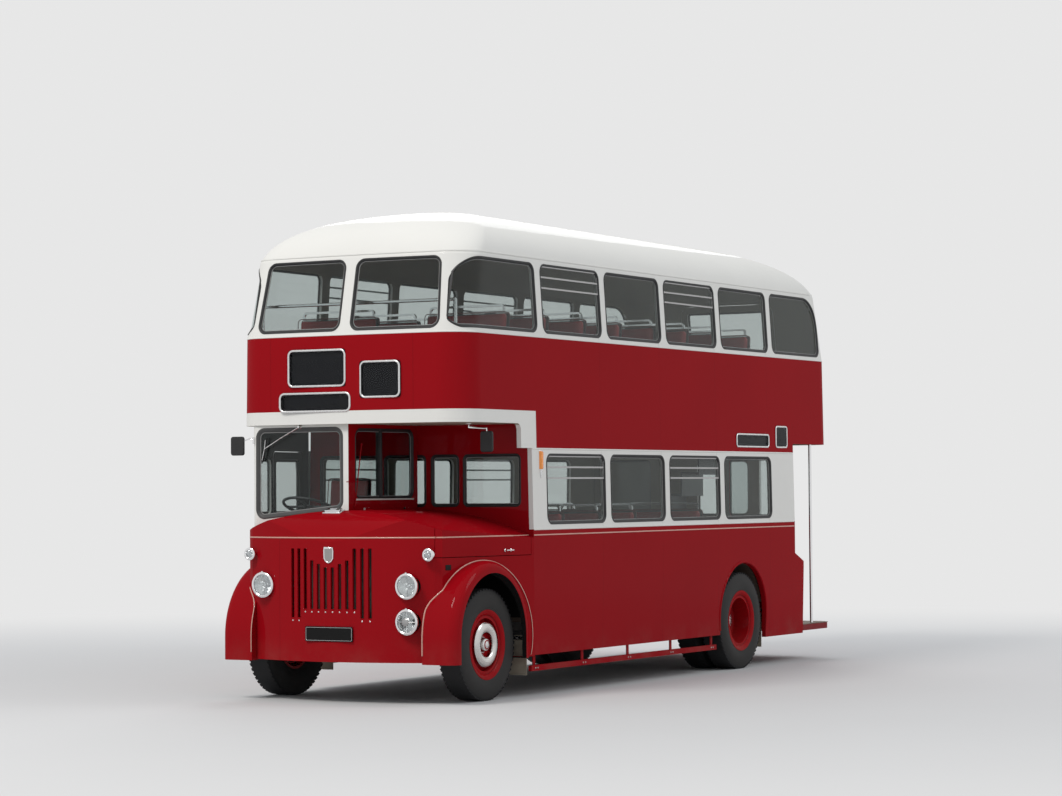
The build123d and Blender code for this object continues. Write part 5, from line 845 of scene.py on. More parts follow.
def moved(part, matrix):
    return [matrix @ Vector(p) for p in part[0]], part[1]


def turned(profile, steps, matrix):
    """Ring or dome turned about the Z of a place."""
    return moved(lathe(CENTRE, UP, profile, steps), matrix)


def piece(name, parts, finish, body="bus", smooth=35.0, slot="finish"):
    """One object from several (points, faces), with its finish, riding on a body."""
    points, faces = [], []
    for p, f in parts:
        base = len(points)
        points += [tuple(x) for x in p]
        faces += [tuple(base + i for i in face) for face in f]
    mesh = bpy.data.meshes.new(name)
    mesh.from_pydata(points, [], faces)
    mesh.validate()
    bm = bmesh.new()
    bm.from_mesh(mesh)
    bmesh.ops.remove_doubles(bm, verts=bm.verts, dist=1e-6)
    bmesh.ops.recalc_face_normals(bm, faces=bm.faces)
    bm.to_mesh(mesh)
    bm.free()
    return placed(name, mesh, finish, body, smooth, slot)


def placed(name, mesh, finish, body="bus", smooth=35.0, slot="finish"):
    """Links a finished mesh, smooths it and lets it ride on a body; the slot of its finish or its own is worked out but
    not set.
    """
    mesh.materials.clear()
    mesh.materials.append(FINISHES[finish])
    mesh.shade_smooth()
    mesh.set_sharp_from_angle(angle=math.radians(smooth))
    made = bpy.data.objects.new(name, mesh)
    bpy.context.scene.collection.objects.link(made)
    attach(made, body)
    if slot == "finish":
        slot = FINISH_SLOT.get(finish)
    return made


def tree_of(*names):
    """Search tree over the faces of some CAD nodes, to find where a piece sits."""
    points, faces = [], []
    for name in names:
        mesh = NODES[name].data
        base = len(points)
        points += [v.co.copy() for v in mesh.vertices]
        faces += [[base + i for i in p.vertices] for p in mesh.polygons]
    return BVHTree.FromPolygons(points, faces)


def seat_on(tree, origin, direction):
    """Where a ray first meets a tree, with the outward normal there."""
    direction = Vector(direction).normalized()
    hit, normal, _, _ = tree.ray_cast(Vector(origin), direction)
    if hit is None:
        return None
    return hit, (-normal if normal.dot(direction) > 0 else normal)


def band_path(tree, z, start, end, steps, centre, reach):
    """Points round the vehicle at one height, between two bearings in degrees seen from a centre."""
    path, outs = [], []
    for k in range(steps + 1):
        a = math.radians(start + (end - start) * k / steps)
        direction = Vector((math.sin(a), -math.cos(a), 0))
        found = seat_on(tree, Vector((*centre, z)) + direction * reach, -direction)
        if found:
            path.append(found[0])
            outs.append(found[1].normalized())
    return path, outs


# Geometry node helpers

class Pattern(Nodes):
    """A geometry node tree with named inputs, run once on a mesh and kept as plain faces."""

    KINDS = {int: "NodeSocketInt", float: "NodeSocketFloat"}

    def __init__(self, name, **inputs):
        super().__init__(bpy.data.node_groups.new(name, "GeometryNodeTree"))
        sockets = self.tree.interface
        sockets.new_socket("Geometry", in_out="INPUT", socket_type="NodeSocketGeometry")
        for label, value in inputs.items():
            made = sockets.new_socket(label.replace("_", " "), in_out="INPUT", socket_type=self.KINDS[type(value)])
            made.default_value = value
        sockets.new_socket("Material", in_out="INPUT", socket_type="NodeSocketMaterial")
        sockets.new_socket("Geometry", in_out="OUTPUT", socket_type="NodeSocketGeometry")
        self.start = self.tree.nodes.new("NodeGroupInput")
        self.end = self.tree.nodes.new("NodeGroupOutput")

    def given(self, label):
        return self.start.outputs[label]

    def close(self, geometry):
        """Ends the tree with real faces and their material."""
        real = self.node("GeometryNodeRealizeInstances", {}, {"Geometry": geometry})
        painted = self.node("GeometryNodeSetMaterial", {},
                            {"Geometry": real.outputs[0], "Material": self.given("Material")})
        self.tree.links.new(painted.outputs[0], self.end.inputs[0])
        return self

    def run(self, source, name, finish, body="bus", smooth=35.0, slot="finish", **values):
        """Runs the tree on a mesh and returns the plain piece that it makes."""
        carrier = bpy.data.objects.new(name + "_carrier", source)
        bpy.context.scene.collection.objects.link(carrier)
        modifier = carrier.modifiers.new("Pattern", "NODES")
        modifier.node_group = self.tree
        wanted = {**{key.replace("_", " "): value for key, value in values.items()}, "Material": FINISHES[finish]}
        for item in self.tree.interface.items_tree:
            if item.item_type == "SOCKET" and item.in_out == "INPUT" and item.name in wanted:
                modifier[item.identifier] = wanted[item.name]
        mesh = bpy.data.meshes.new_from_object(carrier.evaluated_get(bpy.context.evaluated_depsgraph_get()))
        mesh.name = name
        carrier.modifiers.clear()
        bpy.data.objects.remove(carrier)
        return placed(name, mesh, finish, body, smooth, slot)


def points_mesh(name, spots):
    """Loose points, each with the direction that it faces, for a pattern to stand on."""
    mesh = bpy.data.meshes.new(name)
    mesh.from_pydata([tuple(spot) for spot, _ in spots], [], [])
    facing = mesh.attributes.new("facing", "FLOAT_VECTOR", "POINT")
    facing.data.foreach_set("vector", [c for _, direction in spots for c in direction])
    return mesh


def stood(pattern, shape):
    """Instances of a shape on the points, turned so that its Z looks along their facing."""
    facing = pattern.node("GeometryNodeInputNamedAttribute", {"data_type": "FLOAT_VECTOR"}, {"Name": "facing"})
    turn = pattern.node("FunctionNodeAlignRotationToVector", {"axis": "Z"}, {"Vector": facing.outputs["Attribute"]})
    points = pattern.node("GeometryNodeMeshToPoints", {}, {"Mesh": pattern.given("Geometry")})
    made = pattern.node("GeometryNodeInstanceOnPoints", {},
                        {"Points": points.outputs[0], "Instance": shape, "Rotation": turn.outputs[0]})
    return made.outputs[0]


def rivet_pattern():
    """Round heads on points: a flattened ball with ten sides."""
    p = Pattern("Rivets", Radius=0.0045, Height=0.0022)
    ball = p.node("GeometryNodeMeshUVSphere", {}, {"Segments": 10, "Rings": 6, "Radius": 1.0})
    size = p.node("ShaderNodeCombineXYZ", {}, {0: p.given("Radius"), 1: p.given("Radius"), 2: p.given("Height")})
    shaped = p.node("GeometryNodeTransform", {}, {"Geometry": ball.outputs[0], "Scale": size.outputs[0]})
    return p.close(stood(p, shaped.outputs[0]))


def nut_pattern():
    """Hexagon nuts with the stud standing out of each."""
    p = Pattern("Nuts", Radius=0.015, Height=0.014, Stud_Radius=0.008, Stud_Height=0.024)
    both = p.node("GeometryNodeJoinGeometry")
    for sides, radius, height in ((10, "Stud Radius", "Stud Height"), (6, "Radius", "Height")):
        bar = p.node("GeometryNodeMeshCone", {}, {"Vertices": sides, "Radius_Top": p.given(radius),
                                                  "Radius_Bottom": p.given(radius), "Depth": p.given(height)})
        p.tree.links.new(bar.outputs[0], both.inputs[0])
    return p.close(stood(p, both.outputs[0]))


def tread_pattern():
    """Tyre tread: rows of blocks round the tyre, the outer rows narrow and leaning."""
    p = Pattern("Tread", Blocks=60, Radius=0.485, Depth=0.011)
    joined = p.node("GeometryNodeJoinGeometry")
    step = p.math("DIVIDE", 2 * math.pi * TYRE_R, p.given("Blocks"))
    for place, width, share, lean, offset in TREAD_ROWS:
        ring = p.node("GeometryNodeMeshCircle", {}, {"Vertices": p.given("Blocks"), "Radius": p.given("Radius")})
        size = p.node("ShaderNodeCombineXYZ", {}, {0: p.given("Depth"), 1: step * share, 2: width})
        block = p.node("GeometryNodeMeshCube", {}, {"Size": size.outputs[0]})
        leaned = p.node("GeometryNodeTransform", {}, {"Geometry": block.outputs[0],
                                                     "Rotation": (math.radians(lean), 0, 0)})
        normal = p.node("GeometryNodeInputPosition")
        turn = p.node("FunctionNodeAlignRotationToVector", {"axis": "X", "pivot_axis": "Z"},
                      {"Vector": normal.outputs[0]})
        made = p.node("GeometryNodeInstanceOnPoints", {},
                      {"Points": ring.outputs[0], "Instance": leaned.outputs[0], "Rotation": turn.outputs[0]})
        spun = p.node("GeometryNodeTransform", {}, {"Geometry": made.outputs[0], "Translation": (0, 0, place),
                                                   "Rotation": (0, 0, 2 * math.pi / 60 * offset)})
        p.tree.links.new(spun.outputs[0], joined.inputs[0])
    points = p.node("GeometryNodeMeshToPoints", {}, {"Mesh": p.given("Geometry")})
    stand = p.node("GeometryNodeInstanceOnPoints", {}, {
        "Points": points.outputs[0], "Instance": joined.outputs[0], "Rotation": (0, math.radians(90), 0)})
    return p.close(stand.outputs[0])


PATTERN_MAKERS = {"rivet": rivet_pattern, "nut": nut_pattern, "tread": tread_pattern}
PATTERNS = {}


def pattern(name):
    """A pattern, made when it is first wanted."""
    if name not in PATTERNS:
        PATTERNS[name] = PATTERN_MAKERS[name]()
    return PATTERNS[name]


# Window outlines, read from the panes of the CAD model

def pane_loops(node):
    """The outer outline of every pane of a glazing node, with the outward direction at each point."""
    bm = bmesh.new()
    bm.from_mesh(NODES[node].data)
    bmesh.ops.remove_doubles(bm, verts=bm.verts, dist=2e-5)
    seen, loops = set(), []
    for face in bm.faces:
        if face.index in seen:
            continue
        island, todo = [], [face]
        seen.add(face.index)
        while todo:
            one = todo.pop()
            island.append(one)
            for edge in one.edges:
                for other in edge.link_faces:
                    if other.index not in seen:
                        seen.add(other.index)
                        todo.append(other)
        loops += island_loop(island)
    bm.free()
    return loops


def island_loop(island):
    """Outline of the outer skin of one pane, with the way its opening was cut."""
    corners = [v.co for f in island for v in f.verts]
    centre = sum(corners, Vector()) / len(corners)
    widest = max(island, key=lambda f: f.calc_area()).normal
    cut = Vector((1, 0, 0)) if abs(widest.x) > abs(widest.y) else Vector((0, 1, 0))
    if cut.x:
        cut.x = 1.0 if centre.x > (-0.5 if centre.y < -2.7 and centre.z < 2.4 else 0.0) else -1.0
    else:
        cut.y = 1.0 if centre.y > 0 else -1.0
    outer = {f for f in island if f.normal.dot(cut) > 0.08}
    rim = [e for f in island if f in outer for e in f.edges if sum(g in outer for g in e.link_faces) == 1]
    links = {}
    for e in rim:
        a, b = e.verts
        links.setdefault(a, []).append(b)
        links.setdefault(b, []).append(a)
    if not links or any(len(v) != 2 for v in links.values()):
        return []
    start = next(iter(links))
    order, last, now = [start], None, start
    while True:
        step = [v for v in links[now] if v is not last]
        last, now = now, step[0]
        if now is start:
            break
        order.append(now)
    path, outs = [], []
    for v in order:
        normal = sum((f.normal * f.calc_area() for f in v.link_faces if f in outer), Vector())
        if path and (v.co - path[-1]).length < 0.004:
            continue
        path.append(v.co.copy())
        outs.append(normal.normalized())
    return [(path, outs, centre, cut)]


def outward_loop(path, outs, centre):
    """The same loop, turned so that along x out points away from the pane's middle."""
    turn = 0.0
    for k in range(len(path)):
        along = path[(k + 1) % len(path)] - path[k]
        turn += along.cross(outs[k]).dot(path[k] - centre)
    if turn < 0:
        return path[::-1], outs[::-1]
    return path, outs


def gasket(path, outs, centre, cut, profile):
    """Closed bead round a pane: (sideways, height over the glass) pairs, raised along the cut of the opening."""
    path, outs = outward_loop(path, outs, centre)
    rings = []
    for k in range(len(path)):
        along = (path[(k + 1) % len(path)] - path[k - 1]).normalized()
        side = along.cross(outs[k]).normalized()
        lift = cut / max(outs[k].dot(cut), 0.4)
        rings.append([path[k] + side * s + lift * o for s, o in profile])
    return skin(rings, True)


# Pieces

class BUS_OT_paint(Operator):
    """Gives every panel, frame and wheel of the model its paint, metal, rubber or glass"""

    bl_idname = "bus.paint"
    bl_label = "Paint and Materials"

    def execute(self, context):
        make_finishes()
        for finish, names in NODE_FINISH.items():
            for name in names:
                mesh = NODES[name].data
                mesh.materials.clear()
                mesh.materials.append(FINISHES[finish])
        return {"FINISHED"}


class BUS_OT_stage(Operator):
    """Sets the floor, the backdrop, the soft lamps and the camera"""

    bl_idname = "bus.stage"
    bl_label = "Stage"

    def execute(self, context):
        scene = context.scene
        settings = scene.bus_stage
        scene.view_settings.view_transform = "Standard"
        # Floor: it fades to the backdrop's colour far from the vehicle
        f = Finish("Studio Floor", Roughness=0.9, Specular_IOR_Level=0.1)
        f.feed(Base_Color=f.tinted((0.60, 0.60, 0.60), f.noise(0.6), 0.01))
        fade = f.ramp(f.length(f.x, f.y), 6.0, 17.0) * f.backdrop_rays()
        pale = f.node("ShaderNodeEmission", {}, {"Color": BACKDROP, "Strength": 1.0})
        f.tree.links.new(f.mixed_shader(fade, f.shader, pale), f.end.inputs[0])
        mesh = bpy.data.meshes.new("studio_floor")
        reach = 260.0
        mesh.from_pydata([(-reach, -reach, 0), (reach, -reach, 0), (reach, reach, 0), (-reach, reach, 0)], [],
                         [(0, 1, 2, 3)])
        mesh.materials.append(f.material)
        floor = bpy.data.objects.new("studio_floor", mesh)
        scene.collection.objects.link(floor)
        # World: even light on the vehicle, the backdrop's colour behind it
        scene.world = bpy.data.worlds.new("Studio Light")
        scene.world.use_nodes = True
        w = Nodes(scene.world.node_tree)
        w.tree.nodes.clear()
        even = w.node("ShaderNodeBackground", {}, {"Color": (0.93, 0.96, 1.0), "Strength": settings.sky})
        pale = w.node("ShaderNodeBackground", {}, {"Color": BACKDROP, "Strength": 1.0})
        w.node("ShaderNodeOutputWorld", {}, {"Surface": w.mixed_shader(w.backdrop_rays(), even, pale)})
        for name, place, aim, size, share, colour in STAGE_LAMPS:
            data = bpy.data.lights.new(name, "AREA")
            data.shape = "SQUARE"
            data.size = size
            data.energy = settings.key * share
            data.color = colour
            lamp = bpy.data.objects.new(name, data)
            lamp.location = place
            lamp.rotation_euler = (Vector(aim) - Vector(place)).to_track_quat("-Z", "Y").to_euler()
            scene.collection.objects.link(lamp)
        data = bpy.data.cameras.new("camera")
        data.sensor_width = 36.0
        data.lens = settings.lens
        data.clip_end = 600.0
        camera = bpy.data.objects.new("camera", data)
        right = CAMERA_FORWARD.cross(CAMERA_UP).normalized()
        turn = Matrix((right, right.cross(CAMERA_FORWARD), -CAMERA_FORWARD)).transposed()
        camera.matrix_world = Matrix.Translation(CAMERA_PLACE) @ turn.to_4x4()
        scene.collection.objects.link(camera)
        scene.camera = camera
        return {"FINISHED"}


class BUS_OT_gaskets(Operator):
    """Lays the black rubber gaskets round every window"""

    bl_idname = "bus.gaskets"
    bl_label = "Window Gaskets"

    def execute(self, context):
        width = context.scene.bus_trim.gasket
        for node, body in (("glazing", "bus"), ("cab_door_glass", "cab_door"), ("emergency_glass", "emergency_window")):
            parts, inner, screen = [], [], []
            for path, outs, centre, cut in pane_loops(node):
                windscreen = abs(centre.y + 3.79) < 0.02 and centre.z < 2.4
                wide = width * (1.7 if windscreen else 1.0)
                profile = [(-wide * 0.60, 0.0006), (-wide * 0.50, 0.0070), (-wide * 0.10, 0.0185),
                           (width * 0.18, 0.0215), (width * 0.36, 0.0205), (width * 0.44, 0.0165),
                           (width * 0.10, 0.0160), (-0.001, 0.0006)]
                (screen if windscreen else parts).append(gasket(path, outs, centre, cut, profile))
                filler = [(-wide * 0.60 + s, o) for s, o in (
                    (-0.004, 0.0004), (-0.003, 0.0030), (0.0, 0.0042), (0.004, 0.0030), (0.003, 0.0004))]
                inner.append(gasket(path, outs, centre, cut, filler))
            piece("window_gaskets_" + body, parts, "gasket", body, 50.0, None)
            if screen:
                piece("windscreen_gasket", screen, "screen_rubber", body, 50.0)
            piece("window_beads_" + body, inner, "filler", body, 50.0)
        return {"FINISHED"}


class BUS_OT_mouldings(Operator):
    """Runs the half-round mouldings along the waist, the bands and the cowl, parted at the moving panels"""

    bl_idname = "bus.mouldings"
    bl_label = "Mouldings"

    def execute(self, context):
        high = context.scene.bus_trim.moulding
        line, cream, band = half_round(0.012, 0.0045), half_round(high, 0.005), half_round(high * 0.8, 0.0045)
        lower = tree_of("lower_nearside", "lower_offside", "lower_rear")
        lines, creams = [], []
        for side in (1, -1):
            lines.append(sweep(*side_path(lower, WAIST_Z, side), line))
            creams += [sweep(*side_path(lower, z, side), cream) for z in (LOWER_BAND[0], LOWER_BAND[1] - 0.006)]
        cowl = tree_of("front_cowl", "bonnet", "cab_shell", "cab_door")
        stations = [(p, o) for p, o in zip(*band_path(cowl, WAIST_Z, -150, 150, 1000, (0.0, -3.05), 3.0))
                    if p.y < BULKHEAD_Y - 0.001 and p.x > -1.3]
        bonnet, front = [], []
        for p, o in stations:
            if p.x > 0.022 and p.y > -3.90:
                bonnet.append((p, o))
            elif abs(p.x) > 0.9 or p.y < -3.7:
                front.append((p, o))
        on_door, beside_door = runs_on(tree_of("cab_door"), front)
        lines += [sweep(*run, line) for run in beside_door]
        piece("cab_door_moulding", [sweep(*run, line) for run in on_door], "moulding", "cab_door")
        piece("bonnet_moulding", [sweep(*zip(*bonnet), line)], "moulding", "bonnet")
        piece("waist_moulding", lines, "moulding")
        upper = tree_of("upper_front", "upper_sides", "upper_rear", "emergency_window")
        stations = list(zip(*band_path(upper, UPPER_WAIST + 0.006, 0, 360, 3000, MIDDLE, 7.0)))
        on_window, beside_window = runs_on(tree_of("emergency_window"), stations, True)
        creams += [sweep(*run, band) for run in beside_window]
        piece("emergency_window_moulding", [sweep(*run, band) for run in on_window], "cream", "emergency_window")
        piece("band_mouldings", creams, "cream")
        return {"FINISHED"}


def runs_on(tree, stations, closed=False):
    """Splits a line into its stretches on a tree and those beside it, each as places and outward directions."""
    runs = {True: [], False: []}
    last = None
    for spot, out in stations:
        on = tree.find_nearest(spot)[3] < 2e-4
        if on != last:
            runs[on].append(([], []))
        runs[on][-1][0].append(spot)
        runs[on][-1][1].append(out)
        last = on
    first = tree.find_nearest(stations[0][0])[3] < 2e-4
    if closed and first == last and len(runs[last]) > 1:
        start = runs[last].pop(0)
        for kept, more in zip(runs[last][-1], start):
            kept.extend(more)
    return [[r for r in runs[on] if len(r[0]) > 2] for on in (True, False)]


def side_path(tree, z, side, steps=60):
    """Points along one side of the saloon at a height, with their outward directions."""
    start, end = BULKHEAD_Y + 0.004, SALOON_END + 0.02
    path, outs = [], []
    for k in range(steps + 1):
        found = seat_on(tree, (side * 2.0, start + (end - start) * k / steps, z), (-side, 0, 0))
        if found and abs(found[0].x) > 1.0:
            path.append(found[0])
            outs.append(found[1])
    return path, outs


class BUS_OT_front_lamps(Operator):
    """Builds the headlamps, fog lamp and side lamps: bowl, bulb, lens and chrome rim"""

    bl_idname = "bus.front_lamps"
    bl_label = "Front Lamps"

    def execute(self, context):
        bowls, lenses, rims, bulbs, ribs, guard = [], [], [], [], [], []
        shares = [k / 10 for k in range(11)]
        for x, y, z, r in FRONT_LAMPS:
            spot = (x, y, z)
            inner = r - 0.016
            large = r > 0.08
            depth = min(0.070, r * 0.75)
            dome = 0.17 * r
            bowl = [(-depth * (1 - t * t) + 0.004 * t, inner * t) for t in shares]
            back = -depth - 0.003
            bowls.append(lathe(spot, FORWARD, bowl + [(0.0, inner), (back, 0.010), (back, 0.0)], 40))
            wide = (0.016, 0.014) if large else (0.008, 0.007)
            bulbs.append(lathe(spot, FORWARD, [(-depth, 0.0), (-depth, wide[0]), (-depth * 0.35, wide[1]),
                                               (-depth * 0.25, 0.0)], 16))
            arc = [(0.006 + dome * (1 - t * t), inner * t) for t in shares]
            lenses.append(lathe(spot, FORWARD, arc + [(along - 0.0025, radius) for along, radius in reversed(arc)], 40))
            rims.append(lathe(spot, FORWARD, [
                (-0.004, inner - 0.001), (0.006, inner - 0.003), (0.013, inner - 0.001), (0.0165, inner + 0.004),
                (0.015, r - 0.002), (0.009, r + 0.0045), (0.000, r + 0.006), (-0.012, r + 0.004),
                (-0.012, inner + 0.002)], 48))
            if large:
                rims.append(moved(slab((-0.009, -0.007, -0.006), (0.009, 0.007, 0.010), 0.002),
                                  Matrix.Translation((x, y - 0.010, z + r + 0.002))))
                for k in range(-6, 7):
                    u = k * inner / 7.2
                    tall = math.sqrt(max(inner ** 2 - u ** 2, 0)) * 0.93
                    ribs.append(bead([(x + u, y - 0.0085 - dome * (1 - (u * u + v * v) / inner ** 2), z + v)
                                      for v in (tall * (j / 5 - 1) for j in range(11))], FORWARD, 0.007, 0.0016, False))
            if spot == FOG_LAMP[:3]:
                front = y - 0.006 - dome
                guard = fog_guard(spot, inner, front)
                bulbs.append(lathe(spot, FORWARD, [(0.004, 0.0), (0.006, 0.020), (-0.002, 0.034), (-0.004, 0.030)], 24))
                for a in (0, 90, 180, 270):
                    turn = Matrix.Translation(spot) @ Matrix.Rotation(math.radians(a), 4, "Y")
                    bulbs.append(moved(slab((0.030, -0.003, -0.004), (inner - 0.004, 0.002, 0.004), 0.001), turn))
        piece("front_lamp_bowls", bowls, "chrome", slot="lamp_bright")
        piece("front_lamp_bulbs", bulbs, "chrome", slot="lamp_bright")
        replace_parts(piece("front_lamp_rims", rims, "chrome"), "lamps")
        piece("front_lamp_lenses", lenses, "lamp_glass", smooth=60)
        piece("front_lamp_lens_ribs", ribs, "lamp_glass")
        piece("fog_lamp_guard", guard, "vent")
        return {"FINISHED"}


def fog_guard(spot, inner, front):
    """Cap and crossbar in front of the fog lamp."""
    x, y, z = spot
    cap = [(-0.004, 0.0), (-0.004, 0.034), (0.003, 0.034), (0.007, 0.028), (0.008, 0.0)]
    bar = [(x - inner + 0.002, y - 0.008, z), (x - 0.05, front + 0.002, z), (x, front - 0.004, z),
           (x + 0.05, front + 0.002, z), (x + inner - 0.002, y - 0.008, z)]
    return [lathe((x, front, z), FORWARD, cap, 24), tube(bar, 0.0045)]


class BUS_OT_small_lamps(Operator):
    """Builds the amber indicators and the red tail lamps"""

    bl_idname = "bus.small_lamps"
    bl_label = "Indicators and Tail Lamps"

    def execute(self, context):
        amber, cases, ruby, rims = [], [], [], []
        y, z = INDICATOR
        for side in (1, -1):
            cases.append(sheet_of(rounded_outline(y, z, 0.062, 0.178, 0.016),
                                  lambda u, v, o: (side * (1.202 + o), u, v), 0.010, 0.002))
            outline = rounded_outline(y, z, 0.052, 0.166, 0.013)
            amber.append(skin([[Vector((side * (1.212 + out), y + (u - y) * (1 - shrink / 0.026),
                                        z + (v - z) * (1 - shrink / 0.083))) for u, v in outline]
                               for out, shrink in ((0.0, 0.0), (0.012, 0.002), (0.019, 0.008), (0.022, 0.018))]))
            cases.append(lathe((side * 1.2135, y, 2.012), -UP, [(0.0, 0.0), (0.0, 0.014), (0.030, 0.010),
                                                                (0.062, 0.004), (0.070, 0.0)], 12))
        for *base, r in TAIL_LAMPS:
            rims.append(lathe(base, -FORWARD, [(-0.004, 0.0), (-0.004, r + 0.004), (0.008, r + 0.004), (0.012, r),
                                               (0.012, r - 0.005), (0.006, r - 0.006), (0.006, 0.0)], 32))
            ruby.append(lathe(base, -FORWARD, [(0.0061, 0.0), (0.0061, r - 0.0065), (0.014, r - 0.008),
                                               (0.020, r * 0.55), (0.0225, 0.0)], 32))
        piece("indicator_cases", cases, "chrome")
        piece("indicator_lenses", amber, "amber")
        piece("tail_lamp_rims", rims, "chrome")
        piece("tail_lamp_lenses", ruby, "ruby")
        return {"FINISHED"}


def nose_y(x):
    """y of the curved nose face."""
    return NOSE_Y + 0.205 * (x / 0.942) ** 2


class BUS_OT_nose(Operator):
    """Adds the grille edges and screws, the blank badge and the blank number plate"""

    bl_idname = "bus.nose"
    bl_label = "Nose Details"

    def execute(self, context):
        cowl = tree_of("front_cowl", "bonnet")
        lips, screws = [], []
        for rank, (top, low) in enumerate(GRILLE_SLOTS):
            for side in (-1, 1):
                x = side * (len(GRILLE_SLOTS) - 0.5 - rank) * GRILLE_PITCH
                outline = rounded_outline(x, (top + low) / 2, SLOT_W + 0.004, top - low + 0.004, 0.006, 3)
                lips.append(bead([(u, nose_y(u), v) for u, v in outline], FORWARD, 0.007, 0.0035))
                screws.append(seat_on(cowl, (x, -5.0, low - 0.024), -FORWARD))
        piece("grille_lips", lips, "crimson")
        pattern("rivet").run(points_mesh("screws", screws), "grille_screws", "alloy", Radius=0.0075, Height=0.004)
        # Blank badge: chrome frame round a plain shield
        shield = [(-0.047, 0.068), (0.047, 0.068), (0.050, 0.040), (0.048, -0.030), (0.030, -0.058), (0.0, -0.072),
                  (-0.030, -0.058), (-0.048, -0.030), (-0.050, 0.040)]
        middle = seat_on(cowl, (0.0, -5.0, 1.285), -FORWARD)[0]

        def put(u, v, out):
            return u, middle.y - 0.0005 - out, middle.z + v

        piece("badge_plate", [sheet_of([(u * 0.9, v * 0.9) for u, v in shield], put, 0.006, 0.002)], "steel")
        frame_line = [put(u * 0.92, v * 0.92, 0.002) for u, v in shield]
        piece("badge_frame", [bead(frame_line, FORWARD, 0.012, 0.0075)], "chrome")
        # Blank number plate
        plate = [sheet_of(rounded_outline(0.0, 0.602, 0.488, 0.130, 0.010),
                          lambda u, v, o: (u, NOSE_Y - o, v), 0.007, 0.002)]
        plate += [pan_head((x, NOSE_Y - 0.0068, 0.602), FORWARD) for x in (-0.205, 0.205)]
        edge = [(u, NOSE_Y - 0.0065, v) for u, v in rounded_outline(0.0, 0.602, 0.470, 0.112, 0.008)]
        piece("number_plate", plate, "plate")
        piece("number_plate_edge", [bead(edge, FORWARD, 0.003, 0.0012)], "alloy")
        return {"FINISHED"}


class BUS_OT_destination_boxes(Operator):
    """Frames the blank destination boxes in bright metal behind glass"""

    bl_idname = "bus.destination_boxes"
    bl_label = "Destination Boxes"

    def execute(self, context):
        rims, panes = [], []
        boxes = tree_of("destination_boxes")
        for x, z, w, h in FRONT_BOXES:
            y = seat_on(boxes, (x, -5.0, z + h / 2 - 0.012), -FORWARD)[0].y
            outline = rounded_outline(x, z, w - 0.014, h - 0.014, 0.045)
            rims.append(bead([(u, y, v) for u, v in outline], FORWARD, 0.020, 0.007))
            panes.append(sheet_of(rounded_outline(x, z, w - 0.030, h - 0.030, 0.037),
                                  lambda u, v, o: (u, y - 0.0006 - o, v), 0.0025))
        for y, z, w, h in SIDE_BOXES:
            x = seat_on(boxes, (2.0, y, z + h / 2 - 0.012), -NEARSIDE)[0].x
            outline = rounded_outline(y, z, w - 0.014, h - 0.014, 0.030)
            rims.append(bead([(x, u, v) for u, v in outline], NEARSIDE, 0.018, 0.006))
            panes.append(sheet_of(rounded_outline(y, z, w - 0.030, h - 0.030, 0.022),
                                  lambda u, v, o: (x + 0.0006 + o, u, v), 0.0025))
        piece("destination_rims", rims, "alloy")
        piece("destination_glass", panes, "blind_glass")
        return {"FINISHED"}


class BUS_OT_wing_piping(Operator):
    """Lays the pale bead between the wings and the cowl and the beads round the rear arches"""

    bl_idname = "bus.wing_piping"
    bl_label = "Wing Piping and Arch Beads"

    def execute(self, context):
        radius = context.scene.bus_trim.piping
        cowl = tree_of("front_cowl", "bonnet")
        lower = tree_of("lower_nearside", "lower_offside")
        wing, arch = [], []
        # One line: up the wing's front edge, over the arch and down to the bulkhead
        arch_y, arch_z, arch_r = FRONT_ARCH
        line = [(arch_y - arch_r, 0.425 + 0.0325 * k, math.pi) for k in range(4)]
        line += [(arch_y + arch_r * math.cos(a), arch_z + arch_r * math.sin(a), a)
                 for a in (math.radians(180 - 198 * k / 60) for k in range(61))]
        line = [station for station in line if station[0] <= BULKHEAD_Y - 0.01]
        for side in (1, -1):
            reach = []
            for y, z, _ in line:
                found = seat_on(cowl, (side * 2.0, y, z), (-side, 0, 0))
                reach.append(max(abs(found[0].x), WING_INNER_X) if found and abs(found[0].x) > 0.872 else WING_INNER_X)
            path, outs = [], []
            for k, (y, z, a) in enumerate(line):
                near = reach[max(k - 2, 0):k + 3]
                path.append(Vector((side * max(reach[k], sum(near) / len(near)), y, z)))
                outs.append(Vector((side, 0.9 * math.cos(a), 0.9 * math.sin(a))).normalized())
            wing.append(sweep(path, outs, half_round(2 * radius, radius)))
            path, outs = [], []
            arch_y, arch_z, arch_r = REAR_ARCH
            for k in range(61):
                a = math.radians(196 - 212 * k / 60)
                z = arch_z + arch_r * math.sin(a)
                found = seat_on(lower, (side * 2.0, arch_y + arch_r * math.cos(a), z), (-side, 0, 0))
                if found and abs(found[0].x) > 1.1 and z > 0.38:
                    path.append(found[0])
                    outs.append(found[1])
            arch.append(sweep(path, outs, half_round(0.026, 0.009)))
        piece("wing_piping", wing, "moulding")
        piece("rear_arch_beads", arch, "crimson")
        return {"FINISHED"}


def side_wall(radius):
    """How far out the tyre's wall lies at a radius: the arc through its bead, bulge and shoulder."""
    low = Vector((0.0888, BEAD_R))
    a = Vector((0.120, BEAD_R + 0.52 * (TYRE_R - BEAD_R))) - low
    b = Vector((0.1008, TYRE_R - 0.014)) - low
    cross = 2 * (a.x * b.y - a.y * b.x)
    centre = Vector((b.y * a.length_squared - a.y * b.length_squared,
                     a.x * b.length_squared - b.x * a.length_squared)) / cross
    return low.x + centre.x + math.sqrt(centre.length_squared - (radius - low.y - centre.y) ** 2)


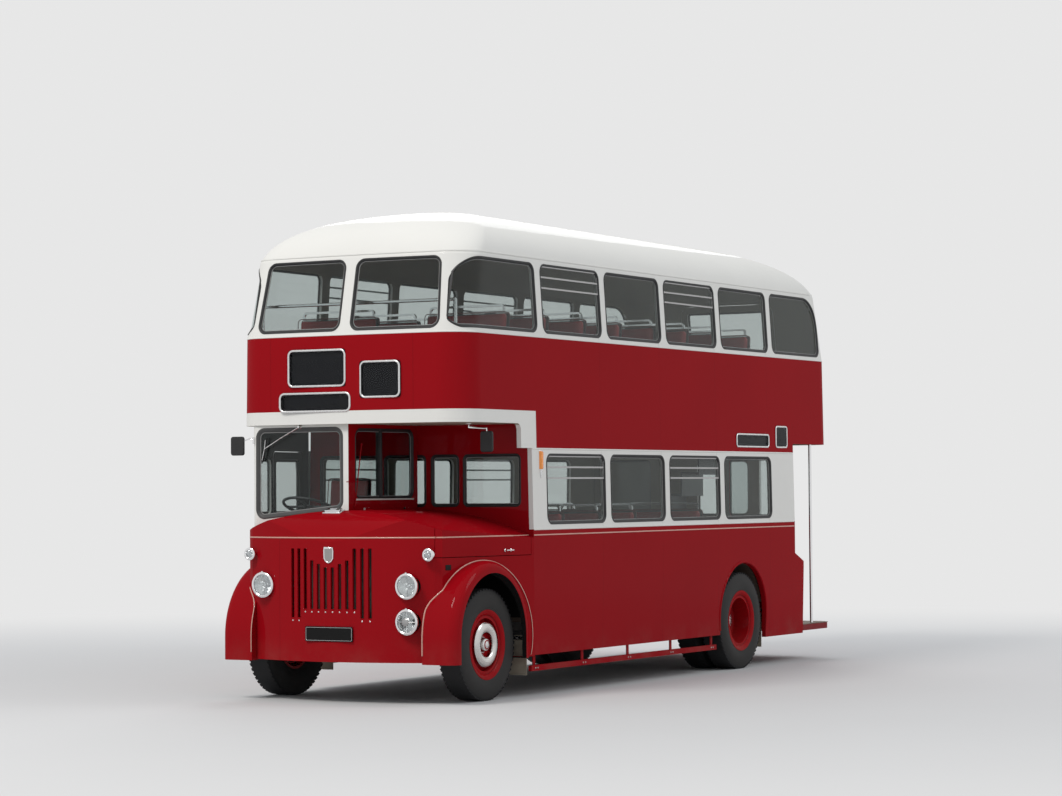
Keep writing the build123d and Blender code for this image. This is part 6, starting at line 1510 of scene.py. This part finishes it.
class BUS_OT_wheels(Operator):
    """Adds the tread, the side rings of the rims, the nuts and studs, the valves and the hub caps"""

    bl_idname = "bus.wheels"
    bl_label = "Wheels"

    def execute(self, context):
        settings = context.scene.bus_wheels
        side_ring = [(side_wall(r) + lift, r) for r, lift in SIDE_RING + SIDE_RING[:1]]
        for body, side, x, y in WHEELS:
            front = "front" in body
            axis = (side, 0, 0)
            mesh = bpy.data.meshes.new("tyre_middles")
            inner_twin = [] if front else [(x - side * INNER_TWIN, y, WHEEL_Z)]
            mesh.from_pydata([(x, y, WHEEL_Z)] + inner_twin, [], [])
            pattern("tread").run(mesh, body + "_tread", "tyre", body, 30.0, Blocks=settings.tread_blocks,
                                 Radius=TYRE_R - settings.tread_depth * 0.5 - 0.0005, Depth=settings.tread_depth)
            ring_r = 0.128 if front else 0.122
            nut_x = x + side * (0.068 if front else -0.104)
            nuts = []
            for k in range(settings.nuts):
                a = 2 * math.pi * k / settings.nuts
                nuts.append(((nut_x, y + ring_r * math.cos(a), WHEEL_Z + ring_r * math.sin(a)), axis))
            pattern("nut").run(points_mesh("nuts", nuts), body + "_nuts", "wheel", body, 30.0,
                               Radius=0.017, Height=0.016, Stud_Radius=0.009, Stud_Height=0.036)
            piece(body + "_side_ring", [lathe((x, y, WHEEL_Z), axis, side_ring, 72)], "wheel", body)
            if front:
                valve = [(x + side * out, y + dy, WHEEL_Z + dz) for out, dy, dz in (
                    (0.058, 0.150, 0.155), (0.074, 0.146, 0.151), (0.088, 0.134, 0.139))]
                piece(body + "_valve", [tube(valve, 0.005)], "alloy", body, 40)
            middle = x if front else x - side * INNER_TWIN / 2
            rings = [lathe((middle, y, WHEEL_Z), axis, ring, 40) for ring in HUB_CAPS[front]]
            piece(body + "_hub_cap", rings, "alloy", body, 40)
        return {"FINISHED"}


def rest_on(tree, origin, direction, spin=0.0):
    """Place on a surface that a ray meets: Z stands out of it, Y runs up it."""
    hit, normal = seat_on(tree, origin, direction)
    turn = normal.to_track_quat("Z", "Y").to_matrix().to_4x4()
    return Matrix.Translation(hit) @ turn @ Matrix.Rotation(math.radians(spin), 4, "Z")


def handle(length, rise=0.034):
    """Bar handle on two bosses, about the origin, standing along Z."""
    boss = [(-0.002, 0.0), (-0.002, 0.013), (0.004, 0.013), (0.008, 0.007), (rise, 0.006), (rise, 0.0)]
    parts = [lathe((x, 0, 0), UP, boss, 12) for x in (-length / 2, length / 2)]
    return parts + [tube([(length * share, 0, rise) for share in (-0.62, -0.5, 0, 0.5, 0.62)], 0.0065)]


def swollen(form, cap):
    """How far each point of a form moves when it is blown up by the cloth solver, at most cap."""
    cloth = form.modifiers.new("Padding", "CLOTH")
    cloth.settings.use_pressure = True
    cloth.settings.uniform_pressure_force = 4.0
    cloth.settings.effector_weights.gravity = 0.0
    cloth.settings.quality = 4
    cloth.settings.mass = 0.3
    cloth.point_cache.frame_start = 1
    cloth.point_cache.frame_end = 20
    scene = bpy.context.scene
    for step in range(1, 21):
        scene.frame_set(step)
    shown = form.evaluated_get(bpy.context.evaluated_depsgraph_get())
    moves = [after.co - before.co for after, before in zip(shown.data.vertices, form.data.vertices)]
    form.modifiers.clear()
    scene.frame_set(1)
    return [m.normalized() * min(m.length, cap) if m.length > 1e-9 else m for m in moves]


def padded_block(name, size, parts, cap=0.013):
    """One stuffed block about its middle: swollen, held in at its edges and drawn in along its seams."""
    half = Vector(size) / 2 - Vector((cap, cap, cap)) * 0.9
    points, faces = slab(-half, half, min(half) * 0.55, 3)
    mesh = bpy.data.meshes.new(name + "_master")
    mesh.from_pydata([tuple(p) for p in points], [], faces)
    form = bpy.data.objects.new(name + "_master", mesh)
    bpy.context.scene.collection.objects.link(form)
    remesh = form.modifiers.new("Voxels", "REMESH")
    remesh.mode = "VOXEL"
    remesh.voxel_size = PAD_VOXEL
    form.data = bpy.data.meshes.new_from_object(form.evaluated_get(bpy.context.evaluated_depsgraph_get()))
    form.modifiers.clear()
    moves = swollen(form, cap)
    thin = min(range(3), key=lambda i: size[i])
    long = max(range(3), key=lambda i: size[i])
    made = []
    for v, move in zip(form.data.vertices, moves):
        p = v.co + move
        for k in range(1, parts):
            seam = size[long] * (k / parts - 0.5)
            p[thin] *= 1 - 0.22 * math.exp(-((p[long] - seam) / 0.020) ** 2)
        made.append(p)
    faces = [tuple(f.vertices) for f in form.data.polygons]
    bpy.data.objects.remove(form)
    return made, faces


def piping_of(size):
    """Sewn piping round the two broad faces of a block about its middle."""
    thin = min(range(3), key=lambda i: size[i])
    u, v = [i for i in range(3) if i != thin]
    rings = []
    for level in (-0.36, 0.36):
        path = []
        for a, b in rounded_outline(0.0, 0.0, size[u] - 0.010, size[v] - 0.010, 0.030, 3):
            spot = [0.0, 0.0, 0.0]
            spot[u], spot[v], spot[thin] = a, b, size[thin] * level
            path.append(Vector(spot))
        rings.append(tube(path, 0.0038, 5, closed=True))
    return rings


class BUS_OT_seats(Operator):
    """Blows up the cushions and backs of every seat with the cloth solver and pipes their edges"""

    bl_idname = "bus.seats"
    bl_label = "Seats"

    def execute(self, context):
        piping = []
        for name, size, parts, places, lean in PADS:
            block = padded_block(name, size, parts)
            edges = piping_of(size)
            copies = []
            for place in places:
                matrix = Matrix.Translation(place) @ Matrix.Rotation(math.radians(lean), 4, "X")
                copies.append(moved(block, matrix))
                piping += [moved(edge, matrix) for edge in edges]
            made = piece("padded_" + name, copies, "seat", smooth=80.0)
            if name == "seat_cushions":
                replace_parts(made, "seat_cushions")
        piece("seat_piping", piping, "piping")
        return {"FINISHED"}


class BUS_OT_cab_fittings(Operator):
    """Fits the wiper, the catch and handles, the small plate, the marker rod and the cab's window bar and sill"""

    bl_idname = "bus.cab_fittings"
    bl_label = "Cab Fittings"

    def execute(self, context):
        cowl = tree_of("front_cowl", "bonnet")
        pivot = [(0.0, 0.0), (0.0, 0.019), (0.014, 0.019), (0.024, 0.011), (0.038, 0.010), (0.040, 0.0)]
        piece("wiper", [
            tube([(-0.496, -3.812, 2.412), (-0.500, -3.834, 2.402), (-0.690, -3.836, 2.312), (-0.868, -3.824, 2.222)],
                 0.0042),
            lathe((-0.496, -3.800, 2.412), FORWARD, pivot, 16),
            tube([(-0.856, -3.826, 2.300), (-0.868, -3.824, 2.222), (-0.894, -3.824, 2.120)], 0.0034)], "alloy")
        blade = [Vector(p) for p in (
            (-0.848, -3.818, 2.322), (-0.860, -3.816, 2.255), (-0.880, -3.816, 2.165), (-0.902, -3.818, 2.092))]
        lip = [(-0.0016, -0.012), (0.0016, -0.012), (0.0030, 0.004), (-0.0030, 0.004)]
        piece("wiper_blade", [sweep(blade, [FORWARD] * len(blade), lip)], "gasket")
        stand = rest_on(cowl, (-0.100, -3.872, 3.0), -UP)
        piece("bonnet_catch", [moved(slab(low, high, 0.003, 2), stand) for low, high in (
            ((-0.092, -0.048, -0.006), (0.092, 0.048, 0.012)), ((-0.074, -0.036, 0.011), (0.074, 0.036, 0.028)),
            ((-0.030, -0.012, 0.027), (0.030, 0.012, 0.036)))], "chrome")
        stand = rest_on(tree_of("bonnet"), (2.0, -3.000, 1.310), -NEARSIDE)
        piece("bonnet_handle", [moved(p, stand) for p in handle(0.080, 0.026)], "chrome", "bonnet")
        stand = rest_on(tree_of("cab_door"), (-2.0, -3.385, 1.470), NEARSIDE, 90)
        piece("cab_door_handle", [moved(p, stand) for p in handle(0.110)], "chrome", "cab_door")
        stand = rest_on(cowl, (2.0, -3.790, 1.176), -NEARSIDE)
        small = [slab((-0.036, -0.023, -0.001), (0.036, 0.023, 0.004), 0.0015)]
        small += [pan_head((u, v, 0.0038), UP, 0.003) for u in (-0.031, 0.031) for v in (-0.018, 0.018)]
        piece("cowl_plate", [moved(p, stand) for p in small], "plate")
        # Rod with a ball and a crosspiece beside the cab
        x = 0.0145
        ball = [(-0.010, 0.0), (-0.008, 0.006), (0.0, 0.0095), (0.008, 0.006), (0.010, 0.0)]
        piece("marker_rod", [
            tube([(x, -3.715, 1.690), (x, -3.700, 1.766), (x, -3.602, 2.245)], 0.0050),
            tube([(x, -3.845, 1.921), (x, -3.750, 1.923), (x, -3.646, 1.921)], 0.0040),
            lathe((x, -3.600, 2.252), (0, -0.2, 1), ball, 12),
            slab((0.0085, -3.735, 1.700), (0.0205, -3.690, 1.712), 0.003)], "crimson")
        bar = [slab((-0.040, -3.283, 1.780), (0.0135, -3.253, 2.385), 0.003)]
        bar += [bead([(0.0132, y, 1.790), (0.0132, y, 2.375)], NEARSIDE, 0.006, 0.0025, False)
                for y in (-3.277, -3.259)]
        piece("cab_window_bar", bar, "gasket")
        sill = [slab((0.006, -3.690, 1.758), (0.0165, -2.720, 1.772), 0.003)]
        sill += [pan_head((0.0162, -3.600 + 0.200 * k, 1.765), NEARSIDE, 0.0035) for k in range(5)]
        piece("cab_window_sill", sill, "cream")
        return {"FINISHED"}


class BUS_OT_mirrors(Operator):
    """Hangs the two mirrors with their arms"""

    bl_idname = "bus.mirrors"
    bl_label = "Mirrors"

    def execute(self, context):
        cases, glass = [], []
        arms = [slab((0.905, -3.300, 2.418), (0.955, -3.270, 2.4295), 0.003),
                slab((-1.002, -3.822, 2.270), (-0.984, -3.790, 2.330), 0.003)]
        for (x, y, z), width, height, arm in MIRRORS:
            cases.append(sheet_of(rounded_outline(x, z, width, height, 0.024),
                                  lambda u, v, o: (u, y + 0.010 - o, v), 0.022, 0.006))
            rim = [(u, y + 0.009, v) for u, v in rounded_outline(x, z, width - 0.008, height - 0.008, 0.020)]
            cases.append(tube(rim, 0.004, 6, closed=True))
            glass.append(sheet_of(rounded_outline(x, z, width - 0.014, height - 0.014, 0.018),
                                  lambda u, v, o: (u, y + 0.0102 + o, v), 0.0015))
            arms.append(tube(arm, 0.0065))
        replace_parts(piece("mirror_cases", cases, "gasket"), "mirrors")
        piece("mirror_glass", glass, "chrome")
        piece("mirror_arms", arms, "chrome")
        return {"FINISHED"}


class BUS_OT_rear_fittings(Operator):
    """Fits the blank rear plate, the reflectors and the handles of the emergency window"""

    bl_idname = "bus.rear_fittings"
    bl_label = "Rear Fittings"

    def execute(self, context):
        rear = tree_of("lower_rear")
        stand = rest_on(rear, (-0.420, 6.0, 0.770), FORWARD)
        plate = [slab((-0.265, -0.056, -0.010), (0.265, 0.056, 0.008), 0.003)]
        plate += [pan_head((u, v, 0.0078), UP) for u in (-0.225, 0.225) for v in (-0.036, 0.036)]
        edge = [(u, v, 0.008) for u, v in rounded_outline(0.0, 0.0, 0.512, 0.094, 0.008, 3)]
        piece("rear_plate", [moved(p, stand) for p in plate], "plate")
        piece("rear_plate_edge", [moved(bead(edge, UP, 0.004, 0.0016), stand)], "alloy")
        disc = [(0.004, 0.0), (0.007, 0.0), (0.0065, 0.024), (0.004, 0.028), (0.003, 0.028)]
        rim = [(-0.004, 0.0), (-0.004, 0.034), (0.004, 0.034), (0.007, 0.031), (0.0065, 0.028), (0.003, 0.027)]
        spots = [rest_on(rear, (x, 6.0, 0.640), FORWARD) for x in (-1.010, 0.230)]
        piece("reflectors", [turned(disc, 24, spot) for spot in spots], "ruby")
        piece("reflector_rims", [turned(rim, 24, spot) for spot in spots], "chrome")
        window = tree_of("emergency_window")
        spots = [rest_on(window, (x, 6.0, 3.136), FORWARD) for x in (-0.340, 0.340)]
        piece("emergency_handles", [moved(p, spot) for spot in spots for p in handle(0.120, 0.030)], "chrome",
              "emergency_window")
        return {"FINISHED"}


class BUS_OT_lower_fittings(Operator):
    """Adds the bolts of the life rails and mudflaps, the pale band and hem of each flap and the gutter"""

    bl_idname = "bus.lower_fittings"
    bl_label = "Rails, Flaps and Gutter"

    def execute(self, context):
        bolts, strips, hems = [], [], []
        for side in (1, -1):
            bolts += [((side * 1.1925, -2.560 + 0.9 * n + dy, 0.250), (side, 0, 0))
                      for n in range(5) for dy in (-0.022, 0.022)]
            for y, low, high in MUDFLAPS:
                bolts += [((side * (low + (high - low) * (n + 0.5) / 4), y + out * 0.0065, 0.520), (0, out, 0))
                          for n in range(4) for out in (-1, 1)]
                strips.append(slab((side * low, y - 0.0085, 0.502), (side * high, y + 0.0085, 0.538)))
                hems.append(slab((side * (low - 0.001), y - 0.0075, 0.191),
                                 (side * (high + 0.001), y + 0.0075, 0.204), 0.003))
        pattern("rivet").run(points_mesh("bolts", bolts), "flap_and_rail_bolts", "steel", slot="steel_dark",
                             Radius=0.0085, Height=0.005)
        piece("flap_strips", strips, "alloy")
        piece("flap_hems", hems, "canvas")
        shell = tree_of("upper_front", "upper_sides", "upper_rear", "roof")
        profile = [(-0.008, -0.002), (-0.008, 0.007), (-0.005, 0.009), (0.006, 0.006), (0.006, -0.002)]
        piece("gutter", [sweep(*band_path(shell, GUTTER_Z, 0, 360, 420, MIDDLE, 7.0), profile, closed=True)], "cream")
        return {"FINISHED"}


class BUS_OT_interior(Operator):
    """Hangs the ceiling lamps of both decks and lays the slats of the platform"""

    bl_idname = "bus.interior"
    bl_label = "Ceiling Lamps and Platform"

    def execute(self, context):
        shade = [(-0.002, 0.0), (-0.002, 0.058), (0.012, 0.056), (0.030, 0.044), (0.041, 0.022), (0.044, 0.0)]
        rim = [(-0.003, 0.057), (-0.003, 0.072), (0.006, 0.072), (0.010, 0.066), (0.010, 0.058)]
        spots = []
        for tree, z, count, start in ((tree_of("upper_floor"), 1.9, 4, -1.820), (tree_of("roof"), 3.3, 6, -3.050)):
            spots += [rest_on(tree, (x, start + 1.237 * n, z), UP) for n in range(count) for x in (-0.56, 0.56)
                      if seat_on(tree, (x, start + 1.237 * n, z), UP)]
        piece("ceiling_lamp_shades", [turned(shade, 20, spot) for spot in spots], "milk")
        piece("ceiling_lamp_rims", [turned(rim, 20, spot) for spot in spots], "alloy")
        # Slats run as far as the platform is flat under them
        floor = tree_of("lower_floor")
        slats = []
        for n in range(20):
            x = 1.165 - 0.048 * n
            runs = [y for y in (3.06 + 0.02 * k for k in range(50))
                    if (found := seat_on(floor, (x, y, 0.60), -UP)) and abs(found[0].z - PLATFORM_Z) < 0.004]
            if len(runs) > 4:
                slats.append(slab((x - 0.016, runs[0], PLATFORM_Z - 0.0005), (x + 0.016, runs[-1], PLATFORM_Z + 0.006)))
        piece("platform_slats", slats, "slat")
        return {"FINISHED"}


class BUS_PT_panel(Panel):
    bl_idname = "BUS_PT_panel"
    bl_label = "Double Decker Bus"
    bl_space_type = "VIEW_3D"
    bl_region_type = "UI"
    bl_category = "Bus"

    def draw(self, context):
        for group in ("bus_paint", "bus_trim", "bus_wheels", "bus_stage"):
            settings = getattr(context.scene, group)
            box = self.layout.box()
            for prop in settings.bl_rna.properties:
                if prop.identifier not in ("rna_type", "name"):
                    box.prop(settings, prop.identifier)
        for operator in OPERATORS:
            self.layout.operator(operator.bl_idname)


GROUPS = {"bus_paint": PaintSettings, "bus_trim": TrimSettings, "bus_wheels": WheelSettings, "bus_stage": StageSettings}
OPERATORS = (BUS_OT_stage, BUS_OT_paint, BUS_OT_gaskets, BUS_OT_mouldings, BUS_OT_front_lamps, BUS_OT_small_lamps,
             BUS_OT_nose, BUS_OT_destination_boxes, BUS_OT_wing_piping, BUS_OT_wheels, BUS_OT_seats,
             BUS_OT_cab_fittings, BUS_OT_mirrors, BUS_OT_rear_fittings, BUS_OT_lower_fittings, BUS_OT_interior)


def register():
    for group in GROUPS.values():
        bpy.utils.register_class(group)
    for name, group in GROUPS.items():
        setattr(bpy.types.Scene, name, PointerProperty(type=group))
    for operator in OPERATORS:
        bpy.utils.register_class(operator)
    bpy.utils.register_class(BUS_PT_panel)


def unregister():
    bpy.utils.unregister_class(BUS_PT_panel)
    for operator in reversed(OPERATORS):
        bpy.utils.unregister_class(operator)
    for name in GROUPS:
        delattr(bpy.types.Scene, name)
    for group in reversed(GROUPS.values()):
        bpy.utils.unregister_class(group)


def main():
    register()
    for operator in OPERATORS:
        family, name = operator.bl_idname.split(".")
        getattr(getattr(bpy.ops, family), name)()


if __name__ == "__main__":
    main()
